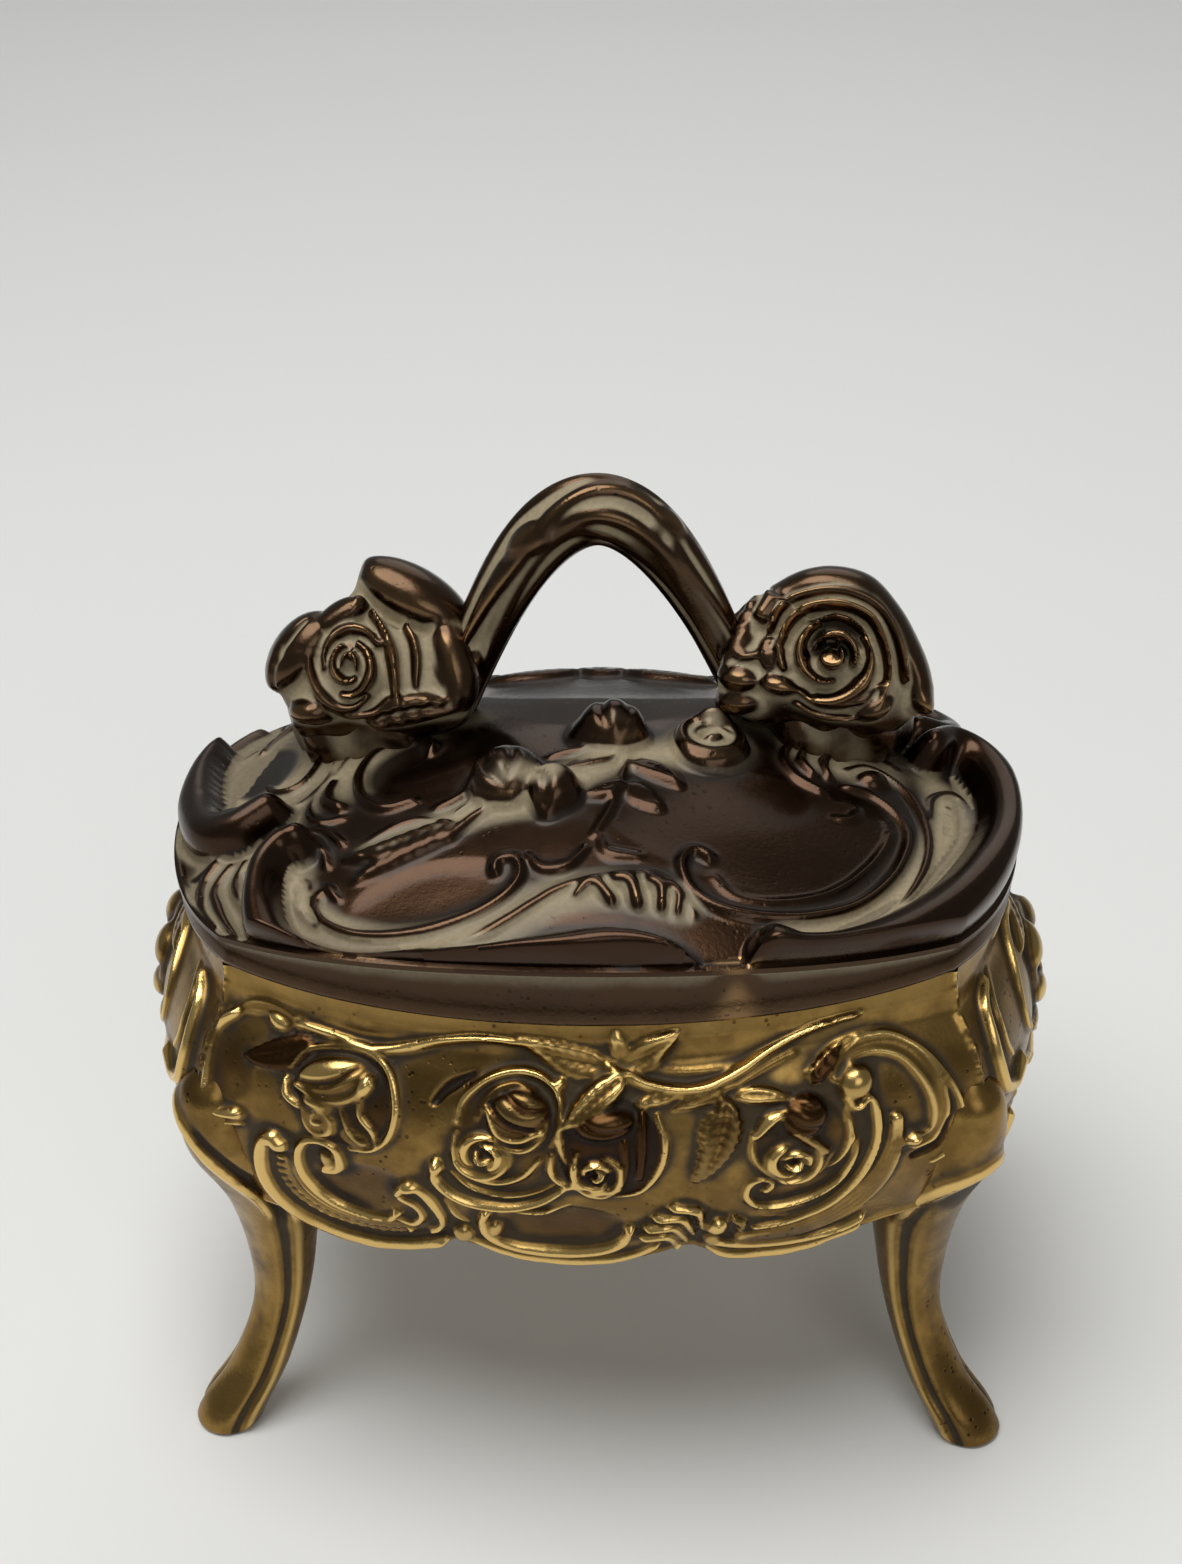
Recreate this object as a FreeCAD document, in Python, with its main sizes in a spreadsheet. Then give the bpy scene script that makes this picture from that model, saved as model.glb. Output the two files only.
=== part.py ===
import FreeCAD, Part
import math
import os

import Sketcher
from FreeCAD import Placement, Rotation, Vector

# A footed trinket casket: four bowed and bellied cast panels soldered at mitred corners, four
# cabriole legs, a sheet bottom, a domed lid with a rolled rim, a branch handle between two roses,
# a back hinge and a padded satin lining.
# The origin is on the table under the centre of the box, +X to the right, +Y to the back, +Z up.

SIZES = (
    # alias, value in mm or degrees, meaning
    ("seam_height", "76", "top edge of the body above the table"),
    ("body_bottom", "37", "bottom edge of the panels above the table"),
    ("belly_height", "57", "height of the widest line of the belly"),
    ("belly_bulge", "7.2", "belly past the top edge"),
    ("belly_radius", "19", "arc of the upper belly"),
    ("tuck_radius", "38", "arc of the lower belly, tucked in to the bottom edge"),
    ("panel_wall", "1.8", "thickness of a cast panel"),
    ("corner_x", "46", "half the length between corners at the top edge"),
    ("corner_y", "27", "half the depth between corners at the top edge"),
    ("front_bow", "11", "bow of the front and back top edges"),
    ("end_bow", "7.8", "bow of the end top edges"),
    ("ledge_drop", "4.6", "inner ledge above the bottom edge"),
    ("ledge_depth", "1.5", "thickness of the inner ledge"),
    ("ledge_width", "4", "reach of the inner ledge"),
    ("scallop_depth", "4.2", "rise of the apron scallops"),
    ("scallop_radius", "9", "arc of the apron scallops"),
    ("scallop_place", "0.34", "scallop centre as a share of the half panel"),
    ("plate_thickness", "1.2", "sheet bottom"),
    ("solder_gap", "0.05", "hairline between soldered pieces"),
    ("cap_height", "58", "top of a leg's knee on the corner"),
    ("cap_radius", "4.6", "leg section at the top of the knee"),
    ("cap_out", "2.8", "leg centre there, outward from the corner's foot"),
    ("knee_height", "49", "middle of the knee"),
    ("knee_radius", "6.6", "leg section at the knee"),
    ("knee_out", "0.1", "leg centre at the knee"),
    ("skirt_radius", "6.4", "leg section at the panels' bottom edge"),
    ("skirt_out", "-4.8", "leg centre there"),
    ("calf_height", "27", "height of the calf section"),
    ("calf_radius", "4.9", "leg section at the calf"),
    ("calf_out", "-5.5", "leg centre at the calf"),
    ("ankle_height", "18", "height of the ankle section"),
    ("ankle_radius", "3.9", "leg section at the ankle"),
    ("ankle_out", "-4.4", "leg centre at the ankle"),
    ("instep_height", "9", "height of the instep section"),
    ("instep_radius", "4.1", "leg section at the instep"),
    ("instep_out", "-0.6", "leg centre at the instep"),
    ("toe_height", "3.5", "height of the toe section"),
    ("toe_radius", "4.8", "leg section at the toe"),
    ("toe_out", "3.6", "leg centre at the toe"),
    ("sole_radius", "4.2", "flat sole"),
    ("sole_out", "5.1", "leg centre at the sole"),
    ("toe_turn", "2.1", "sole turned towards the end of the box"),
    ("seam_gap", "0.25", "lid above the body"),
    ("lid_overhang", "1.7", "lid past the body's top edge"),
    ("lid_corner", "4", "corner radius of the lid"),
    ("lid_wall", "2", "thickness of the cast lid"),
    ("dome_crest", "95", "top of the lid's dome above the table"),
    ("dome_arc_long", "125", "arc of the dome along the box"),
    ("dome_arc_cross", "85", "arc of the dome across the box"),
    ("roll_radius", "3", "section of the rolled rim"),
    ("roll_end_radius", "3.5", "knob at the end of a roll"),
    ("roll_height", "83.6", "rolled rim above the table"),
    ("roll_inset", "0.7", "roll centre inside the lid's edge"),
    ("front_roll_gap", "7", "gap between the rolls at the front, degrees of the bow"),
    ("back_roll_gap", "17", "gap between the rolls at the hinge, degrees of the bow"),
    ("front_roll_reach", "24", "end of a front roll from the middle, degrees of the bow"),
    ("end_roll_reach", "24", "end of an end roll from the middle, degrees of the bow"),
    ("lid_relief", "1.3", "cast scrolls above the dome"),
    ("panel_relief", "1.2", "cast ornament above a panel"),
    ("relief_mitre", "0.8", "cast ornament clear of the corner plane"),
    ("handle_x", "0.7", "middle of the handle"),
    ("handle_y", "10", "handle behind the middle of the lid"),
    ("handle_span", "21", "half the handle's reach"),
    ("handle_foot", "5", "handle's end below the dome's crest, let into the dome"),
    ("handle_rise", "32.2", "handle's centre line above its foot"),
    ("handle_arch", "1.95", "power of the handle's arch, 2 for a parabola"),
    ("handle_top_radius", "4.6", "branch at the top"),
    ("handle_foot_radius", "2.4", "branch at its feet"),
    ("rose_x", "29.5", "rose from the middle of the lid"),
    ("rose_y", "10", "rose behind the middle of the lid"),
    ("rose_z", "5.5", "rose above the dome's crest"),
    ("rose_tilt", "40", "rose turned from upright to the front, degrees"),
    ("core_radius", "9.6", "rose's body"),
    ("core_depth", "4.5", "crown of the rose's body"),
    ("stalk_length", "22", "rose's mound, let into the dome"),
    ("stalk_radius", "7", "rose's mound at its end"),
    ("petal_count", "5", "open petals"),
    ("petal_arc", "9", "arc of a cupped open petal"),
    ("petal_spread", "54", "half the opening of an open petal, degrees"),
    ("petal_sheet", "1.5", "thickness of an open petal"),
    ("petal_ring", "7.6", "open petals from the rose's axis"),
    ("petal_lift", "0.6", "open petals above the rose's centre"),
    ("petal_lean", "24", "open petal turned in to the axis, degrees"),
    ("cup_count", "3", "inner petals"),
    ("cup_arc", "5.4", "arc of a cupped inner petal"),
    ("cup_spread", "62", "half the opening of an inner petal, degrees"),
    ("cup_sheet", "1.3", "thickness of an inner petal"),
    ("cup_ring", "3.6", "inner petals from the rose's axis"),
    ("cup_lift", "3.2", "inner petals above the rose's centre"),
    ("cup_lean", "40", "inner petal turned in to the axis, degrees"),
    ("bud_radius", "2.4", "bud in the middle of the rose"),
    ("bud_lift", "5.2", "bud above the rose's centre"),
    ("hinge_width", "24", "length of the hinge barrel"),
    ("hinge_leaf", "5", "height of a hinge leaf"),
    ("hinge_sheet", "0.7", "thickness of a hinge leaf"),
    ("hinge_land", "0.2", "flat land under a leaf, past the lid's edge"),
    ("knuckle_radius", "1.7", "outside of a hinge knuckle"),
    ("knuckle_count", "5", "knuckles in the barrel"),
    ("knuckle_gap", "0.15", "play between two knuckles"),
    ("pin_radius", "0.8", "hinge pin"),
    ("pin_play", "0.05", "radial play of the pin"),
    ("pin_head", "0.6", "length of a peened pin head"),
    ("pin_head_radius", "1.3", "peened pin head"),
    ("lining_gap", "0.3", "lining clear of its wall"),
    ("lining_depth", "2.2", "thickness of the padded wall lining"),
    ("lining_drop", "1.5", "lining under the top edge"),
    ("lining_mitre", "0.3", "lining clear of the corner plane"),
    ("floor_pad_depth", "4", "thickness of the floor pad"),
    ("floor_pad_corner", "3", "corner radius of the floor pad"),
    ("lid_pad_depth", "2.5", "thickness of the padded lid lining"),
)

doc = FreeCAD.newDocument("trinket_casket")
sheet = doc.addObject("Spreadsheet::Sheet", "sizes")
for row, (alias, value, meaning) in enumerate(SIZES, start=1):
    sheet.set(f"A{row}", meaning)
    sheet.set(f"B{row}", value)
    sheet.setAlias(f"B{row}", alias)
doc.recompute()

# Finished pieces by node name.
pieces = {}


def num(expression):
    """Value of an expression on the sheet."""
    return float(sheet.evalExpression(expression))


def bind(thing, **expressions):
    """Ties properties to expressions on the sheet; a double underscore stands for a dot."""
    for name, expression in expressions.items():
        thing.setExpression(name.replace("__", "."), expression)
    return thing


def finish(thing, label):
    """Makes a finished piece of an object and gives it its node name."""
    thing.Label = label
    pieces[label] = thing
    return thing


# Formulas that several pieces share.

FRONT_RADIUS = "(sizes.corner_x^2 + sizes.front_bow^2) / (2 * sizes.front_bow)"
END_RADIUS = "(sizes.corner_y^2 + sizes.end_bow^2) / (2 * sizes.end_bow)"
FRONT_REACH = "(sizes.corner_y + sizes.front_bow)"
END_REACH = "(sizes.corner_x + sizes.end_bow)"
BELLY_RISE = "(sizes.seam_height - sizes.belly_height)"
COVE_AND_BELLY = f"((sizes.belly_bulge^2 + {BELLY_RISE}^2) / (2 * sizes.belly_bulge))"
COVE_RADIUS = f"({COVE_AND_BELLY} - sizes.belly_radius)"
LEDGE_BOTTOM = "(sizes.body_bottom + sizes.ledge_drop)"
LEDGE_TOP = f"({LEDGE_BOTTOM} + sizes.ledge_depth)"
PLATE_TOP = f"({LEDGE_TOP} + sizes.plate_thickness)"
LINING_BOTTOM = f"({PLATE_TOP} + sizes.lining_gap)"
LINING_TOP = "(sizes.seam_height - sizes.lining_drop)"
LINING_FACE = "(sizes.panel_wall + sizes.lining_gap)"
LINING_INNER = f"({LINING_FACE} + sizes.lining_depth)"
LID_BOTTOM = "(sizes.seam_height + sizes.seam_gap)"
DOME_REACH = f"({END_REACH} + sizes.belly_bulge)"
HINGE_FACE = f"({FRONT_REACH} + sizes.lid_overhang + sizes.hinge_land)"
HINGE_AXIS = f"({HINGE_FACE} + sizes.knuckle_radius)"

# Components of the corner's mitre direction: the sum of the front's and the end's own directions.
MITRE_FRONT = (
    f"(({FRONT_RADIUS} - sizes.front_bow) / ({FRONT_RADIUS}) + sizes.corner_y / ({END_RADIUS}))"
)
MITRE_END = (
    f"(sizes.corner_x / ({FRONT_RADIUS}) + ({END_RADIUS} - sizes.end_bow) / ({END_RADIUS}))"
)


def tuck_offset(height, inset):
    """Offset from the top edge, at a height under the belly, of a surface inset from the outer face."""
    return (
        f"(sizes.belly_bulge - sizes.tuck_radius"
        f" + sqrt((sizes.tuck_radius - {inset})^2 - (sizes.belly_height - {height})^2))"
    )


def cove_offset(height, inset):
    """The same, for a height in the cove just under the top edge."""
    return f"({COVE_RADIUS} - sqrt(({COVE_RADIUS} + {inset})^2 - (sizes.seam_height - {height})^2))"


CORNER_OUT = tuck_offset("sizes.body_bottom", "0")


# Sketches.


def origin_plane(body, role):
    """One of a body's own origin planes."""
    return next(f for f in body.Origin.OriginFeatures if f.Role == role)


def new_sketch(body, name, role):
    """Empty sketch on an origin plane of its body."""
    sketch = body.newObject("Sketcher::SketchObject", name)
    sketch.AttachmentSupport = [(origin_plane(body, role), "")]
    sketch.MapMode = "FlatFace"
    return sketch


def tie(sketch, kind, *where, expression):
    """Adds a dimension whose value comes from the sheet."""
    index = sketch.addConstraint(Sketcher.Constraint(kind, *where, num(expression)))
    sketch.setExpression(f"Constraints[{index}]", expression)


def pin_point(sketch, geometry, end, place):
    """Fixes a point of the sketch at two expressions."""
    tie(sketch, "DistanceX", -1, 1, geometry, end, expression=place[0])
    tie(sketch, "DistanceY", -1, 1, geometry, end, expression=place[1])


def arc_between(start, end, centre):
    """Arc from start to end about centre, and whether it runs that way round in the sketch."""
    first = math.atan2(start.y - centre.y, start.x - centre.x)
    last = math.atan2(end.y - centre.y, end.x - centre.x)
    turn = (start - centre).cross(end - centre).z
    circle = Part.Circle(centre, Vector(0, 0, 1), (start - centre).Length)
    if turn > 0:
        return Part.ArcOfCircle(circle, first, last if last > first else last + 2 * math.pi), True
    return Part.ArcOfCircle(circle, last, first if first > last else first + 2 * math.pi), False


def closed_outline(sketch, corners, arcs):
    """Closed outline through corners; arcs maps a segment's index to (centre, radius) expressions."""
    points = [Vector(num(x), num(y), 0) for x, y in corners]
    ends = []
    for index, start in enumerate(points):
        end = points[(index + 1) % len(points)]
        if index in arcs:
            (centre_x, centre_y), _ = arcs[index]
            curve, forward = arc_between(start, end, Vector(num(centre_x), num(centre_y), 0))
        else:
            curve, forward = Part.LineSegment(start, end), True
        geometry = sketch.addGeometry(curve, False)
        ends.append((geometry, 1, 2) if forward else (geometry, 2, 1))
    for index, (geometry, first, _) in enumerate(ends):
        before, _, last = ends[index - 1]
        sketch.addConstraint(Sketcher.Constraint("Coincident", before, last, geometry, first))
        pin_point(sketch, geometry, first, corners[index])
    for index, (_, radius) in arcs.items():
        tie(sketch, "Radius", ends[index][0], expression=radius)


def bowed_outline(sketch, grow, corner_radius):
    """Plan of the box, grown past the top edge, with rounded corners: eight tangent arcs."""
    front_radius = num(f"{FRONT_RADIUS} + {grow}")
    end_radius = num(f"{END_RADIUS} + {grow}")
    front_axis = num(f"{FRONT_RADIUS} - {FRONT_REACH}")
    end_axis = num(f"{END_RADIUS} - {END_REACH}")
    corner = num(corner_radius)
    between = Vector(-end_axis, -front_axis, 0)
    reach = front_radius - corner
    along = (reach**2 - (end_radius - corner) ** 2 + between.Length**2) / (2 * between.Length)
    across = math.sqrt(reach**2 - along**2)
    unit = between.normalize()
    corner_centre = Vector(0, front_axis, 0) + unit * along + Vector(-unit.y, unit.x, 0) * across

    def quarter(sign_x, sign_y):
        return Vector(sign_x * corner_centre.x, -sign_y * corner_centre.y, 0)

    sides = [
        (Vector(0, front_axis, 0), front_radius, quarter(-1, -1), quarter(1, -1)),
        (Vector(-end_axis, 0, 0), end_radius, quarter(1, -1), quarter(1, 1)),
        (Vector(0, -front_axis, 0), front_radius, quarter(1, 1), quarter(-1, 1)),
        (Vector(end_axis, 0, 0), end_radius, quarter(-1, 1), quarter(-1, -1)),
    ]

    def touch(centre, radius, near):
        return centre + (near - centre).normalize() * radius

    arcs = []
    for index, (centre, radius, near_start, near_end) in enumerate(sides):
        start, end = touch(centre, radius, near_start), touch(centre, radius, near_end)
        arcs.append(sketch.addGeometry(arc_between(start, end, centre)[0], False))
        after_centre, after_radius, after_start, _ = sides[(index + 1) % 4]
        after = touch(after_centre, after_radius, after_start)
        arcs.append(sketch.addGeometry(arc_between(end, after, near_end)[0], False))
    for index, geometry in enumerate(arcs):
        after = arcs[(index + 1) % 8]
        sketch.addConstraint(Sketcher.Constraint("Tangent", geometry, 2, after, 1))
    for index in (1, 3, 5, 7):
        tie(sketch, "Radius", arcs[index], expression=corner_radius)
    for index, sign in ((0, "1"), (4, "-1")):
        tie(sketch, "Radius", arcs[index], expression=f"{FRONT_RADIUS} + {grow}")
        pin_point(sketch, arcs[index], 3, ("0", f"{sign} * ({FRONT_RADIUS} - {FRONT_REACH})"))
    for index, sign in ((2, "-1"), (6, "1")):
        tie(sketch, "Radius", arcs[index], expression=f"{END_RADIUS} + {grow}")
        pin_point(sketch, arcs[index], 3, (f"{sign} * ({END_RADIUS} - {END_REACH})", "0"))


def bowed_slab(name, grow, corner_radius, bottom, height):
    """Flat slab in the plan of the box."""
    body = doc.addObject("PartDesign::Body", name)
    sketch = new_sketch(body, f"{name}_plan", "XY_Plane")
    bowed_outline(sketch, grow, corner_radius)
    bind(sketch, AttachmentOffset__Base__z=bottom)
    pad = body.newObject("PartDesign::Pad", f"{name}_pad")
    pad.Profile = sketch
    bind(pad, Length=height)
    return body


# Panels and their linings. A panel's own frame has the bow's axis on Z and looks out along +X.

SIDES = {
    # name: turn about Z, bow radius, reach of the top edge, half length, bow, mitre out, mitre along
    "front": (-90, FRONT_RADIUS, FRONT_REACH, "sizes.corner_x", "sizes.front_bow", MITRE_FRONT, MITRE_END),
    "right": (0, END_RADIUS, END_REACH, "sizes.corner_y", "sizes.end_bow", MITRE_END, MITRE_FRONT),
    "back": (90, FRONT_RADIUS, FRONT_REACH, "sizes.corner_x", "sizes.front_bow", MITRE_FRONT, MITRE_END),
    "left": (180, END_RADIUS, END_REACH, "sizes.corner_y", "sizes.end_bow", MITRE_END, MITRE_FRONT),
}


def place_side(body, side):
    """Puts a body's bow axis where the side's own axis is."""
    turn, radius, reach = SIDES[side][:3]
    body.Placement = Placement(Vector(0, 0, 0), Rotation(Vector(0, 0, 1), turn))
    direction = Rotation(Vector(0, 0, 1), turn).multVec(Vector(1, 0, 0))
    for axis, share in (("x", round(direction.x)), ("y", round(direction.y))):
        if share:
            body.setExpression(f"Placement.Base.{axis}", f"{share} * ({reach} - {radius})")


def wall_band(sketch, radius, outer, inner, bottom, top, ledge):
    """Section of a bellied wall between two insets, with the inner ledge if it has one."""

    def at(offset):
        return f"{radius} + {offset}"

    def tangent_point(inset):
        share = f"(sizes.belly_radius - {inset})"
        return (
            f"{radius} + sizes.belly_bulge - sizes.belly_radius"
            f" + {share} * ({COVE_AND_BELLY} - sizes.belly_bulge) / {COVE_AND_BELLY}",
            f"sizes.belly_height + {share} * {BELLY_RISE} / {COVE_AND_BELLY}",
        )

    def belly_point(inset):
        return (f"{radius} + sizes.belly_bulge - {inset}", "sizes.belly_height")

    cove = (f"{radius} + {COVE_RADIUS}", "sizes.seam_height")
    belly = (f"{radius} + sizes.belly_bulge - sizes.belly_radius", "sizes.belly_height")
    tuck = (f"{radius} + sizes.belly_bulge - sizes.tuck_radius", "sizes.belly_height")
    corners = [
        (at(cove_offset(top, outer)), top),
        tangent_point(outer),
        belly_point(outer),
        (at(tuck_offset(bottom, outer)), bottom),
        (at(tuck_offset(bottom, inner)), bottom),
    ]
    arcs = {
        0: (cove, f"{COVE_RADIUS} + {outer}"),
        1: (belly, f"sizes.belly_radius - {outer}"),
        2: (tuck, f"sizes.tuck_radius - {outer}"),
    }
    if ledge:
        ledge_edge = f"{at(tuck_offset(LEDGE_TOP, inner))} - sizes.ledge_width"
        arcs[len(corners) - 1] = (tuck, f"sizes.tuck_radius - {inner}")
        corners += [
            (at(tuck_offset(LEDGE_BOTTOM, inner)), LEDGE_BOTTOM),
            (ledge_edge, LEDGE_BOTTOM),
            (ledge_edge, LEDGE_TOP),
            (at(tuck_offset(LEDGE_TOP, inner)), LEDGE_TOP),
        ]
    first = len(corners) - 1
    corners += [belly_point(inner), tangent_point(inner), (at(cove_offset(top, inner)), top)]
    arcs[first] = (tuck, f"sizes.tuck_radius - {inner}")
    arcs[first + 1] = (belly, f"sizes.belly_radius - {inner}")
    arcs[first + 2] = (cove, f"{COVE_RADIUS} + {inner}")
    closed_outline(sketch, corners, arcs)


def mitre_cut(sketch, side, clear):
    """Two corner wedges to cut away, each starting at the plane through a corner, less a clearance."""
    _, radius, _, half, bow, out, along = SIDES[side]
    reach = "(sizes.corner_x + sizes.corner_y)"
    length = f"sqrt({out}^2 + {along}^2)"
    corner_out = f"({radius} - {bow})"
    corner_along = f"({half} - {clear} * {length} / {out})"
    for sign in ("1", "-1"):
        inner = (f"{corner_out} - {reach} * {out}", f"{sign} * ({corner_along} - {reach} * {along})")
        outer = (f"{corner_out} + {reach} * {out}", f"{sign} * ({corner_along} + {reach} * {along})")
        far = f"{sign} * ({corner_along} + 2 * {reach} * {along})"
        closed_outline(sketch, [inner, outer, (outer[0], far), (inner[0], far)], {})


def revolved_wall(name, side, outer, inner, bottom, top, ledge, clear):
    """Wall of one side: its section turned about the bow's axis and mitred at both corners."""
    _, radius, _, half, _, _, _ = SIDES[side]
    body = doc.addObject("PartDesign::Body", name)
    place_side(body, side)
    section = new_sketch(body, f"{name}_section", "XZ_Plane")
    wall_band(section, radius, outer, inner, bottom, top, ledge)
    turn = body.newObject("PartDesign::Revolution", f"{name}_turn")
    turn.Profile = section
    turn.ReferenceAxis = (section, ["V_Axis"])
    turn.Midplane = True
    bind(turn, Angle=f"3 * asin({half} / ({radius}))")
    mitre = new_sketch(body, f"{name}_mitre", "XY_Plane")
    mitre_cut(mitre, side, clear)
    cut = body.newObject("PartDesign::Pocket", f"{name}_mitre_cut")
    cut.Profile = mitre
    cut.SideType = "Symmetric"
    cut.Type = "Length"
    bind(cut, Length="4 * sizes.seam_height")
    return body


def scalloped(body, side):
    """Cuts the apron scallops through a panel, one after the other."""
    half = SIDES[side][3]
    centre_height = "(sizes.body_bottom + sizes.scallop_depth - sizes.scallop_radius)"
    for number, sign in enumerate(("1", "-1")):
        sketch = new_sketch(body, f"{side}_scallop_{number}", "YZ_Plane")
        place = (f"{sign} * {half} * sizes.scallop_place", centre_height)
        circle = Part.Circle(
            Vector(num(place[0]), num(place[1]), 0), Vector(0, 0, 1), num("sizes.scallop_radius")
        )
        geometry = sketch.addGeometry(circle, False)
        pin_point(sketch, geometry, 3, place)
        tie(sketch, "Radius", geometry, expression="sizes.scallop_radius")
        cut = body.newObject("PartDesign::Pocket", f"{side}_scallop_{number}_cut")
        cut.Profile = sketch
        cut.SideType = "Symmetric"
        cut.Type = "Length"
        bind(cut, Length=f"4 * ({FRONT_RADIUS} + {END_RADIUS})")


# Cast ornament, drawn square to a face: round bosses, C scrolls and pointed leaves.


def boss(sketch, place, radius):
    """Round boss."""
    circle = Part.Circle(Vector(num(place[0]), num(place[1]), 0), Vector(0, 0, 1), num(radius))
    geometry = sketch.addGeometry(circle, False)
    pin_point(sketch, geometry, 3, place)
    tie(sketch, "Radius", geometry, expression=radius)


def scroll(sketch, centre, radius, half, start, end):
    """C scroll of an even width, between two directions in degrees."""

    def at(far, angle):
        return (f"{centre[0]} + {far} * cos({angle})", f"{centre[1]} + {far} * sin({angle})")

    outer = f"({radius} + {half})"
    inner = f"({radius} - {half})"
    corners = [at(outer, start), at(outer, end), at(inner, end), at(inner, start)]
    closed_outline(sketch, corners, {0: (centre, outer), 2: (centre, inner)})


def leaf(sketch, foot, tip, half):
    """Leaf between two points: two equal arcs."""
    run = (f"({tip[0]} - ({foot[0]}))", f"({tip[1]} - ({foot[1]}))")
    length = f"sqrt({run[0]}^2 + {run[1]}^2)"
    radius = f"(({length}^2 / 4 + ({half})^2) / (2 * {half}))"
    off = f"(({radius} - {half}) / {length})"
    middle = (f"({foot[0]} + {tip[0]}) / 2", f"({foot[1]} + {tip[1]}) / 2")
    left = (f"{middle[0]} - {off} * {run[1]}", f"{middle[1]} + {off} * {run[0]}")
    right = (f"{middle[0]} + {off} * {run[1]}", f"{middle[1]} - {off} * {run[0]}")
    closed_outline(sketch, [foot, tip], {0: (left, radius), 1: (right, radius)})


def long(share):
    """Share of the half length of the box."""
    return f"({share} * sizes.corner_x)"


def deep(share):
    """Share of the half depth of the box."""
    return f"({share} * sizes.corner_y)"


def tall(share):
    """Height as a share of the panels."""
    return f"(sizes.body_bottom + {share} * (sizes.seam_height - sizes.body_bottom))"


PANEL_BOSSES = (
    # along, height, radius: a large bud, three roses and the shell of the apron
    (-0.657, 0.705, 0.109),
    (-0.189, 0.628, 0.124),
    (0.074, 0.590, 0.115),
    (0.543, 0.590, 0.122),
    (0.261, 0.269, 0.070),
)
PANEL_SCROLLS = (
    # along, height, radius, half width, start and end in degrees
    (0.761, 0.654, 0.152, 0.028, -45, 120),
    (-0.902, 0.705, 0.109, 0.026, 100, 245),
    (-0.598, 0.333, 0.174, 0.030, 165, 320),
    (-0.076, 0.333, 0.187, 0.026, 200, 340),
    (-0.207, 0.590, 0.191, 0.024, 200, 320),
    (0.522, 0.436, 0.207, 0.048, -100, 10),
)
PANEL_LEAVES = (
    # along and height of the foot, along and height of the tip, half width
    (0.370, 0.756, 0.283, 0.474, 0.048),
)
NECK_LEAVES = (
    # the two leaves under the front's top edge
    (0.109, 0.841, -0.141, 0.908, 0.033),
    (0.117, 0.846, 0.250, 0.918, 0.033),
)


def drawn_square(name, side, draw):
    """Prism of one drawn shape, square to a side."""
    body = doc.addObject("PartDesign::Body", name)
    place_side(body, side)
    sketch = new_sketch(body, f"{name}_outline", "YZ_Plane")
    draw(sketch)
    pad = body.newObject("PartDesign::Pad", f"{name}_pad")
    pad.Profile = sketch
    bind(pad, Length=f"2 * {SIDES[side][1]}")
    return body


def ornament(side, hand, leaves):
    """Ornament of one long panel; hand is -1 where it is drawn the other way round."""
    prisms = []
    for number, (along, height, radius) in enumerate(PANEL_BOSSES):
        place = (long(hand * along), tall(height))
        size = long(radius)
        prisms.append(
            drawn_square(f"{side}_boss_{number}", side, lambda sketch: boss(sketch, place, size))
        )
    for number, (along, height, radius, half, start, end) in enumerate(PANEL_SCROLLS):
        centre = (long(hand * along), tall(height))
        angles = (start, end) if hand > 0 else (180 - end, 180 - start)
        prisms.append(
            drawn_square(
                f"{side}_scroll_{number}",
                side,
                lambda sketch: scroll(sketch, centre, long(radius), long(half), *angles),
            )
        )
    for number, (foot, low, tip, high, half) in enumerate(leaves):
        ends = ((long(hand * foot), tall(low)), (long(hand * tip), tall(high)))
        prisms.append(
            drawn_square(f"{side}_leaf_{number}", side, lambda sketch: leaf(sketch, *ends, long(half)))
        )
    skin = revolved_wall(
        f"{side}_relief_skin",
        side,
        "(-sizes.panel_relief)",
        "sizes.panel_wall / 2",
        "sizes.body_bottom",
        "sizes.seam_height",
        False,
        "sizes.relief_mitre",
    )
    return [common(f"{prism.Name}_relief", prism, skin) for prism in prisms]


for side in SIDES:
    panel = revolved_wall(
        f"{side}_wall", side, "0", "sizes.panel_wall", "sizes.body_bottom", "sizes.seam_height", True, "0"
    )
    scalloped(panel, side)
    if side in ("left", "right"):
        finish(panel, f"{side}_end_panel")
    lining = revolved_wall(
        f"{side}_pad", side, LINING_FACE, LINING_INNER, LINING_BOTTOM, LINING_TOP, False, "sizes.lining_mitre"
    )
    finish(lining, f"{side}_lining")


def box(name, low, high):
    """Block between two corners given as expressions."""
    block = doc.addObject("Part::Box", name)
    bind(
        block,
        Length=f"({high[0]}) - ({low[0]})",
        Width=f"({high[1]}) - ({low[1]})",
        Height=f"({high[2]}) - ({low[2]})",
        Placement__Base__x=low[0],
        Placement__Base__y=low[1],
        Placement__Base__z=low[2],
    )
    return block


def cylinder_along_x(name, radius, start, length):
    """Cylinder on the hinge axis."""
    rod = doc.addObject("Part::Cylinder", name)
    rod.Placement = Placement(Vector(0, 0, 0), Rotation(Vector(0, 1, 0), 90))
    bind(
        rod,
        Radius=radius,
        Height=length,
        Placement__Base__x=start,
        Placement__Base__y=HINGE_AXIS,
        Placement__Base__z="sizes.seam_height",
    )
    return rod


def fuse(name, shapes):
    """Union of several objects."""
    union = doc.addObject("Part::MultiFuse", name)
    union.Shapes = shapes
    return union


def cut(name, base, tool):
    """One object less another."""
    difference = doc.addObject("Part::Cut", name)
    difference.Base = base
    difference.Tool = tool
    return difference


def common(name, first, second):
    """What two objects share."""
    shared = doc.addObject("Part::Common", name)
    shared.Base = first
    shared.Tool = second
    return shared


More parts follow.
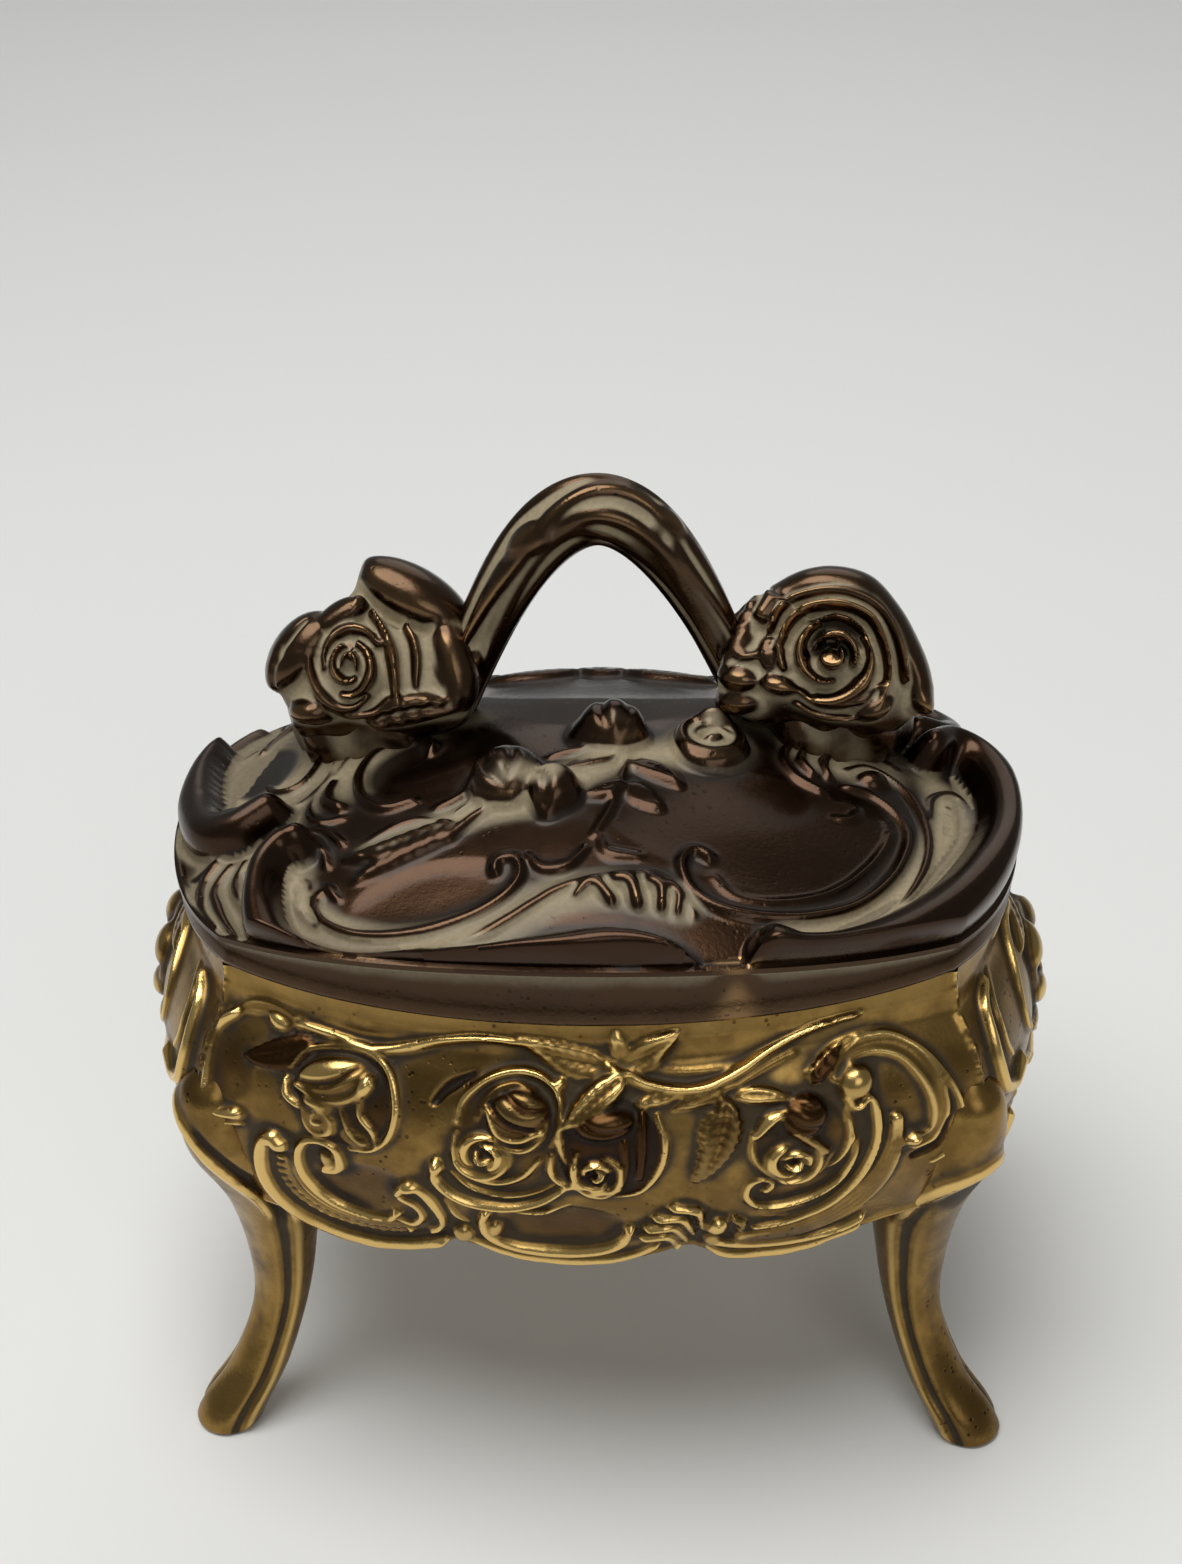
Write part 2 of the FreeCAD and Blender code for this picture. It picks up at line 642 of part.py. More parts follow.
finish(
    fuse(
        "front_wall_with_ornament",
        [doc.getObject("front_wall")] + ornament("front", 1, PANEL_LEAVES + NECK_LEAVES),
    ),
    "front_panel",
)

# The back panel has a flat land for the hinge's lower leaf, which starts halfway into the wall.

HALF_LAND = "(sizes.hinge_width / 2 + 0.5)"
land_block = box(
    "land_block",
    (f"-{HALF_LAND}", f"{FRONT_REACH} - sizes.panel_wall", "sizes.seam_height - sizes.hinge_leaf"),
    (HALF_LAND, HINGE_FACE, "sizes.seam_height"),
)
back_skin = revolved_wall(
    "back_skin",
    "back",
    "(-2 * sizes.panel_wall)",
    "sizes.panel_wall / 2",
    "sizes.body_bottom",
    "sizes.seam_height",
    False,
    "0",
)
lower_land = common("lower_land", land_block, back_skin)
finish(
    fuse(
        "back_wall_with_ornament",
        [doc.getObject("back_wall"), lower_land] + ornament("back", -1, PANEL_LEAVES),
    ),
    "back_panel",
)

# Sheet bottom on the ledges, and the pad on it.

finish(
    bowed_slab(
        "bottom_sheet",
        f"{tuck_offset(LEDGE_TOP, 'sizes.panel_wall')} - sizes.solder_gap",
        "sizes.panel_wall",
        LEDGE_TOP,
        "sizes.plate_thickness",
    ),
    "bottom_plate",
)
finish(
    bowed_slab(
        "floor_cushion",
        f"{tuck_offset(LINING_BOTTOM, LINING_INNER)} - sizes.lining_gap",
        "sizes.floor_pad_corner",
        LINING_BOTTOM,
        "sizes.floor_pad_depth",
    ),
    "floor_pad",
)

# Cabriole legs on the corners. A leg's own frame looks out along +X from the foot of the corner.

LEG_SECTIONS = (
    # name, height, share of the toe's turn
    ("cap", "sizes.cap_height", "0"),
    ("knee", "sizes.knee_height", "0"),
    ("skirt", "sizes.body_bottom", "0"),
    ("calf", "sizes.calf_height", "0"),
    ("ankle", "sizes.ankle_height", "0"),
    ("instep", "sizes.instep_height", "0.3"),
    ("toe", "sizes.toe_height", "0.8"),
    ("sole", "0", "1"),
)

# Each side of the box with its wall filled in, a hairline larger: what a knee is cut to sit on.
CORE_DEPTH = "(2 * sizes.knee_radius)"
cores = {
    side: revolved_wall(
        f"{side}_core",
        side,
        "(-sizes.solder_gap)",
        CORE_DEPTH,
        "(sizes.body_bottom - sizes.solder_gap)",
        "sizes.seam_height",
        False,
        "0",
    )
    for side in SIDES
}


def leg(label, end, face):
    """Round sections lofted from the knee on the corner down to a flat sole, cut to the panels."""
    sign_x = "1" if end == "right" else "-1"
    sign_y = "1" if face == "back" else "-1"
    body = doc.addObject("PartDesign::Body", f"{label}_form")
    length = f"sqrt({MITRE_END}^2 + {MITRE_FRONT}^2)"
    turn = f"atan2({sign_y} * {MITRE_FRONT}; {sign_x} * {MITRE_END})"
    # A point of the corner line moves by twice the mitre direction over its length squared.
    corner_shift = f"2 * {CORNER_OUT} / {length}^2"
    body.Placement = Placement(Vector(0, 0, 0), Rotation(Vector(0, 0, 1), num(turn)))
    bind(
        body,
        Placement__Rotation__Angle=turn,
        Placement__Base__x=f"{sign_x} * (sizes.corner_x + {corner_shift} * {MITRE_END})",
        Placement__Base__y=f"{sign_y} * (sizes.corner_y + {corner_shift} * {MITRE_FRONT})",
    )
    sketches = []
    for name, height, share in LEG_SECTIONS:
        sketch = new_sketch(body, f"{label}_{name}", "XY_Plane")
        bind(sketch, AttachmentOffset__Base__z=height)
        place = (f"sizes.{name}_out", f"-1 * {sign_x} * {sign_y} * {share} * sizes.toe_turn")
        radius = f"sizes.{name}_radius"
        circle = Part.Circle(Vector(num(place[0]), num(place[1]), 0), Vector(0, 0, 1), num(radius))
        geometry = sketch.addGeometry(circle, False)
        pin_point(sketch, geometry, 3, place)
        tie(sketch, "Radius", geometry, expression=radius)
        sketches.append(sketch)
    loft = body.newObject("PartDesign::AdditiveLoft", f"{label}_loft")
    loft.Profile = sketches[0]
    loft.Sections = sketches[1:]
    on_face = cut(f"{label}_on_face", body, cores[face])
    finish(cut(f"{label}_casting", on_face, cores[end]), label)


leg("front_left_leg", "left", "front")
leg("front_right_leg", "right", "front")
leg("back_left_leg", "left", "back")
leg("back_right_leg", "right", "back")

# Lid: a slab in the plan of the box under a dome, hollowed, with a rolled rim.


def dome(name, inset):
    """The dome's long arc turned about a line under the crest, inset from the lid's outer face."""
    body = doc.addObject("PartDesign::Body", name)
    sketch = new_sketch(body, f"{name}_arc", "XZ_Plane")
    bind(sketch, AttachmentOffset__Base__y="sizes.dome_crest - sizes.dome_arc_cross")
    radius = f"(sizes.dome_arc_long - {inset})"
    centre = "(sizes.dome_arc_cross - sizes.dome_arc_long)"
    edge = f"({centre} + sqrt({radius}^2 - {DOME_REACH}^2))"
    corners = [
        (f"-{DOME_REACH}", "0"),
        (DOME_REACH, "0"),
        (DOME_REACH, edge),
        (f"-{DOME_REACH}", edge),
    ]
    closed_outline(sketch, corners, {2: (("0", centre), radius)})
    turn = body.newObject("PartDesign::Revolution", f"{name}_turn")
    turn.Profile = sketch
    turn.ReferenceAxis = (sketch, ["H_Axis"])
    turn.Angle = 360
    return body


def domed_block(name, plan_inset, dome_inset, corner, bottom):
    """Part of the slab over the plan that lies under the dome."""
    slab = bowed_slab(
        f"{name}_slab", f"sizes.lid_overhang - {plan_inset}", corner, bottom, f"sizes.dome_crest - {bottom}"
    )
    return common(name, slab, dome(f"{name}_dome", dome_inset))


def roll(name, turn, radius, reach, start, sweep):
    """Stretch of the rolled rim with knobbed ends, along the bow of one side."""
    path = f"({radius} + sizes.lid_overhang - sizes.roll_inset)"
    centre = f"({reach} - {radius})"
    direction = Rotation(Vector(0, 0, 1), turn).multVec(Vector(1, 0, 0))
    ring = doc.addObject("Part::Torus", f"{name}_ring")
    ring.Placement = Placement(Vector(0, 0, 0), Rotation(Vector(0, 0, 1), turn))
    bind(
        ring,
        Radius1=path,
        Radius2="sizes.roll_radius",
        Angle3=sweep,
        Placement__Base__x=f"{round(direction.x)} * {centre}",
        Placement__Base__y=f"{round(direction.y)} * {centre}",
        Placement__Base__z="sizes.roll_height",
        Placement__Rotation__Angle=f"{turn} + {start}",
    )
    solids = [ring]
    for number, angle in enumerate((f"({start})", f"({start} + {sweep})")):
        ball = doc.addObject("Part::Sphere", f"{name}_end_{number}")
        bind(
            ball,
            Radius="sizes.roll_end_radius",
            Placement__Base__x=f"{round(direction.x)} * {centre} + {path} * cos({turn} + {angle})",
            Placement__Base__y=f"{round(direction.y)} * {centre} + {path} * sin({turn} + {angle})",
            Placement__Base__z="sizes.roll_height",
        )
        solids.append(ball)
    return solids


ROLL_SWEEP = "(sizes.front_roll_reach - {gap} / 2)"
rolls = []
for name, turn, gap in (("front", 270, "sizes.front_roll_gap"), ("back", 90, "sizes.back_roll_gap")):
    sweep = ROLL_SWEEP.format(gap=gap)
    rolls += roll(f"{name}_roll_a", turn, FRONT_RADIUS, FRONT_REACH, f"{gap} / 2", sweep)
    rolls += roll(f"{name}_roll_b", turn, FRONT_RADIUS, FRONT_REACH, "-sizes.front_roll_reach", sweep)
for name, turn in (("right", 0), ("left", 180)):
    rolls += roll(
        f"{name}_roll", turn, END_RADIUS, END_REACH, "-sizes.end_roll_reach", "2 * sizes.end_roll_reach"
    )
upper_land = box(
    "upper_land",
    (f"-{HALF_LAND}", f"{FRONT_REACH} - sizes.lid_wall", LID_BOTTOM),
    (HALF_LAND, HINGE_FACE, f"{LID_BOTTOM} + sizes.hinge_leaf"),
)

LID_KNOBS = (
    # along, deep, radius, how far its centre stands over the dome
    (-0.233, -0.359, 0.089, -0.009),
    (-0.104, -0.456, 0.072, -0.007),
    (0.065, -0.030, 0.085, 0.022),
    (0.333, -0.044, 0.107, -0.035),
    (-0.826, -0.685, 0.065, -0.011),
    (-1.009, -0.356, 0.087, -0.022),
)
LID_SCROLLS = (
    # along, deep, radius, half width, start and end in degrees
    (-0.457, -0.722, 0.261, 0.026, 195, 325),
    (0.587, -0.585, 0.293, 0.026, -110, 35),
    (-0.489, -0.185, 0.174, 0.024, 150, 260),
    (-0.978, 0.148, 0.130, 0.024, 100, 260),
    (0.261, 0.741, 0.228, 0.022, 40, 160),
    (-0.239, 0.741, 0.228, 0.022, 20, 140),
)
LID_LEAVES = (
    # along and deep of the foot, along and deep of the tip, half width
    (-0.370, -0.667, -0.674, -0.796, 0.048),
    (-0.043, -1.074, 0.239, -1.056, 0.043),
)


def drawn_upright(name, draw):
    """Upright prism of one drawn shape, from the lid's skirt to over its crest."""
    body = doc.addObject("PartDesign::Body", name)
    sketch = new_sketch(body, f"{name}_outline", "XY_Plane")
    bind(sketch, AttachmentOffset__Base__z=f"{LID_BOTTOM} + sizes.lid_wall")
    draw(sketch)
    pad = body.newObject("PartDesign::Pad", f"{name}_pad")
    pad.Profile = sketch
    bind(pad, Length="sizes.dome_arc_cross")
    return body


def dome_height(along, depth):
    """Height of the dome over a point of the plan."""
    crown = f"(sizes.dome_arc_cross - sizes.dome_arc_long + sqrt(sizes.dome_arc_long^2 - {along}^2))"
    return f"(sizes.dome_crest - sizes.dome_arc_cross + sqrt({crown}^2 - {depth}^2))"


lid_ornament = []
for number, (along, depth, radius, over) in enumerate(LID_KNOBS):
    knob = doc.addObject("Part::Sphere", f"lid_knob_{number}")
    bind(
        knob,
        Radius=long(radius),
        Placement__Base__x=long(along),
        Placement__Base__y=deep(depth),
        Placement__Base__z=f"{dome_height(long(along), deep(depth))} + {long(over)}",
    )
    lid_ornament.append(knob)
relief_dome = dome("lid_relief_dome", "-sizes.lid_relief")
for number, (along, depth, radius, half, start, end) in enumerate(LID_SCROLLS):
    prism = drawn_upright(
        f"lid_scroll_{number}",
        lambda sketch: scroll(sketch, (long(along), deep(depth)), long(radius), long(half), start, end),
    )
    lid_ornament.append(common(f"{prism.Name}_relief", prism, relief_dome))
for number, (foot, low, tip, high, half) in enumerate(LID_LEAVES):
    prism = drawn_upright(
        f"lid_leaf_{number}",
        lambda sketch: leaf(sketch, (long(foot), deep(low)), (long(tip), deep(high)), long(half)),
    )
    lid_ornament.append(common(f"{prism.Name}_relief", prism, relief_dome))
lid_mass = fuse(
    "lid_mass",
    [domed_block("lid_form", "0", "0", "sizes.lid_corner", LID_BOTTOM), upper_land] + rolls + lid_ornament,
)
lid_hollow = domed_block(
    "lid_hollow",
    "sizes.lid_wall",
    "sizes.lid_wall",
    "(sizes.lid_corner - sizes.lid_wall)",
    f"({LID_BOTTOM} - sizes.lid_wall)",
)
finish(cut("lid_casting", lid_mass, lid_hollow), "lid_shell")

# Padded lining under the dome.

LID_PAD_FACE = "(sizes.lid_wall + sizes.lining_gap)"
lid_pad_form = domed_block(
    "lid_pad_form",
    LID_PAD_FACE,
    LID_PAD_FACE,
    f"(sizes.lid_corner - {LID_PAD_FACE})",
    f"({LID_BOTTOM} + sizes.lining_drop)",
)
lid_pad_hollow = dome("lid_pad_hollow", f"({LID_PAD_FACE} + sizes.lid_pad_depth)")
finish(cut("lid_pad", lid_pad_form, lid_pad_hollow), "lid_lining")

# Branch handle: round sections along an arch, trimmed where the feet meet the dome.

HANDLE_STATIONS = (-1, -0.7, -0.35, 0, 0.35, 0.7, 1)


def branch(name, grow):
    """The handle's arch, grown all round."""
    body = doc.addObject("PartDesign::Body", name)
    sketches = []
    for number, station in enumerate(HANDLE_STATIONS):
        sketch = new_sketch(body, f"{name}_section_{number}", "XY_Plane")
        fall = f"{abs(station)}^(sizes.handle_arch - 1)"
        slope = (
            f"90 deg + atan(sizes.handle_arch * sizes.handle_rise * {math.copysign(1, station)}"
            f" * {fall} / sizes.handle_span)"
        )
        sketch.AttachmentOffset = Placement(Vector(0, 0, 0), Rotation(Vector(0, 1, 0), num(slope)))
        bind(
            sketch,
            AttachmentOffset__Base__x=f"sizes.handle_x + sizes.handle_span * {station}",
            AttachmentOffset__Base__y="sizes.handle_y",
            AttachmentOffset__Base__z=(
                "sizes.dome_crest - sizes.handle_foot"
                f" + sizes.handle_rise * (1 - {abs(station)} * {fall})"
            ),
            AttachmentOffset__Rotation__Angle=slope,
        )
        share = 1 - station**2
        radius = (
            f"sizes.handle_foot_radius + {share} * (sizes.handle_top_radius - sizes.handle_foot_radius)"
            f" + {grow}"
        )
        geometry = sketch.addGeometry(Part.Circle(Vector(0, 0, 0), Vector(0, 0, 1), num(radius)), False)
        pin_point(sketch, geometry, 3, ("0", "0"))
        tie(sketch, "Radius", geometry, expression=radius)
        sketches.append(sketch)
    loft = body.newObject("PartDesign::AdditiveLoft", f"{name}_loft")
    loft.Profile = sketches[0]
    loft.Sections = sketches[1:]
    return body


dome_seat = dome("dome_seat", "-sizes.solder_gap")
finish(cut("branch_on_dome", branch("branch_arch", "0"), dome_seat), "handle_branch")
branch_room = branch("branch_room", "sizes.solder_gap")

# Roses at the handle's feet, each turned to the front, trimmed to the dome and the branch.


def turned_feature(body, sketch):
    """Full turn of a sketch about its own upright axis."""
    turn = body.newObject("PartDesign::Revolution", f"{sketch.Name}_turn")
    turn.Profile = sketch
    turn.ReferenceAxis = (sketch, ["V_Axis"])
    turn.Angle = 360
    return turn


def petals(body, label, ring):
    """Ring of cupped petals: one bowl, leaned in to the rose's axis and turned about it."""
    sketch = new_sketch(body, f"{label}_{ring}", "XZ_Plane")
    lean = f"sizes.{ring}_lean"
    sketch.AttachmentOffset = Placement(Vector(0, 0, 0), Rotation(Vector(0, 0, 1), num(lean)))
    bind(
        sketch,
        AttachmentOffset__Base__x=f"sizes.{ring}_ring",
        AttachmentOffset__Base__y=f"sizes.{ring}_lift",
        AttachmentOffset__Rotation__Angle=lean,
    )
    outer = f"sizes.{ring}_arc"
    inner = f"(sizes.{ring}_arc - sizes.{ring}_sheet)"
    spread = f"sizes.{ring}_spread"
    centre = ("0", outer)
    corners = [
        ("0", "0"),
        (f"{outer} * sin({spread})", f"{outer} - {outer} * cos({spread})"),
        (f"{inner} * sin({spread})", f"{outer} - {inner} * cos({spread})"),
        ("0", f"sizes.{ring}_sheet"),
    ]
    closed_outline(sketch, corners, {0: (centre, outer), 2: (centre, inner)})
    bowl = turned_feature(body, sketch)
    turns = body.newObject("PartDesign::PolarPattern", f"{label}_{ring}_turns")
    turns.Originals = [bowl]
    turns.Axis = (origin_plane(body, "Z_Axis"), [""])
    turns.Angle = 360
    bind(turns, Occurrences=f"sizes.{ring}_count")
    body.Tip = turns


def rose(label, side):
    """Body on a stalk, a ring of open petals, a cup of upright ones and a bud."""
    body = doc.addObject("PartDesign::Body", f"{label}_bloom")
    body.Placement = Placement(Vector(0, 0, 0), Rotation(Vector(1, 0, 0), num("sizes.rose_tilt")))
    bind(
        body,
        Placement__Rotation__Angle="sizes.rose_tilt",
        Placement__Base__x=f"{side} * sizes.rose_x",
        Placement__Base__y="sizes.rose_y",
        Placement__Base__z="sizes.dome_crest + sizes.rose_z",
    )
    core = new_sketch(body, f"{label}_core", "XZ_Plane")
    crown_radius = "(sizes.core_radius^2 + sizes.core_depth^2) / (2 * sizes.core_depth)"
    corners = [
        ("0", "-sizes.stalk_length"),
        ("sizes.stalk_radius", "-sizes.stalk_length"),
        ("sizes.core_radius", "0"),
        ("0", "sizes.core_depth"),
    ]
    closed_outline(core, corners, {2: (("0", f"sizes.core_depth - {crown_radius}"), crown_radius)})
    turned_feature(body, core)
    petals(body, label, "petal")
    petals(body, label, "cup")
    bud = new_sketch(body, f"{label}_bud", "XZ_Plane")
    low = "sizes.bud_lift - sizes.bud_radius"
    high = "sizes.bud_lift + sizes.bud_radius"
    middle = ("sizes.bud_radius", "sizes.bud_lift")
    arc = (("0", "sizes.bud_lift"), "sizes.bud_radius")
    closed_outline(bud, [("0", low), middle, ("0", high)], {0: arc, 1: arc})
    body.Tip = turned_feature(body, bud)
    on_dome = cut(f"{label}_on_dome", body, dome_seat)
    finish(cut(f"{label}_casting", on_dome, branch_room), label)


rose("left_rose", "-1")
rose("right_rose", "1")

# Hinge: two leaves with alternating knuckles on one pin.

KNUCKLE_PITCH = "(sizes.hinge_width / sizes.knuckle_count)"


def hinge_leaf(label, first_knuckle, low, high):
    """Flat leaf between two heights with every second knuckle of the barrel."""
    name = f"{label}_sheet"
    knuckles = []
    reliefs = []
    for number in range(round(num("sizes.knuckle_count"))):
        start = f"(-sizes.hinge_width / 2 + {number} * {KNUCKLE_PITCH} + sizes.knuckle_gap / 2)"
        length = f"({KNUCKLE_PITCH} - sizes.knuckle_gap)"
        if number % 2 == first_knuckle:
            knuckles.append(
                cylinder_along_x(f"{name}_knuckle_{number}", "sizes.knuckle_radius", start, length)
            )
        else:
            relief_start = f"({start} - sizes.knuckle_gap)"
            relief_length = f"({length} + 2 * sizes.knuckle_gap)"
            reliefs.append(
                cylinder_along_x(
                    f"{name}_relief_{number}",
                    "sizes.knuckle_radius + sizes.knuckle_gap",
                    relief_start,
                    relief_length,
                )
            )
    plate = box(
        f"{name}_plate",
        ("-sizes.hinge_width / 2 + sizes.knuckle_gap / 2", f"{HINGE_FACE} + sizes.solder_gap", low),
        ("sizes.hinge_width / 2 - sizes.knuckle_gap / 2", f"{HINGE_FACE} + sizes.hinge_sheet", high),
    )
    relieved = cut(f"{name}_relieved", plate, fuse(f"{name}_reliefs", reliefs))
    solid = fuse(f"{name}_solid", [relieved] + knuckles)
    bore = cylinder_along_x(
        f"{name}_bore", "sizes.pin_radius + sizes.pin_play", "-sizes.hinge_width", "2 * sizes.hinge_width"
    )
    finish(cut(f"{name}_bored", solid, bore), label)


hinge_leaf("body_hinge_leaf", 0, "sizes.seam_height - sizes.hinge_leaf", "sizes.seam_height")
hinge_leaf("lid_hinge_leaf", 1, "sizes.seam_height", f"{LID_BOTTOM} + sizes.hinge_leaf")

PIN_HALF = "(sizes.hinge_width / 2)"
pin_shank = cylinder_along_x("pin_shank", "sizes.pin_radius", f"-{PIN_HALF}", "sizes.hinge_width")
pin_heads = [
    cylinder_along_x("pin_head_a", "sizes.pin_head_radius", PIN_HALF, "sizes.pin_head"),
    cylinder_along_x(
        "pin_head_b", "sizes.pin_head_radius", f"-{PIN_HALF} - sizes.pin_head", "sizes.pin_head"
    ),
]
finish(fuse("pin_solid", [pin_shank] + pin_heads), "hinge_pin")

# Build, test and write.

doc.recompute()
failed = [o.Name for o in doc.Objects if "Invalid" in o.State or "Error" in o.State]
if failed:
    raise RuntimeError(f"failed to build: {failed}")
for label, piece in pieces.items():
    if piece.Shape.isNull() or not piece.Shape.isValid() or not piece.Shape.Solids:
        raise RuntimeError(f"{label} is not a valid solid")
os.makedirs("parts", exist_ok=True)
for label, piece in pieces.items():
    piece.Shape.exportStep(f"parts/{label}.step")
    extent = piece.Shape.optimalBoundingBox(False)
    print(
        f"{label}: {len(piece.Shape.Solids)} solid, {piece.Shape.Volume:.1f} mm3,"
        f" x {extent.XMin:.2f}..{extent.XMax:.2f}, y {extent.YMin:.2f}..{extent.YMax:.2f},"
        f" z {extent.ZMin:.2f}..{extent.ZMax:.2f}"
    )
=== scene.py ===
"""Trinket casket: gilt cast walls on cabriole legs, a bronzed domed lid, roses and a branch handle."""

import logging
import math
from abc import ABC, abstractmethod
from dataclasses import dataclass, field, replace
from enum import Enum
from typing import Any, Callable, Sequence, Union

import bmesh
import bpy
import numpy as np
from mathutils import Matrix, Vector


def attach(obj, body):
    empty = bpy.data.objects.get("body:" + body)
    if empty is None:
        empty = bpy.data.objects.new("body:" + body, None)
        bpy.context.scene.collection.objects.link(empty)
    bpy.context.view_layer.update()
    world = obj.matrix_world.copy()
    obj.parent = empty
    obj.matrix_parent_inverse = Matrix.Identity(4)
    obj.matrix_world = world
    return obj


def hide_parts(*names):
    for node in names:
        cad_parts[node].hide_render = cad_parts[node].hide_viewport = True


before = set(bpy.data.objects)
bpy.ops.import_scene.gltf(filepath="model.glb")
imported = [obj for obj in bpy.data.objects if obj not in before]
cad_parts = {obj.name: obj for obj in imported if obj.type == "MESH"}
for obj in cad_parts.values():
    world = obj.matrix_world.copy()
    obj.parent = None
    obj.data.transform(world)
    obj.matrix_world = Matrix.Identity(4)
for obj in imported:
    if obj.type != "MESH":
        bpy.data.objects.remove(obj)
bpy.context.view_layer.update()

LOG = logging.getLogger("casket")
MM = 0.001
PHOTO_HEIGHT = 1564
TINY = 1e-6
SEAM = 0.001
SEAM_PARTS = 40
RIM_SHADE = -0.1
BACK_SHADE = -0.2

Point = tuple[float, float]
Spot = tuple[float, float, float]
Colour = tuple[float, float, float]
Array = np.ndarray
Mesh = bmesh.types.BMesh
Edges = Sequence[bmesh.types.BMEdge]
Finish = bpy.types.Material
Thing = bpy.types.Object


# Shader boards


class Wire:
    """A shader socket whose arithmetic lays Math nodes on its board."""

    def __init__(self, board: "Board", socket: bpy.types.NodeSocket) -> None:
        """Keeps the board and the socket."""
        self.board = board
        self.socket = socket

    def __add__(self, other: "Value") -> "Wire":
        """Sum."""
        return self.board.sum_up("ADD", self, other)

    __radd__ = __add__

    def __mul__(self, other: "Value") -> "Wire":
        """Product."""
        return self.board.sum_up("MULTIPLY", self, other)

    __rmul__ = __mul__

    def __sub__(self, other: "Value") -> "Wire":
        """Difference."""
        return self.board.sum_up("SUBTRACT", self, other)

    def __rsub__(self, other: "Value") -> "Wire":
        """Difference from a number."""
        return self.board.sum_up("SUBTRACT", other, self)

    def step(self, low: float, high: float) -> "Wire":
        """Smooth step from 0 at low to 1 at high."""
        settings = {"interpolation_type": "SMOOTHSTEP"}
        return self.board.node(
            "ShaderNodeMapRange", settings, {"Value": self, "From Min": low, "From Max": high}
        )

    def least(self, other: "Value") -> "Wire":
        """The smaller of two values."""
        return self.board.sum_up("MINIMUM", self, other)


Value = Union[Wire, float]


class Board:
    """Node tree of one material, built from top to bottom."""

    def __init__(self, name: str) -> None:
        """Makes an empty material.

        Args:
            name: Name of the material.
        """
        self.material = bpy.data.materials.new(name)
        self.material.use_nodes = True
        self.tree = self.material.node_tree
        self.tree.nodes.clear()

    def node(
        self,
        kind: str,
        settings: dict[str, Any] | None = None,
        sockets: dict[Any, Any] | None = None,
        out: Any = 0,
    ) -> Wire:
        """Adds one node.

        Args:
            kind: The node's type.
            settings: Its own settings, set first.
            sockets: Values or wires for its inputs, by name or number.
            out: Name or number of the output to hand back.

        Returns:
            The chosen output, or the first input of a node without outputs.
        """
        made = self.tree.nodes.new(kind)
        for name, value in (settings or {}).items():
            setattr(made, name, value)
        for name, value in (sockets or {}).items():
            if isinstance(value, Wire):
                self.tree.links.new(value.socket, made.inputs[name])
            else:
                made.inputs[name].default_value = value
        return Wire(self, made.outputs[out]) if made.outputs else Wire(self, made.inputs[0])

    def sum_up(self, operation: str, first: Value, second: Value) -> Wire:
        """One Math node."""
        return self.node("ShaderNodeMath", {"operation": operation}, {0: first, 1: second})

    def blend(self, share: Value, first: Wire | Colour, second: Wire | Colour) -> Wire:
        """Mixes two colours.

        Args:
            share: 0 for the first colour, 1 for the second.
            first: Colour or wire.
            second: Colour or wire.

        Returns:
            The mixed colour.
        """
        sockets: dict[Any, Any] = {0: share}
        for slot, colour in ((6, first), (7, second)):
            sockets[slot] = colour if isinstance(colour, Wire) else (*colour, 1.0)
        return self.node("ShaderNodeMix", {"data_type": "RGBA"}, sockets, 2)

    def spot(self) -> Wire:
        """Place on the piece, in metres."""
        return self.node("ShaderNodeTexCoord", out="Object")

    def mark(self, name: str) -> Wire:
        """The piece's own painted value of that name."""
        return self.node("ShaderNodeAttribute", {"attribute_name": name}, out="Fac")

    def grain(self, scale: float, detail: float = 3.0, rough: float = 0.55) -> Wire:
        """Noise over the piece, from 0 to 1, with that many cells in a metre."""
        sockets = {"Vector": self.spot(), "Scale": scale, "Detail": detail, "Roughness": rough}
        return self.node("ShaderNodeTexNoise", None, sockets)

    def stretched(self, scale: Spot) -> Wire:
        """Noise drawn out along the piece, with that many cells in a metre each way."""
        place = self.node("ShaderNodeMapping", None, {"Vector": self.spot(), "Scale": scale})
        return self.node("ShaderNodeTexNoise", None, {"Vector": place, "Scale": 1.0, "Detail": 2.0})

    def bump(self, strength: float, depth: float, height: Wire) -> Wire:
        """Bends the normal by fine relief of that depth in metres."""
        sockets = {"Strength": strength, "Distance": depth, "Height": height}
        return self.node("ShaderNodeBump", None, sockets)

    def close(self, sockets: dict[str, Any]) -> Finish:
        """Ends the board in one surface shader.

        Args:
            sockets: Inputs of the surface.

        Returns:
            The finished material.
        """
        surface = self.node("ShaderNodeBsdfPrincipled", None, sockets)
        self.node("ShaderNodeOutputMaterial", None, {"Surface": surface})
        return self.material


# Finishes


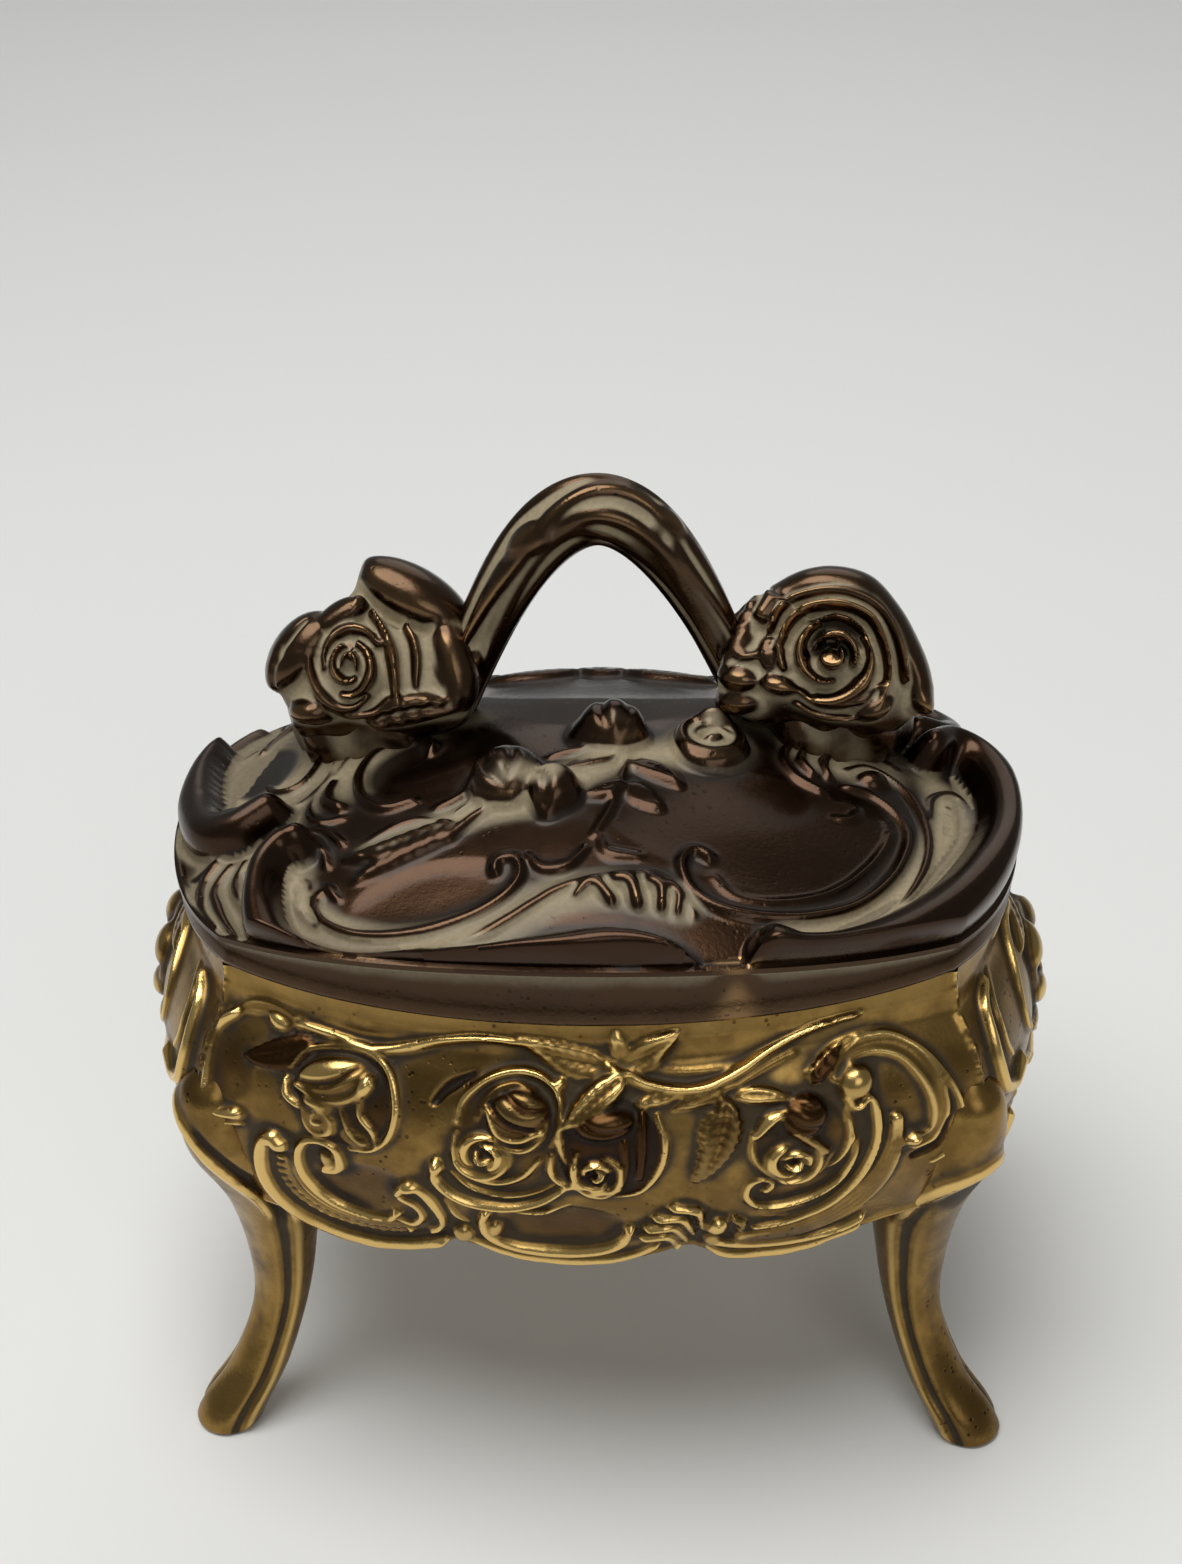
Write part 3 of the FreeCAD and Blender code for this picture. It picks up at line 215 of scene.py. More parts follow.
@dataclass(frozen=True)
class CastFinish:
    """Old cast metal: rubbed bright on its ridges with a painted highlight there, stained and given painted
    shade in its hollows, pitted and dusty.
    """

    name: str
    # colours: bright goes on the rubbed ridges, as worn metal and painted highlight; deep goes into hollows
    # and pits, as patina, painted shade and pitting
    bright: Colour
    plain: Colour
    stain: Colour
    umber: Colour
    deep: Colour
    dust: Colour
    rub_highlight_from: float
    rub_highlight_to: float
    rub_highlight_share: float
    dust_share: float
    stain_from: float
    sheen_rough: float
    coat: float
    coat_rough: float = 0.1
    # cells in a metre of each pattern
    cloud_scale: float = 55.0
    mottle_scale: float = 240.0
    fine_scale: float = 1600.0
    pit_scale: float = 700.0
    # where and how strongly each layer shows
    patina_gain: float = 1.4
    rub_highlight_mottle: float = 0.3
    hollow_mottle: float = 0.2
    hollow_step: Point = (0.03, 0.42)
    hollow_patina_and_shade_share: float = 0.85
    stain_cloud: float = 0.6
    stain_width: float = 0.22
    stain_share: float = 0.7
    pit_step: Point = (0.12, 0.24)
    pit_area: Point = (0.48, 0.62)
    pit_share: float = 0.8
    powder_even: float = 0.55
    # what each layer adds to the roughness, takes from the metal and adds to the relief
    mottle_rough: float = 0.16
    hollow_rough: float = 0.22
    powder_rough: float = 0.3
    rub_gloss: float = 0.08
    powder_dull: float = 0.95
    hollow_dull: float = 0.25
    fine_bump: float = 0.5
    mottle_bump: float = 0.7
    pit_bump: float = 1.2
    bump_strength: float = 0.22
    bump_depth: float = 0.00025

    def material(self) -> Finish:
        """Builds the finish.

        Returns:
            The material, which reads the piece's painted ridge and stain values.
        """
        board = Board(self.name)
        ridge = board.mark("ridge")
        patina = (board.mark("stain") * self.patina_gain).least(1.0)
        cloud = board.grain(self.cloud_scale, 4.0)
        mottle = board.grain(self.mottle_scale, 4.0, 0.6)
        fine = board.grain(self.fine_scale, 3.0, 0.6)
        uneven = mottle - 0.5
        # rubbed ridges: worn metal, and also a painted highlight on the crests
        rub_and_highlight = (ridge + uneven * self.rub_highlight_mottle).step(self.rub_highlight_from, self.rub_highlight_to) * (1.0 - patina)
        hollow = (ridge * -1.0 + uneven * self.hollow_mottle).step(*self.hollow_step)
        old = cloud * self.stain_cloud + mottle * (1 - self.stain_cloud)
        old = old.step(self.stain_from, self.stain_from + self.stain_width)
        pit_cells = board.node(
            "ShaderNodeTexVoronoi",
            {"feature": "F1"},
            {"Vector": board.spot(), "Scale": self.pit_scale, "Randomness": 1.0},
        )
        pits = (1.0 - pit_cells.step(*self.pit_step)) * cloud.step(*self.pit_area)
        tone = board.blend(old * self.stain_share, self.plain, self.stain)
        tone = board.blend(patina, tone, self.umber)
        # hollows take the deep colour: patina in the recesses plus painted shade where the relief would
        # shadow them
        tone = board.blend(hollow * self.hollow_patina_and_shade_share, tone, self.deep)
        tone = board.blend(pits * self.pit_share, tone, self.deep)
        # the bright colour laid on the ridges is worn metal plus a painted highlight
        tone = board.blend(rub_and_highlight * self.rub_highlight_share, tone, self.bright)
        speckle = self.powder_even + (1 - self.powder_even) * fine
        powder = hollow * speckle * (1.0 - patina) * self.dust_share
        tone = board.blend(powder, tone, self.dust)
        rough = self.sheen_rough + mottle * self.mottle_rough + hollow * self.hollow_rough
        rough = rough + powder * self.powder_rough - rub_and_highlight * self.rub_gloss
        height = fine * self.fine_bump + mottle * self.mottle_bump - pits * self.pit_bump
        return board.close(
            {
                "Base Color": tone,
                "Metallic": 1.0 - powder * self.powder_dull - hollow * self.hollow_dull,
                "Roughness": rough,
                "Coat Weight": (1.0 - powder) * self.coat,
                "Coat Roughness": self.coat_rough,
                "Normal": board.bump(self.bump_strength, self.bump_depth, height),
            }
        )


@dataclass(frozen=True)
class SheetFinish:
    """Plain rolled brass, drawn along its length and dulled with age."""

    name: str
    metal: Colour
    tarnish: Colour
    roughness: float
    cloud_scale: float = 120.0
    streaks: Spot = (40.0, 2600.0, 2600.0)
    tarnish_step: Point = (0.4, 0.7)
    tarnish_share: float = 0.8
    streak_rough: float = 0.15
    cloud_rough: float = 0.1
    bump_strength: float = 0.12
    bump_depth: float = 0.0001

    def material(self) -> Finish:
        """Builds the finish.

        Returns:
            The material.
        """
        board = Board(self.name)
        cloud = board.grain(self.cloud_scale, 4.0)
        streak = board.stretched(self.streaks)
        tarnished = cloud.step(*self.tarnish_step) * self.tarnish_share
        return board.close(
            {
                "Base Color": board.blend(tarnished, self.metal, self.tarnish),
                "Metallic": 1.0,
                "Roughness": self.roughness + streak * self.streak_rough + cloud * self.cloud_rough,
                "Normal": board.bump(self.bump_strength, self.bump_depth, streak + cloud),
            }
        )


@dataclass(frozen=True)
class SatinFinish:
    """Aged satin: fine threads, a soft sheen and faint foxing."""

    name: str
    cloth: Colour
    shade: Colour
    threads: float
    slub: float = 0.2
    cloud_scale: float = 45.0
    foxing_step: Point = (0.35, 0.75)
    foxing_share: float = 0.6
    roughness: float = 0.42
    weave_share: float = 0.15
    sheen: float = 0.35
    bump_strength: float = 0.2
    bump_depth: float = 0.0001

    def material(self) -> Finish:
        """Builds the finish.

        Returns:
            The material.
        """
        board = Board(self.name)
        cloud = board.grain(self.cloud_scale, 4.0)
        weave = board.stretched((self.threads, self.threads * self.slub, self.threads))
        foxed = cloud.step(*self.foxing_step) * self.foxing_share + weave * self.weave_share
        return board.close(
            {
                "Base Color": board.blend(foxed, self.cloth, self.shade),
                "Roughness": self.roughness + weave * self.weave_share,
                "Sheen Weight": self.sheen,
                "Sheen Roughness": self.sheen,
                "Normal": board.bump(self.bump_strength, self.bump_depth, weave),
            }
        )


GILT = CastFinish(
    name="gilt_casting",
    bright=(0.82, 0.56, 0.20),
    plain=(0.31, 0.19, 0.056),
    stain=(0.105, 0.058, 0.018),
    umber=(0.058, 0.027, 0.010),
    deep=(0.014, 0.009, 0.006),
    dust=(0.055, 0.042, 0.020),
    rub_highlight_from=0.14,
    rub_highlight_to=0.60,
    rub_highlight_share=0.85,
    dust_share=0.3,
    stain_from=0.37,
    sheen_rough=0.20,
    coat=0.0,
)
BRONZED = CastFinish(
    name="bronzed_casting",
    bright=(0.34, 0.20, 0.085),
    plain=(0.068, 0.038, 0.019),
    stain=(0.050, 0.030, 0.018),
    umber=(0.040, 0.020, 0.010),
    deep=(0.020, 0.014, 0.010),
    dust=(0.41, 0.335, 0.205),
    rub_highlight_from=0.24,
    rub_highlight_to=0.85,
    rub_highlight_share=0.55,
    dust_share=0.92,
    stain_from=0.46,
    sheen_rough=0.17,
    coat=0.18,
)
BOTTOM_SHEET = SheetFinish("bottom_sheet", (0.42, 0.30, 0.13), (0.16, 0.10, 0.05), 0.36)
HINGE_BRASS = SheetFinish("hinge_brass", (0.55, 0.39, 0.16), (0.20, 0.13, 0.06), 0.28)
SATIN = SatinFinish("satin", (0.74, 0.64, 0.50), (0.56, 0.44, 0.30), 9000.0)


# Ornament drawn on a sheet


class Section(Enum):
    """Cross section of a drawn line of ornament."""

    ROUND = "round"
    CREST = "crest"
    BAND = "band"
    CHANNEL = "channel"
    RIBBED = "ribbed"
    HOLED = "holed"
    GROOVE = "groove"


ROUND, CREST, BAND, CHANNEL, RIBBED, HOLED, GROOVE = Section


def through(points: Sequence[Point], per_span: int = 9) -> Array:
    """Smooth line through points.

    Args:
        points: Places in order.
        per_span: Samples from one place to the next.

    Returns:
        Samples as rows of two.
    """
    line = np.array(points, float)
    if len(line) == 2:
        shares = np.linspace(0, 1, per_span + 1)[:, None]
        return line[0] + shares * (line[1] - line[0])
    ends = np.vstack([2 * line[0] - line[1], line, 2 * line[-1] - line[-2]])
    t = np.linspace(0, 1, per_span, endpoint=False)[:, None]
    spans = []
    for p0, p1, p2, p3 in zip(ends[:-3], ends[1:-2], ends[2:-1], ends[3:]):
        spans.append(
            p1
            + 0.5 * t * (p2 - p0)
            + t**2 * (p0 - 2.5 * p1 + 2 * p2 - 0.5 * p3)
            + 0.5 * t**3 * (3 * p1 - p0 - 3 * p2 + p3)
        )
    return np.vstack(spans + [line[-1:]])


def spread_out(values: Array, reach: int) -> Array:
    """Box blur, twice each way.

    Args:
        values: Rows and columns of values.
        reach: Cells to each side.

    Returns:
        The blurred values.
    """
    for axis in (0, 1, 0, 1):
        width = [(0, 0), (0, 0)]
        width[axis] = (reach + 1, reach)
        total = np.cumsum(np.pad(values, width, mode="edge"), axis=axis)
        high = np.take(total, range(2 * reach + 1, total.shape[axis]), axis=axis)
        low = np.take(total, range(0, total.shape[axis] - 2 * reach - 1), axis=axis)
        values = (high - low) / (2 * reach + 1)
    return values


def smooth_share(value: Array, low: float, high: float) -> Array:
    """Smooth step from 0 at low to 1 at high."""
    t = np.clip((value - low) / (high - low), 0.0, 1.0)
    return t * t * (3 - 2 * t)


def swelling(value: Array, middle: float, half: float) -> Array:
    """Bell curve of height 1 round a middle."""
    return np.exp(-(((value - middle) / half) ** 2))


@dataclass
class Relief:
    """Raised ornament over a sheet: its height in millimetres and how far it is stained."""

    across: Array
    along: Array
    height: Array = field(init=False)
    stain: Array = field(init=False)

    def __post_init__(self) -> None:
        """Starts flat and clean."""
        self.height = np.zeros_like(self.across)
        self.stain = np.zeros_like(self.across)

    def near(self, low: Array, high: Array) -> tuple[Array, Array]:
        """Cells inside a box of the sheet."""
        across = (self.across > low[0]) & (self.across < high[0])
        return np.nonzero(across & (self.along > low[1]) & (self.along < high[1]))

    def raise_to(self, cells: tuple[Array, Array], height: Array, inside: Array, dark: float) -> None:
        """Lifts cells to a height where they lie lower.

        Args:
            cells: Row and column numbers.
            height: Height for each cell.
            inside: Which of the cells belong to the shape.
            dark: Stain on the shape.
        """
        old = self.height[cells]
        self.height[cells] = np.where(inside, np.maximum(old, height), old)
        shade = self.stain[cells]
        self.stain[cells] = np.where(inside & (height >= old), dark, shade)

    def sink(self, cells: tuple[Array, Array], depth: Array, inside: Array, dark: Array | float) -> None:
        """Lowers cells and stains them where they are cleaner.

        Args:
            cells: Row and column numbers.
            depth: Depth for each cell.
            inside: Which of the cells belong to the shape.
            dark: Stain on the shape.
        """
        self.height[cells] -= np.where(inside, depth, 0.0)
        shade = self.stain[cells]
        self.stain[cells] = np.where(inside, np.maximum(shade, dark), shade)

    def draw(self, shapes: Sequence["Shape"]) -> None:
        """Draws shapes in order."""
        for shape in shapes:
            shape.draw(self)

    def ridges(self, reach: int, depth: float) -> Array:
        """How far each cell stands above its surroundings.

        Args:
            reach: Cells round it that count.
            depth: Height in millimetres that counts as 1.

        Returns:
            Values from -1 to 1.
        """
        wide = self.height - spread_out(self.height, reach)
        tight = self.height - spread_out(self.height, max(1, reach // 3))
        return np.clip((wide + tight) / depth, -1.0, 1.0)


class Shape(ABC):
    """One piece of ornament."""

    @abstractmethod
    def draw(self, relief: Relief) -> None:
        """Draws itself on a relief."""


@dataclass(frozen=True)
class Stroke(Shape):
    """A drawn line of ornament, such as a scroll, stem, rib or groove."""

    points: Sequence[Point]
    half: float
    rise: float
    ends: Point = (0.4, 0.4)
    section: Section = CREST
    base: float = 0.0
    dark: float = 0.0
    count: int = 3
    hole: float = 0.62

    def draw(self, relief: Relief) -> None:
        """Draws the line.

        Args:
            relief: The relief to draw on.
        """
        path = through(self.points)
        cells = relief.near(path.min(0) - self.half, path.max(0) + self.half)
        spot = np.stack([relief.across[cells], relief.along[cells]], axis=1)
        steps = np.diff(path, axis=0)
        lengths = np.hypot(steps[:, 0], steps[:, 1])
        starts = np.concatenate([[0.0], np.cumsum(lengths)])
        gap = np.full(len(spot), np.inf)
        place = np.zeros(len(spot))
        side = np.zeros(len(spot))
        for start, step, length, run in zip(path, steps, lengths, starts):
            if length < TINY:
                continue
            away = spot - start
            share = np.clip((away @ step) / length**2, 0.0, 1.0)
            off = away - share[:, None] * step
            distance = np.hypot(off[:, 0], off[:, 1])
            closer = distance < gap
            gap[closer] = distance[closer]
            place[closer] = run + share[closer] * length
            side[closer] = np.sign(step[0] * away[closer, 1] - step[1] * away[closer, 0])
        taper = (self.ends[0], 1.0, self.ends[1])
        width = self.half * np.interp(place / starts[-1], (0.0, 0.5, 1.0), taper)
        q = gap / np.maximum(width, TINY)
        inside = q < 1.0
        q = np.minimum(q, 1.0)
        if self.section is GROOVE:
            relief.sink(cells, self.rise * (1 - q**2), inside, self.dark)
            return
        height = self.base + self.rise * self._profile(q, side, place, gap)
        relief.raise_to(cells, height, inside, self.dark)

    def _profile(self, q: Array, side: Array, place: Array, gap: Array) -> Array:
        """Height share across the line.

        Args:
            q: Distance from the middle as a share of the half width.
            side: Which side of the middle.
            place: Millimetres along the line.
            gap: Millimetres from the middle.

        Returns:
            Shares from 0 to 1.
        """
        if self.section is CREST:
            return 1 - q**1.4
        if self.section is BAND:
            return 1 - q**6
        if self.section is CHANNEL:
            return (0.35 + 0.65 * q**2) * (1 - q**8)
        if self.section is RIBBED:
            return (1 - q**8) * (0.45 + 0.55 * np.abs(np.sin(math.pi * self.count * (side * q + 1) / 2)))
        if self.section is HOLED:
            pitch = place.max() / self.count
            off = (place / pitch - np.floor(place / pitch) - 0.5) * pitch
            hole = np.hypot(off, gap) < self.hole * self.half
            return np.where(hole, 0.05, 1 - q**6)
        return np.sqrt(1 - q**2)


@dataclass(frozen=True)
class Lobe(Shape):
    """An oval swelling, bowl or sunk field."""

    centre: Point
    radii: Point
    rise: float
    turn: float = 0.0
    bowl: bool = False
    base: float = 0.0
    dark: float = 0.0

    def draw(self, relief: Relief) -> None:
        """Draws the oval.

        Args:
            relief: The relief to draw on.
        """
        middle = np.array(self.centre)
        reach = max(self.radii)
        cells = relief.near(middle - reach, middle + reach)
        x = relief.across[cells] - middle[0]
        y = relief.along[cells] - middle[1]
        c, s = math.cos(math.radians(self.turn)), math.sin(math.radians(self.turn))
        q = np.hypot((x * c + y * s) / self.radii[0], (y * c - x * s) / self.radii[1])
        inside = q < 1.0
        q = np.minimum(q, 1.0)
        if self.rise < 0:
            relief.sink(cells, -self.rise * (1 - q**4), inside, self.dark * (1 - q**6))
            return
        share = (0.3 + 0.7 * q**2) * np.sqrt(1 - q**10) if self.bowl else np.sqrt(1 - q**2)
        relief.raise_to(cells, self.base + self.rise * share, inside, self.dark)


@dataclass(frozen=True)
class Leaf(Shape):
    """A veined leaf from its base to its tip."""

    base_point: Point
    tip: Point
    half: float
    rise: float
    bend: float = 0.0
    veins: int = 7
    teeth: float = 0.12
    base: float = 0.0
    dark: float = 0.0
    vein_depth: float = 0.22
    rib_depth: float = 0.35
    rib_half: float = 0.28

    def draw(self, relief: Relief) -> None:
        """Draws the leaf.

        Args:
            relief: The relief to draw on.
        """
        start, end = np.array(self.base_point), np.array(self.tip)
        length = float(np.hypot(*(end - start)))
        axis = (end - start) / length
        room = self.half + abs(self.bend)
        cells = relief.near(np.minimum(start, end) - room, np.maximum(start, end) + room)
        x = relief.across[cells] - start[0]
        y = relief.along[cells] - start[1]
        s = (x * axis[0] + y * axis[1]) / length
        d = y * axis[0] - x * axis[1] - self.bend * 4 * s * (1 - s)
        t = np.clip(s, 1e-4, 1 - 1e-4)
        teeth = 1 - self.teeth * np.abs(np.sin(math.pi * self.veins * t))
        width = self.half * np.sin(math.pi * t**0.72) ** 0.8 * teeth
        q = np.abs(d) / np.maximum(width, TINY)
        inside = (s > 0) & (s < 1) & (q < 1)
        q = np.minimum(q, 1.0)
        slant = t * self.veins - np.abs(d) / length * self.veins * 0.9
        vein = 0.5 + 0.5 * np.cos(2 * math.pi * slant)
        body = 0.55 + 0.45 * np.sqrt(1 - q**2) - self.vein_depth * vein * (1 - q**4)
        share = (body - self.rib_depth * swelling(d, 0.0, self.rib_half)) * (1 - q**12)
        relief.raise_to(cells, self.base + self.rise * share, inside, self.dark)


@dataclass(frozen=True)
class Whorl(Shape):
    """The rolled heart of a rose: one petal edge winding in to an eye."""

    centre: Point
    radius: float
    rise: float
    turns: float = 2.2
    phase: float = 0.0
    base: float = 0.0
    dark: float = 0.0

    def draw(self, relief: Relief) -> None:
        """Draws the whorl.

        Args:
            relief: The relief to draw on.
        """
        middle = np.array(self.centre)
        cells = relief.near(middle - self.radius, middle + self.radius)
        x = relief.across[cells] - middle[0]
        y = relief.along[cells] - middle[1]
        q = np.hypot(x, y) / self.radius
        inside = q < 1.0
        q = np.minimum(q, 1.0)
        swing = np.arctan2(y, x) / (2 * math.pi) + math.radians(self.phase)
        wind = (q**0.8 * self.turns + swing) % 1.0
        edge = 0.45 + 0.55 * wind**2.2
        share = edge * (1 - q**8) * (1 - 0.25 * q)
        relief.raise_to(cells, self.base + self.rise * share, inside, self.dark)


@dataclass(frozen=True)
class RolledHeart(Shape):
    """The rolled petals in the middle of a rose, each a curl that starts behind the one before."""

    centre: Point
    reach: Point
    count: int
    turn: float
    drawn_half: float = 4.9
    turn_step: float = 137.5
    sweep: Point = (225.0, 85.0)
    swell: Point = (1.10, 0.26)
    half: Point = (0.62, 0.5)
    rise: Point = (3.7, 1.5)
    ends: Point = (0.5, 0.3)
    steps: int = 7

    def draw(self, relief: Relief) -> None:
        """Draws the curls, outermost first.

        Args:
            relief: The relief to draw on.
        """
        scale = self.reach[0] / self.drawn_half
        for number in range(self.count, 0, -1):
            share = number / self.count
            start = math.radians(self.turn + self.turn_step * number)
            sweep = math.radians(self.sweep[0] - self.sweep[1] * share)
            points = []
            for step in range(self.steps + 1):
                angle = start + sweep * step / self.steps
                swell = share * (self.swell[0] - self.swell[1] * step / self.steps)
                across = self.centre[0] + self.reach[0] * swell * math.cos(angle)
                along = self.centre[1] + self.reach[1] * swell * math.sin(angle)
                points.append((across, along))
            half = (self.half[0] + self.half[1] * share) * scale
            rise = (self.rise[0] - self.rise[1] * share) * scale
            Stroke(points, half, rise, self.ends, ROUND).draw(relief)


def both_sides(left: Stroke) -> tuple[Stroke, Stroke]:
    """A line and its mirror image at the right."""
    return left, replace(left, points=tuple((-across, along) for across, along in left.points))


# Castings shaped from a grid


class Body(Enum):
    """Moving bodies of the casket."""

    BOX = "body"
    LID = "lid"


@dataclass
class Piece:
    """Where a finished mesh belongs."""

    node: str
    body: Body
    slot: str

    def deliver(self, bm: Mesh, material: Finish, sharp: float = 55.0) -> Thing:
        """Makes the mesh an object that stands for its node.

        Args:
            bm: Finished mesh in millimetres; it is freed.
            material: Its finish.
            sharp: Edges bent by more degrees than this stay sharp.

        Returns:
            The object.
        """
        bmesh.ops.scale(bm, vec=(MM, MM, MM), verts=bm.verts)
        mesh = bpy.data.meshes.new(f"{self.node}_look")
        bm.to_mesh(mesh)
        bm.free()
        mesh.shade_smooth()
        mesh.set_sharp_from_angle(angle=math.radians(sharp))
        mesh.materials.append(material)
        made = bpy.data.objects.new(f"{self.node}_look", mesh)
        bpy.context.scene.collection.objects.link(made)
        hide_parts(self.node)
        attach(made, self.body.value)
        LOG.info("%s: %d faces", made.name, len(mesh.polygons))
        return made


MARKS = ("a", "b", "lift", "ridge", "stain")
Placer = Callable[[Array, Array, Array], Array]


def marks(bm: Mesh) -> dict[str, Any]:
    """The mesh's layers of painted values by name, made where they are missing."""
    layers = bm.verts.layers.float
    return {name: layers.get(name) or layers.new(name) for name in MARKS}


def laid_grid(columns: int, rows: int) -> tuple[Mesh, Array, Array]:
    """A flat grid that remembers where each corner lies on it.

    Args:
        columns: Cells across.
        rows: Cells along.

    Returns:
        The mesh, and the place of each corner from -1 to 1 as rows and columns.
    """
    bm = bmesh.new()
    layers = marks(bm)
    bmesh.ops.create_grid(bm, x_segments=columns, y_segments=rows, size=1.0)
    bm.verts.ensure_lookup_table()
    for vert in bm.verts:
        vert[layers["a"]] = vert.co.x
        vert[layers["b"]] = vert.co.y
    a, b = np.meshgrid(np.linspace(-1, 1, columns + 1), np.linspace(-1, 1, rows + 1))
    return bm, a, b


def lay(bm: Mesh, points: Array, values: dict[str, Array]) -> None:
    """Puts a grid's corners in place and paints them.

    Args:
        bm: Mesh made by laid_grid.
        points: Places as rows, columns and three.
        values: Painted values as rows and columns.
    """
    layers = marks(bm)
    rows, columns = points.shape[:2]
    for vert in bm.verts:
        column = round((vert[layers["a"]] + 1) / 2 * (columns - 1))
        row = round((vert[layers["b"]] + 1) / 2 * (rows - 1))
        vert.co = points[row, column]
        for name, table in values.items():
            vert[layers[name]] = table[row, column]


def ring(bm: Mesh, edges: Edges, place: Placer, ridge: float = 0.0) -> Edges:
    """Draws open edges on by one row.

    Args:
        bm: The mesh.
        edges: Its open edges.
        place: Gives places from the corners' a, b and lift.
        ridge: Painted ridge value of the new row.

    Returns:
        The new open edges.
    """
    layers = marks(bm)
    made = bmesh.ops.extrude_edge_only(bm, edges=edges)["geom"]
    corners = [part for part in made if isinstance(part, bmesh.types.BMVert)]
    a, b, lift = (np.array([corner[layers[name]] for corner in corners]) for name in MARKS[:3])
    for corner, spot in zip(corners, place(a, b, lift)):
        corner.co = spot
        corner[layers["ridge"]] = ridge
    return [part for part in made if isinstance(part, bmesh.types.BMEdge) and part.is_boundary]


def shut(bm: Mesh, edges: Edges) -> None:
    """Draws an open loop together in one point.

    Args:
        bm: The mesh.
        edges: The loop.
    """
    corners = list({corner for edge in edges for corner in edge.verts})
    middle = sum((corner.co for corner in corners), Vector()) / len(corners)
    bmesh.ops.pointmerge(bm, verts=corners, merge_co=middle)


def close_behind(
    bm: Mesh,
    edges: Edges,
    scales: Sequence[float],
    place: Callable[[Array, Array], Array],
    ridge: float = 0.0,
) -> None:
    """Closes an open rim by rows that draw in to the middle.

    Args:
        bm: The mesh.
        edges: The rim.
        scales: Share of the way out of each row.
        place: Gives places from the corners' a and b.
        ridge: Painted ridge value of the rows.
    """
    for scale in scales:
        edges = ring(bm, edges, lambda a, b, lift, k=scale: place(a * k, b * k), ridge)
    shut(bm, edges)
    bmesh.ops.recalc_face_normals(bm, faces=bm.faces)


def close_tube(bm: Mesh) -> None:
    """Joins a wrapped grid along its seam and closes both its ends.

    Args:
        bm: A wrapped grid, open at its first and last row.
    """
    bmesh.ops.remove_doubles(bm, verts=bm.verts, dist=SEAM)
    row = marks(bm)["b"]
    edges = open_edges(bm)
    first = [edge for edge in edges if edge.verts[0][row] < 0]
    last = [edge for edge in edges if edge.verts[0][row] > 0]
    shut(bm, first)
    shut(bm, last)
    bmesh.ops.recalc_face_normals(bm, faces=bm.faces)


def open_edges(bm: Mesh) -> Edges:
    """Open edges of a mesh."""
    return [edge for edge in bm.edges if edge.is_boundary]


def matched(values: Array) -> Array:
    """Values of a wrapped grid, made equal along its seam.

    Args:
        values: Rows and columns of values.

    Returns:
        The values, whose first and last columns agree.
    """
    width = max(2, values.shape[1] // SEAM_PARTS)
    seam = (values[:, 0] + values[:, -1]) / 2
    for column in range(width):
        share = 1 - column / width
        values[:, column] += share * (seam - values[:, column])
        values[:, -1 - column] += share * (seam - values[:, -1 - column])
    return values


# The box


@dataclass(frozen=True)
class Belly:
    """Upright section of the walls: a cove under the seam, a round belly and a long tuck."""

    seam: float = 76.0
    widest: float = 57.0
    bulge: float = 7.2
    round_radius: float = 19.0
    tuck_radius: float = 38.0
    step: float = 0.01

    def offset(self, z: Array) -> Array:
        """How far the wall stands out past its top edge.

        Args:
            z: Heights.

        Returns:
            Offsets.
        """
        rise = self.seam - self.widest
        inner = self.round_radius - self.bulge
        cove = (rise**2 + inner**2 - self.round_radius**2) / (2 * self.bulge)
        meet = self.widest + self.round_radius * rise / (cove + self.round_radius)
        top = cove - np.sqrt(np.maximum(cove**2 - (self.seam - z) ** 2, 0.0))
        middle = np.sqrt(np.maximum(self.round_radius**2 - (z - self.widest) ** 2, 0.0)) - inner
        under = np.sqrt(np.maximum(self.tuck_radius**2 - (self.widest - z) ** 2, 0.0))
        low = self.bulge - self.tuck_radius + under
        return np.where(z > meet, top, np.where(z > self.widest, middle, low))

    def lean(self, z: Array) -> Array:
        """How fast the wall stands out with height."""
        return (self.offset(z + self.step) - self.offset(z - self.step)) / (2 * self.step)


@dataclass(frozen=True)
class Side:
    """Plan of one bowed side and the mitre at its ends."""

    turn: float
    radius: float
    reach: float
    corner_out: float
    corner_along: float
    out_rate: float
    along_rate: float
    belly: Belly = Belly()

    def place(self, a: Array, z: Array, lift: Array) -> Array:
        """Points on the wall or off it.

        Args:
            a: From -1 at the left mitre to 1 at the right one.
            z: Heights.
            lift: Distance off the wall's face.

        Returns:
            Points.
        """
        lean = self.belly.lean(z)
        norm = np.hypot(1.0, lean)
        out = self.belly.offset(z) + lift / norm
        height = z - lift * lean / norm
        theta = a * self.spread(out)
        radial = self.radius + out
        x = radial * np.cos(theta) - self.radius + self.reach
        y = radial * np.sin(theta)
        t = math.radians(self.turn)
        c, s = math.cos(t), math.sin(t)
        return np.stack([x * c - y * s, x * s + y * c, height], axis=-1)

    def spread(self, out: Array) -> Array:
        """Half angle of the bow at an offset, up to the mitre."""
        return np.arctan2(
            self.corner_along + self.along_rate * out,
            self.corner_out + self.out_rate * out - self.reach + self.radius,
        )

    def run(self, a: Array, z: Array) -> Array:
        """Millimetres along the bow."""
        return a * self.spread(self.belly.offset(z)) * self.radius


CORNER: Point = (46.0, 27.0)
MITRE: Point = (0.6985, 0.7669)
LONG = (101.68, 38.0, *reversed(CORNER), *reversed(MITRE))
SHORT = (50.63, 53.8, *CORNER, *MITRE)
FRONT = Side(-90.0, *LONG)
BACK = Side(90.0, *LONG)
RIGHT = Side(0.0, *SHORT)
LEFT = Side(180.0, *SHORT)
LONG_ARC = 48.6
SHORT_ARC = 29.4

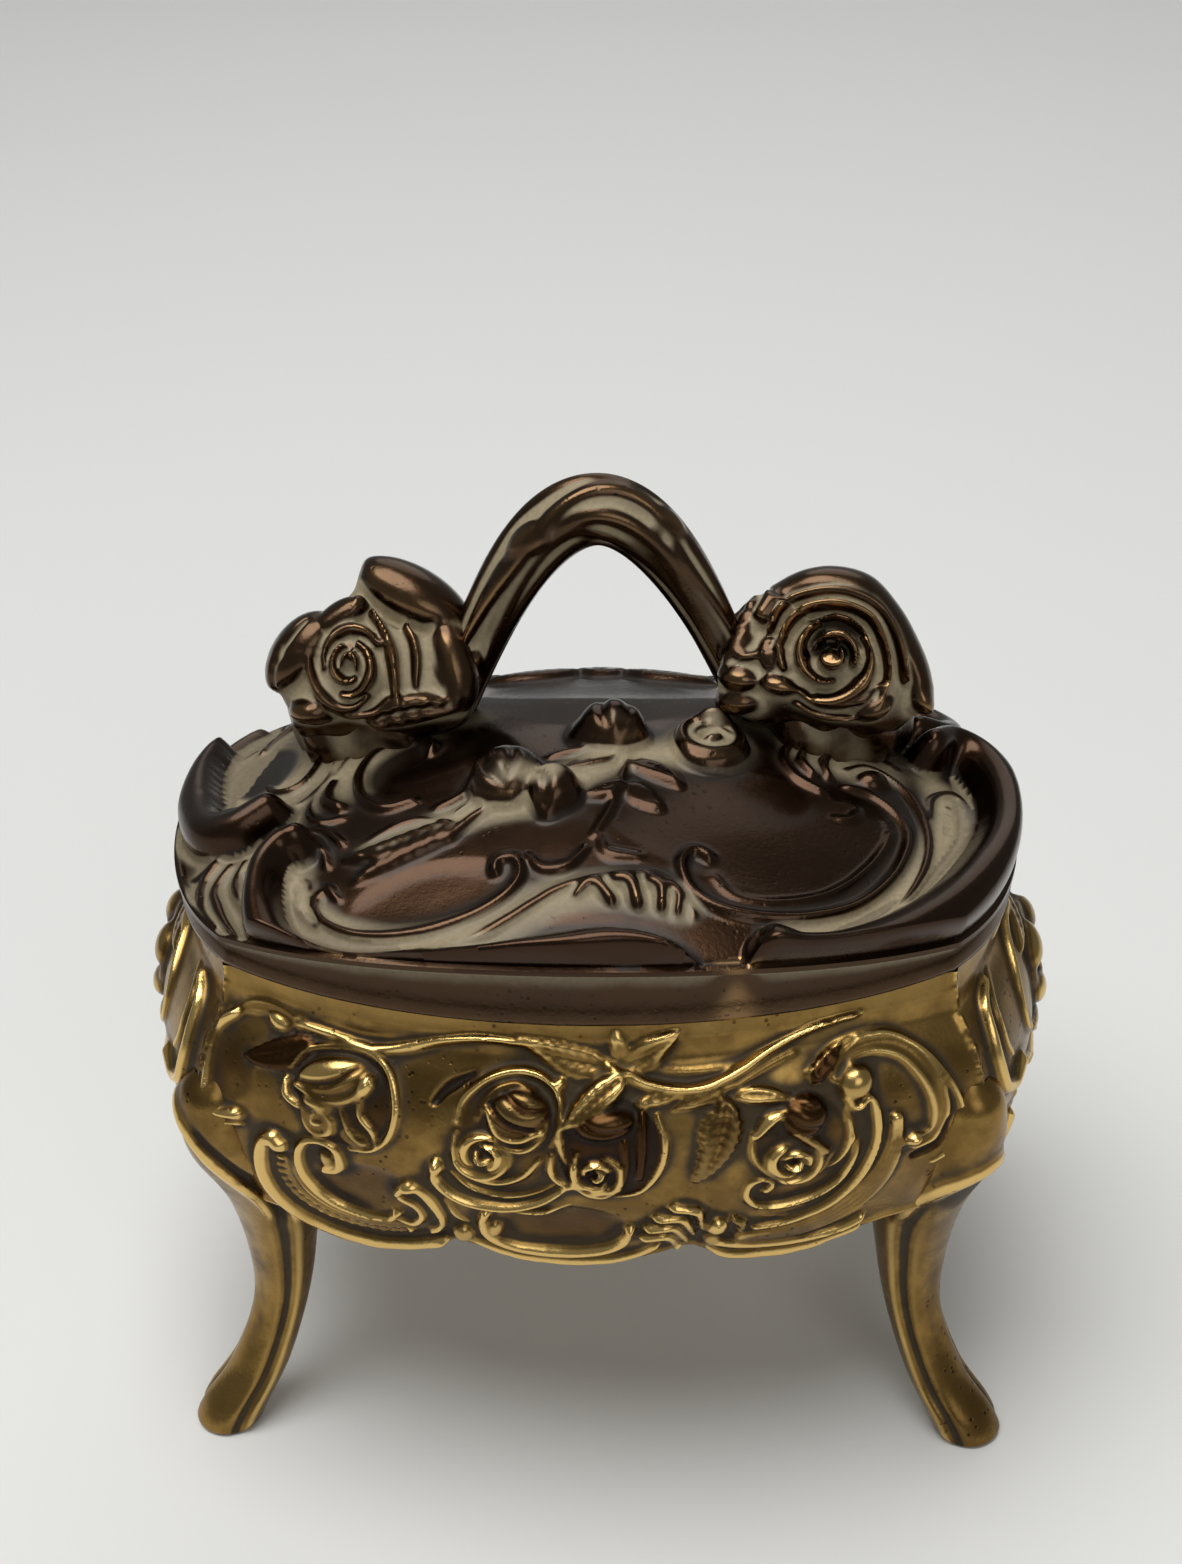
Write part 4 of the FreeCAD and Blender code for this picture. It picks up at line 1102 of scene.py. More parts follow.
FRONT_APRON: tuple[Point, ...] = (
    (-50, 40.5), (-41, 40.0), (-38, 38.9), (-34.5, 37.5), (-30, 37.0), (-25, 37.5), (-20.5, 39.4),
    (-17.4, 41.9), (-16.2, 42.0), (-14, 40.9), (-10, 39.2), (-5, 38.1), (1, 38.0), (6, 38.9), (9.5, 40.6),
    (11.6, 42.2), (13.2, 42.0), (15, 40.3), (18, 38.4), (22, 37.3), (27, 37.0), (31, 38.2), (34, 39.9),
    (38, 40.8), (50, 41.0),
)
END_APRON: tuple[Point, ...] = (
    (-31, 40.5), (-22, 39.5), (-18, 38.2), (-14, 38.6), (-11, 41.0), (-9.5, 41.6), (-7.5, 40.2),
    (-4, 38.0), (0, 37.3), (4, 38.0), (7.5, 40.2), (9.5, 41.6), (11, 41.0), (14, 38.6), (18, 38.2),
    (22, 39.5), (31, 40.5),
)

FRONT_ORNAMENT: tuple[Shape, ...] = (
    # Sunk fields
    Lobe((-28.5, 50.0), (7.0, 4.6), -0.5, 20.0, dark=0.45),
    Lobe((-3.0, 47.2), (8.0, 4.2), -0.7, dark=0.6),
    Lobe((26.0, 53.0), (7.5, 4.6), -0.5, 20.0, dark=0.25),
    Lobe((-45.0, 64.5), (3.6, 4.8), -0.4, dark=0.35),
    # Left C scroll and the bud above it
    Stroke(((-45.6, 70.4), (-48.4, 68.2), (-49.2, 64.0), (-48.5, 60.0), (-46.4, 57.9), (-43.6, 58.2)),
            1.5, 1.5, (0.4, 0.8)),
    Stroke(((-47.4, 70.8), (-50.2, 66.0), (-50.0, 59.5), (-47.0, 56.1), (-43.2, 56.8)),
            0.7, 0.9, (0.4, 0.6), ROUND),
    Stroke(((-47.2, 69.9), (-43.5, 71.6), (-40.0, 71.9), (-37.6, 71.2)),
            0.9, 0.9, (0.3, 0.9), CHANNEL, dark=0.2),
    Lobe((-39.4, 70.7), (1.9, 0.9), 1.1, -12.0),
    Lobe((-36.6, 71.3), (0.9, 0.9), 1.1, bowl=True),
    Leaf((-34.2, 69.6), (-43.6, 66.2), 2.1, 0.9, 0.5, 9, dark=0.75),
    Stroke(((-36.5, 71.0), (-31.5, 70.7), (-26.0, 70.2), (-21.5, 71.0), (-17.0, 72.2), (-12.0, 72.9),
            (-6.0, 72.4)), 0.65, 0.9, (0.7, 0.4), ROUND),
    Stroke(((-34.0, 72.2), (-28.0, 71.6), (-22.4, 71.9)), 0.35, 0.5, (0.2, 0.2)),
    # Large bud, its cup and the small rosebud under it
    Lobe((-29.4, 64.0), (6.4, 6.2), 0.5, dark=0.55),
    Stroke(((-36.6, 66.4), (-34.4, 69.0), (-30.4, 69.8), (-26.2, 69.6), (-23.7, 67.9), (-22.6, 64.2),
            (-23.4, 60.2), (-25.6, 57.8), (-28.6, 57.3)), 0.6, 1.2, (0.4, 0.5)),
    Lobe((-30.8, 66.6), (4.9, 2.4), 2.0, 13.0),
    Stroke(((-34.9, 65.4), (-30.8, 66.0), (-27.4, 68.1)), 0.45, 0.8, (0.3, 0.3), GROOVE, dark=0.5),
    Stroke(((-35.6, 64.9), (-31.4, 63.9), (-28.2, 64.6), (-26.0, 66.8)),
            0.9, 1.6, (0.4, 0.9), ROUND, dark=0.2),
    Lobe((-26.4, 66.3), (1.0, 1.7), 1.9, -25.0),
    Stroke(((-26.7, 65.6), (-26.9, 62.8), (-25.4, 60.8), (-24.9, 58.8)), 0.6, 1.4, (0.8, 0.4)),
    Stroke(((-29.4, 63.6), (-28.7, 61.6), (-27.6, 59.4), (-25.9, 58.6)),
            0.6, 1.2, (0.6, 0.4), ROUND, dark=0.35),
    Stroke(((-36.9, 65.4), (-36.6, 63.4), (-34.9, 62.3)), 0.7, 1.3, (0.4, 0.9), ROUND),
    Lobe((-32.2, 63.1), (2.6, 0.9), 1.7, -8.0),
    Whorl((-32.0, 60.9), 2.8, 1.9, 1.7, 40.0),
    Lobe((-27.6, 59.3), (1.9, 1.4), 1.0, -20.0, True, dark=0.2),
    # Lower left lobe: rim, row of holes, scroll with a turned head, second curl
    Stroke(((-37.3, 55.4), (-38.6, 56.4), (-40.2, 54.2), (-40.7, 49.5), (-39.6, 44.8), (-36.6, 41.0),
            (-32.0, 39.0), (-26.5, 38.9), (-21.5, 40.6), (-17.8, 42.8)), 1.35, 1.7, (0.8, 0.5), ROUND),
    Lobe((-37.6, 55.7), (1.3, 1.2), 1.9),
    Stroke(((-38.0, 52.6), (-38.0, 49.0), (-36.7, 45.6), (-34.0, 43.2), (-30.5, 42.0), (-26.5, 41.7),
            (-22.6, 42.8)), 1.0, 0.75, (0.9, 0.8), HOLED, count=17),
    Stroke(((-36.3, 53.8), (-36.3, 49.8), (-34.8, 46.4), (-31.6, 44.0), (-27.6, 43.2), (-23.4, 44.0)),
            0.35, 0.9, (0.6, 0.6)),
    Stroke(((-30.6, 54.2), (-32.0, 53.0), (-30.0, 53.4), (-29.7, 55.6), (-30.9, 57.6), (-33.4, 57.5),
            (-35.1, 55.4), (-35.2, 51.6), (-33.6, 48.2), (-30.8, 45.9), (-27.4, 45.0), (-24.6, 45.3),
            (-23.2, 46.8)), 0.85, 1.4, (0.7, 0.6)),
    Lobe((-31.2, 54.8), (1.3, 1.7), 1.1, 20.0, dark=0.25),
    Stroke(((-22.8, 51.0), (-21.3, 53.0), (-19.4, 51.6), (-17.9, 48.4), (-17.8, 45.6), (-19.4, 43.9)),
            0.9, 1.4, (0.9, 0.5)),
    Lobe((-21.3, 52.6), (1.4, 0.9), 1.6, 10.0),
    Stroke(((-22.9, 50.0), (-20.9, 48.8), (-20.2, 46.7), (-21.6, 44.9), (-23.7, 45.6), (-23.6, 47.3)),
            0.65, 1.1, (0.7, 0.5)),
    # First rose: petal rim, dome, rolled eye and the double C under it
    Lobe((-9.5, 61.4), (6.4, 7.6), 0.45, -18.0, dark=0.4),
    Stroke(((-18.0, 65.6), (-16.4, 67.5), (-13.4, 69.2)), 0.75, 0.9, (0.7, 0.3), GROOVE, dark=0.6),
    Stroke(((-15.2, 63.4), (-14.4, 66.4), (-11.5, 68.8), (-7.8, 69.7), (-4.6, 69.0), (-2.9, 66.9),
            (-3.2, 63.6), (-3.9, 61.2)), 0.6, 1.3),
    Stroke(((-12.6, 64.2), (-11.2, 67.2), (-8.4, 68.5), (-5.8, 67.9)),
            0.55, 1.1, (0.4, 0.4), ROUND, dark=0.3),
    Lobe((-7.9, 65.2), (3.9, 2.9), 2.5, 8.0, dark=0.6),
    Stroke(((-11.2, 66.4), (-8.8, 64.3), (-5.0, 63.4)), 0.5, 0.9, (0.4, 0.4), GROOVE, dark=0.8),
    Stroke(((-9.6, 67.6), (-6.8, 66.0), (-4.2, 66.0)), 0.4, 0.7, (0.4, 0.4), GROOVE, dark=0.8),
    Stroke(((-11.4, 65.6), (-10.2, 63.0), (-7.6, 62.2), (-5.0, 63.4)), 0.75, 1.9, (0.4, 0.5), ROUND),
    Stroke(((-10.4, 61.4), (-7.4, 60.6), (-5.0, 62.4), (-4.2, 64.6)), 0.7, 1.5, (0.5, 0.4)),
    Stroke(((-15.1, 62.4), (-15.3, 58.8), (-13.4, 56.4), (-10.4, 55.5), (-7.4, 56.6), (-5.2, 59.4)),
            0.7, 1.4),
    Lobe((-11.7, 59.6), (3.4, 3.3), 1.2, bowl=True),
    RolledHeart((-11.7, 59.6), (3.4, 3.3), 4, 10.0),
    Stroke(((-16.0, 56.4), (-13.6, 53.9), (-9.6, 53.0), (-5.6, 54.0), (-2.2, 56.6)),
            0.45, 1.1, (0.3, 0.3)),
    Stroke(((-17.6, 57.4), (-17.6, 54.6), (-14.4, 51.9), (-9.8, 51.2), (-5.6, 52.4), (-2.4, 55.0),
            (-1.0, 57.0)), 1.0, 1.7, (0.9, 0.3)),
    Lobe((-17.6, 56.8), (1.0, 1.1), 1.7),
    # Second rose, darkest of the three
    Lobe((3.2, 60.2), (6.3, 7.4), 0.5, 12.0, dark=0.8),
    Lobe((2.4, 64.2), (3.7, 1.9), 2.4, 8.0, dark=0.7),
    Stroke(((-0.8, 65.0), (2.0, 63.6), (5.6, 64.0)), 0.4, 0.8, (0.4, 0.4), GROOVE, dark=0.9),
    Stroke(((-2.8, 65.2), (-2.9, 61.4), (-2.2, 59.0)), 0.55, 1.3),
    Stroke(((8.5, 65.4), (9.4, 61.6), (8.6, 57.6), (6.4, 54.4), (3.4, 53.5)), 0.55, 1.3),
    Stroke(((6.8, 65.6), (6.6, 61.0), (6.3, 56.6)), 0.9, 1.7, (0.5, 0.4), dark=0.8),
    Stroke(((4.6, 62.4), (4.7, 58.6), (4.2, 55.0)), 0.7, 1.6, (0.5, 0.4), dark=0.7),
    Stroke(((-3.9, 60.2), (-3.8, 57.0), (-1.6, 55.4), (-0.6, 56.2)), 0.6, 1.4, (0.4, 0.8)),
    Stroke(((-0.9, 60.4), (-1.5, 57.4), (-0.4, 54.8), (2.0, 53.7), (4.0, 55.0)), 0.6, 1.6),
    RolledHeart((1.2, 57.6), (3.1, 3.0), 4, 100.0),
    Lobe((1.6, 54.9), (1.9, 0.9), 1.5, 10.0),
    # Leaves and stems over the roses
    Leaf((4.0, 70.0), (-8.6, 73.4), 1.9, 0.9, 0.5, 9),
    Leaf((4.2, 70.0), (3.6, 74.6), 1.3, 0.8, -0.3, 6),
    Leaf((4.4, 70.1), (11.6, 74.3), 2.0, 0.9, -0.4, 8),
    Leaf((5.0, 69.4), (-2.8, 63.4), 1.9, 1.9, -0.4, 9, dark=0.15),
    Leaf((-2.6, 69.4), (-3.4, 67.4), 0.7, 1.1, 0.0, 3),
    Stroke(((2.6, 70.4), (4.6, 69.7), (9.0, 68.3), (13.4, 67.9), (18.0, 69.0), (23.0, 71.0), (28.6, 72.8),
            (34.4, 73.5)), 0.5, 1.1, (0.8, 0.3), ROUND, base=0.2),
    Stroke(((5.4, 68.7), (10.0, 67.4), (14.4, 67.2), (18.4, 68.0), (22.6, 69.6), (26.0, 70.4)),
            0.4, 0.9, (0.8, 0.3), ROUND),
    Stroke(((8.0, 69.9), (14.0, 69.6), (20.4, 70.0), (24.0, 70.9)), 0.3, 0.6, (0.3, 0.3)),
    Stroke(((26.8, 68.0), (29.6, 69.8), (32.6, 70.8), (36.2, 71.4)), 0.4, 0.9, (0.6, 0.2)),
    Leaf((6.0, 66.4), (12.4, 67.4), 0.9, 1.2, 0.2, 5),
    Leaf((16.8, 67.4), (10.2, 65.6), 1.2, 1.1, -0.3, 7, dark=0.35),
    Leaf((17.0, 66.9), (12.8, 55.0), 2.7, 1.2, 0.7, 10, 0.2, dark=0.55),
    Leaf((17.4, 66.6), (15.4, 57.0), 1.9, 1.0, -1.6, 9, 0.2, dark=0.25),
    Leaf((17.6, 66.8), (25.0, 65.6), 1.2, 1.2, 0.3, 7),
    Leaf((27.2, 67.0), (31.8, 70.4), 1.2, 1.2, 0.2, 4, dark=0.8),
    # Third rose
    Lobe((25.2, 60.0), (5.9, 6.6), 0.4, dark=0.45),
    Stroke(((19.6, 62.2), (19.7, 58.6), (21.6, 55.6), (24.6, 54.0), (27.6, 54.6), (29.2, 57.4)), 0.5, 1.2),
    Stroke(((31.0, 63.8), (31.6, 60.0), (30.6, 56.6), (28.8, 54.8)), 0.5, 1.1, (0.4, 0.3)),
    Stroke(((20.0, 61.6), (22.0, 63.6), (24.2, 64.4)), 0.9, 1.4, (0.5, 0.6), ROUND),
    Lobe((25.9, 63.4), (2.9, 2.7), 2.4, 20.0, dark=0.7),
    Stroke(((23.4, 64.2), (25.2, 62.4), (28.0, 62.0)), 0.4, 0.8, (0.4, 0.4), GROOVE, dark=0.9),
    Stroke(((24.6, 65.4), (26.6, 64.2), (28.6, 64.6)), 0.35, 0.7, (0.4, 0.4), GROOVE, dark=0.9),
    Stroke(((24.4, 61.6), (26.6, 60.0), (28.6, 58.0)), 0.8, 1.7, (0.6, 0.4), ROUND, dark=0.4),
    Lobe((24.5, 57.4), (3.9, 3.2), 1.2, -12.0, True),
    RolledHeart((24.4, 57.4), (3.5, 3.0), 4, 60.0),
    # Right head: dome, broad C and the ribbed sweep that falls from it
    Stroke(((30.2, 67.2), (32.4, 69.3), (36.2, 69.8), (39.8, 68.4), (42.2, 65.0), (43.2, 60.6),
            (42.4, 57.4), (40.0, 56.4)), 1.5, 1.5, (0.5, 0.9), CHANNEL),
    Lobe((39.4, 57.2), (1.3, 0.9), 1.9, 15.0),
    Stroke(((33.4, 70.8), (38.0, 70.7), (42.4, 67.8), (45.2, 62.8), (46.6, 58.0), (46.0, 53.6),
            (42.6, 51.4)), 0.5, 1.0, (0.3, 0.5)),
    Stroke(((44.4, 58.6), (43.0, 54.6), (40.2, 53.4)), 1.2, 0.7, (0.5, 0.5), GROOVE, dark=0.6),
    Lobe((32.6, 66.3), (2.4, 2.1), 2.2, 20.0, dark=0.3),
    Stroke(((31.0, 64.8), (32.6, 63.2), (34.0, 64.4), (34.9, 62.4), (34.8, 58.2), (33.0, 53.2),
            (29.6, 48.9), (25.0, 46.2), (20.2, 45.4)), 0.75, 1.5, (0.7, 0.5)),
    Stroke(((37.4, 60.6), (36.8, 55.4), (34.6, 50.6), (31.0, 46.6), (26.0, 43.9), (19.0, 43.6)),
            2.7, 1.15, (0.35, 0.4), RIBBED, count=6),
    Stroke(((31.6, 60.6), (32.4, 57.0), (30.8, 52.8), (27.6, 50.3), (23.6, 49.3), (20.4, 49.9),
            (19.1, 51.8), (19.6, 54.0), (21.2, 54.6), (22.3, 53.2), (21.4, 52.0)), 0.5, 1.1, (0.4, 0.6)),
    Stroke(((20.2, 48.1), (24.0, 47.4), (28.2, 48.8)), 0.7, 0.6, (0.6, 0.6), HOLED, count=12),
    Stroke(((15.8, 43.4), (19.4, 42.0), (25.0, 41.3), (30.4, 41.6), (34.6, 43.4)),
            0.8, 1.4, (0.9, 0.4), ROUND),
    Stroke(((14.6, 42.4), (17.6, 39.6), (22.4, 38.5), (27.2, 38.4), (31.4, 39.9), (34.4, 41.4)),
            0.9, 1.0, (0.5, 0.4), ROUND),
    # Middle apron: sunk cartouche, its C, the fluted shell and the knob
    Stroke(((-12.0, 49.6), (-12.6, 47.0), (-11.6, 44.8), (-8.8, 42.9), (-5.0, 42.0), (-1.0, 42.0),
            (2.4, 43.0), (4.6, 44.9), (5.2, 47.0)), 0.95, 1.6, (0.6, 0.6), ROUND),
    Stroke(((-15.2, 44.8), (-13.2, 42.6), (-9.6, 40.6), (-4.6, 39.5), (1.0, 39.4), (5.6, 40.6),
            (8.6, 43.0)), 0.8, 1.1, (0.6, 0.5), ROUND),
    Lobe((-15.2, 44.6), (1.5, 1.7), 1.6, 20.0, dark=0.3),
    Lobe((-11.2, 46.2), (1.1, 1.6), 1.3, dark=0.2),
    Stroke(((-16.9, 51.0), (-16.0, 48.4), (-14.6, 46.8)), 0.45, 0.9),
    Stroke(((-10.4, 49.9), (-5.2, 49.8), (-1.6, 52.0)), 0.4, 0.8, (0.5, 0.3)),
    Stroke(((6.8, 45.4), (9.6, 45.6), (11.0, 42.9)), 0.85, 1.5, (0.8, 0.5), ROUND),
    Stroke(((7.3, 47.4), (10.4, 47.4), (12.2, 44.0)), 0.75, 1.6, (0.8, 0.4), ROUND),
    Stroke(((8.4, 49.3), (11.4, 48.9), (13.0, 45.4)), 0.7, 1.5, (0.8, 0.4), ROUND),
    Stroke(((10.4, 51.1), (13.2, 50.2), (13.8, 46.6)), 0.7, 1.4, (0.9, 0.4), ROUND),
    Lobe((15.6, 47.0), (1.6, 1.6), 1.7),
    Lobe((15.2, 43.8), (1.2, 1.8), 1.3, 15.0, dark=0.3),
    Stroke(((17.6, 48.0), (18.8, 46.6), (18.6, 45.0)), 0.7, 1.2, (0.6, 0.5), ROUND, dark=0.5),
)

END_ORNAMENT: tuple[Shape, ...] = (
    Lobe((0.0, 60.0), (10.5, 9.5), -0.4, dark=0.3),
    *both_sides(Stroke(((-21.0, 70.6), (-24.6, 68.6), (-26.2, 63.6), (-25.2, 58.4), (-22.0, 56.4),
                        (-19.6, 58.2)), 1.5, 1.5, (0.4, 0.8))),
    *both_sides(Stroke(((-18.6, 70.8), (-22.2, 67.8), (-23.0, 63.4), (-21.8, 60.4)),
                        0.6, 1.0, (0.3, 0.5))),
    Stroke(((-13.0, 58.0), (-15.6, 61.0), (-14.6, 66.0), (-9.6, 69.6), (-3.0, 70.4), (4.0, 70.4),
            (10.0, 69.2), (14.6, 65.6), (15.4, 60.6), (13.0, 58.0)), 0.7, 1.3, (0.5, 0.5)),
    Stroke(((-16.0, 55.0), (-12.0, 51.4), (-6.0, 49.9), (0.0, 50.6), (6.0, 49.9), (12.0, 51.4),
            (16.0, 55.0)), 1.0, 1.6),
    *both_sides(Stroke(((-21.0, 50.0), (-20.4, 45.0), (-16.0, 41.4), (-11.4, 42.8)),
                        1.2, 1.5, (0.6, 0.5), ROUND)),
    *both_sides(Stroke(((-18.0, 50.4), (-17.4, 46.6), (-14.0, 44.4)),
                        0.9, 0.8, (0.8, 0.8), HOLED, count=8)),
    Stroke(((-8.6, 45.6), (-5.0, 41.6), (0.0, 40.2), (5.0, 41.6), (8.6, 45.6)),
            1.0, 1.6, (0.6, 0.6), ROUND),
    Stroke(((-3.6, 47.4), (-2.0, 44.4), (-1.0, 42.6)), 0.7, 1.3, (0.8, 0.4), ROUND),
    Stroke(((0.0, 48.4), (0.0, 45.0), (0.0, 42.6)), 0.8, 1.5, (0.9, 0.4), ROUND),
    Stroke(((3.6, 47.4), (2.0, 44.4), (1.0, 42.6)), 0.7, 1.3, (0.8, 0.4), ROUND),
    Stroke(((-14.0, 72.2), (-7.0, 71.4), (0.0, 72.4), (8.0, 71.6), (14.0, 72.6)),
            0.5, 1.0, (0.3, 0.3), ROUND),
    Leaf((1.0, 71.8), (-8.6, 66.4), 1.9, 1.2, 0.5, 8, dark=0.2),
    Leaf((2.0, 71.8), (11.0, 67.0), 1.9, 1.2, -0.5, 8, dark=0.4),
    Leaf((-2.0, 52.6), (-10.6, 55.6), 1.8, 1.2, 0.4, 8, dark=0.3),
    Leaf((2.0, 52.6), (10.6, 55.6), 1.8, 1.2, -0.4, 8),
    Lobe((0.0, 60.4), (7.4, 7.0), 0.9, bowl=True, dark=0.45),
    Lobe((-3.4, 64.0), (3.6, 2.6), 2.0, 25.0, dark=0.3),
    Lobe((4.0, 63.4), (3.2, 2.7), 1.9, -30.0, dark=0.4),
    Lobe((-4.2, 57.6), (3.2, 2.5), 1.8, -35.0),
    Lobe((4.0, 57.2), (3.3, 2.4), 1.8, 30.0, dark=0.2),
    Whorl((0.0, 60.4), 3.6, 2.4, 2.2, 30.0),
)


@dataclass
class Wall:
    """One cast wall of the box, with its ornament, its solder seams and its scalloped apron."""

    piece: Piece
    side: Side
    apron: Sequence[Point]
    ornament: Sequence[Shape]
    columns: int
    rows: int
    mirror: bool
    arc: float
    ground: float = -0.9
    neck: float = 73.0
    neck_edge: float = 0.3
    neck_fade: Point = (2.5, 0.5)
    neck_highlight: float = 0.22
    thickness: float = 1.8
    clear_mitre: Point = (0.2, 1.6)
    solder: float = 0.35
    solder_half: float = 0.55
    bead: float = 0.55
    bead_up: float = 0.7
    bead_half: float = 0.55
    drop: float = 39.0
    ridge_reach: float = 1.1
    ridge_depth: float = 0.75
    edge_depth: float = 0.35
    behind: Sequence[float] = (1.0, 0.94, 0.7, 0.4, 0.1)

    def heights(self, a: Array, b: Array) -> Array:
        """Heights of grid places between the apron's edge and the seam.

        Args:
            a: Place across.
            b: Place up.

        Returns:
            Heights.
        """
        run = a * self.arc * (-1.0 if self.mirror else 1.0)
        edge = np.interp(run, *zip(*self.apron))
        return edge + (b + 1) / 2 * (self.side.belly.seam - edge)

    def build(self, material: Finish) -> Thing:
        """Casts the wall.

        Args:
            material: Its finish.

        Returns:
            The object.
        """
        bm, a, b = laid_grid(self.columns, self.rows)
        z = self.heights(a, b)
        run = self.side.run(a, z)
        relief = Relief(-run if self.mirror else run, z)
        relief.draw(self.ornament)
        edge = np.interp(relief.across, *zip(*self.apron))
        relief.height += self.bead * swelling(z - edge, self.bead_up, self.bead_half)
        relief.height = spread_out(relief.height, 1)
        inward = (1 - np.abs(a)) * self.arc
        relief.height *= smooth_share(inward, *self.clear_mitre)
        ragged = 0.6 + 0.25 * np.sin(2.1 * z) + 0.15 * np.sin(5.3 * z + 1.0)
        relief.height += self.solder * ragged * swelling(inward, 0.0, self.solder_half)
        reach = max(2, round(self.ridge_reach * self.rows / self.drop))
        # Painted highlight: the ridge value is raised along the neck, so the top band under the seam shows
        # lighter.
        lip = smooth_share(z, self.neck - self.neck_edge, self.neck + self.neck_edge)
        ridge = relief.ridges(reach, self.ridge_depth) + self.neck_highlight * lip
        below, above = self.neck_fade
        ground = self.ground * (1 - smooth_share(z, self.neck - below, self.neck + above))
        lift = relief.height + ground
        lay(bm, self.side.place(a, z, lift), {"lift": lift, "ridge": ridge, "stain": relief.stain})
        edges = ring(bm, open_edges(bm), self._rim, RIM_SHADE)
        close_behind(bm, edges, self.behind, self._back, BACK_SHADE)
        return self.piece.deliver(bm, material)

    def _rim(self, a: Array, b: Array, lift: Array) -> Array:
        """Places just behind the edge of the wall's face."""
        return self.side.place(a, self.heights(a, b), lift - self.edge_depth)

    def _back(self, a: Array, b: Array) -> Array:
        """Places on the wall's inner face."""
        return self.side.place(a, self.heights(a, b), np.full_like(a, -self.thickness))


@dataclass
class Leg:
    """A cabriole leg: a knee with a scroll on the corner, a fluted calf and a turned-out toe."""

    piece: Piece
    side_x: int
    side_y: int
    knee: Sequence[Shape]
    columns: int = 96
    rows: int = 150
    corner: Point = (47.06, 28.16)
    turn: float = 47.67
    toe_turn: float = 2.1
    wall_scale: float = 1.037
    wall_start: float = 1.57
    wall_fall: float = 0.29
    sunk: float = 1.3
    free: float = 30.0
    free_under: Point = (39.0, 42.0)
    round_scale: float = 5.0
    per_station: int = 24
    calf: Point = (40.0, 50.0)
    ankle: Point = (8.0, 16.0)
    sole: Point = (0.2, 1.5)
    # depth or height, degrees off the front and half width
    flute: Spot = (0.75, 60.0, 8.0)
    fin: Spot = (0.3, 82.0, 10.0)
    hollow: Spot = (0.45, 0.0, 32.0)
    ridge_reach: int = 5
    ridge_depth: float = 0.75
    sharp: float = 40.0
    stations: Sequence[tuple[float, float, float, float]] = (
        # height, radius, distance out from the corner, share of the toe's turn
        (62.0, 2.6, 1.6, 0.0),
        (58.0, 4.5, 2.6, 0.0),
        (49.0, 6.3, 0.2, 0.0),
        (37.0, 6.1, -4.7, 0.0),
        (27.0, 4.8, -5.5, 0.0),
        (18.0, 3.9, -4.4, 0.0),
        (9.0, 4.1, -0.6, 0.3),
        (3.5, 4.7, 3.4, 0.8),
        (0.9, 4.7, 4.9, 1.0),
        (0.0, 4.1, 5.0, 1.0),
    )

    def build(self, material: Finish) -> Thing:
        """Casts the leg.

        Args:
            material: Its finish.

        Returns:
            The object.
        """
        bm, a, b = laid_grid(self.columns, self.rows)
        line = through([(row[0], row[2]) for row in self.stations], self.per_station)
        sizes = through([(row[1], row[3]) for row in self.stations], self.per_station)
        rows = np.linspace(0, len(line) - 1, self.rows + 1)
        pick = np.arange(len(line))
        z, out = (np.interp(rows, pick, line[:, n])[:, None] for n in (0, 1))
        radius, toe = (np.interp(rows, pick, sizes[:, n])[:, None] for n in (0, 1))
        phi = math.pi * a
        relief = Relief(phi * self.round_scale, np.broadcast_to(z, a.shape).copy())
        relief.draw(self.knee)
        facing = np.degrees(np.abs(phi))
        low = 1 - smooth_share(z, *self.calf)
        flute = -self.flute[0] * swelling(facing, *self.flute[1:]) * low
        fin = self.fin[0] * swelling(facing, *self.fin[1:]) * low
        face = -self.hollow[0] * swelling(facing, *self.hollow[1:]) * low * smooth_share(z, *self.ankle)
        relief.height += flute + fin + face
        relief.height = matched(spread_out(relief.height, 1))
        size = radius + relief.height * smooth_share(z, *self.sole)
        ridge = relief.ridges(self.ridge_reach, self.ridge_depth)
        turn = math.radians(self.turn)
        along = np.array([math.cos(turn) * self.side_x, math.sin(turn) * self.side_y])
        hand = np.array([-along[1], along[0]])
        shift = -self.side_x * self.side_y * toe * self.toe_turn
        ahead = out + size * np.cos(phi)
        beside = shift + size * np.sin(phi)
        wall = self.wall_scale * Belly().offset(z) - self.wall_start - self.wall_fall * np.abs(beside)
        free = self.free * (1 - smooth_share(z, *self.free_under))
        ahead = np.maximum(ahead, wall - self.sunk - free)
        x = self.corner[0] * self.side_x + ahead * along[0] + beside * hand[0]
        y = self.corner[1] * self.side_y + ahead * along[1] + beside * hand[1]
        points = np.stack([x, y, np.broadcast_to(np.maximum(z, 0.0), x.shape)], axis=-1)
        lay(bm, points, {"lift": relief.height, "ridge": ridge, "stain": relief.stain})
        close_tube(bm)
        return self.piece.deliver(bm, material, self.sharp)


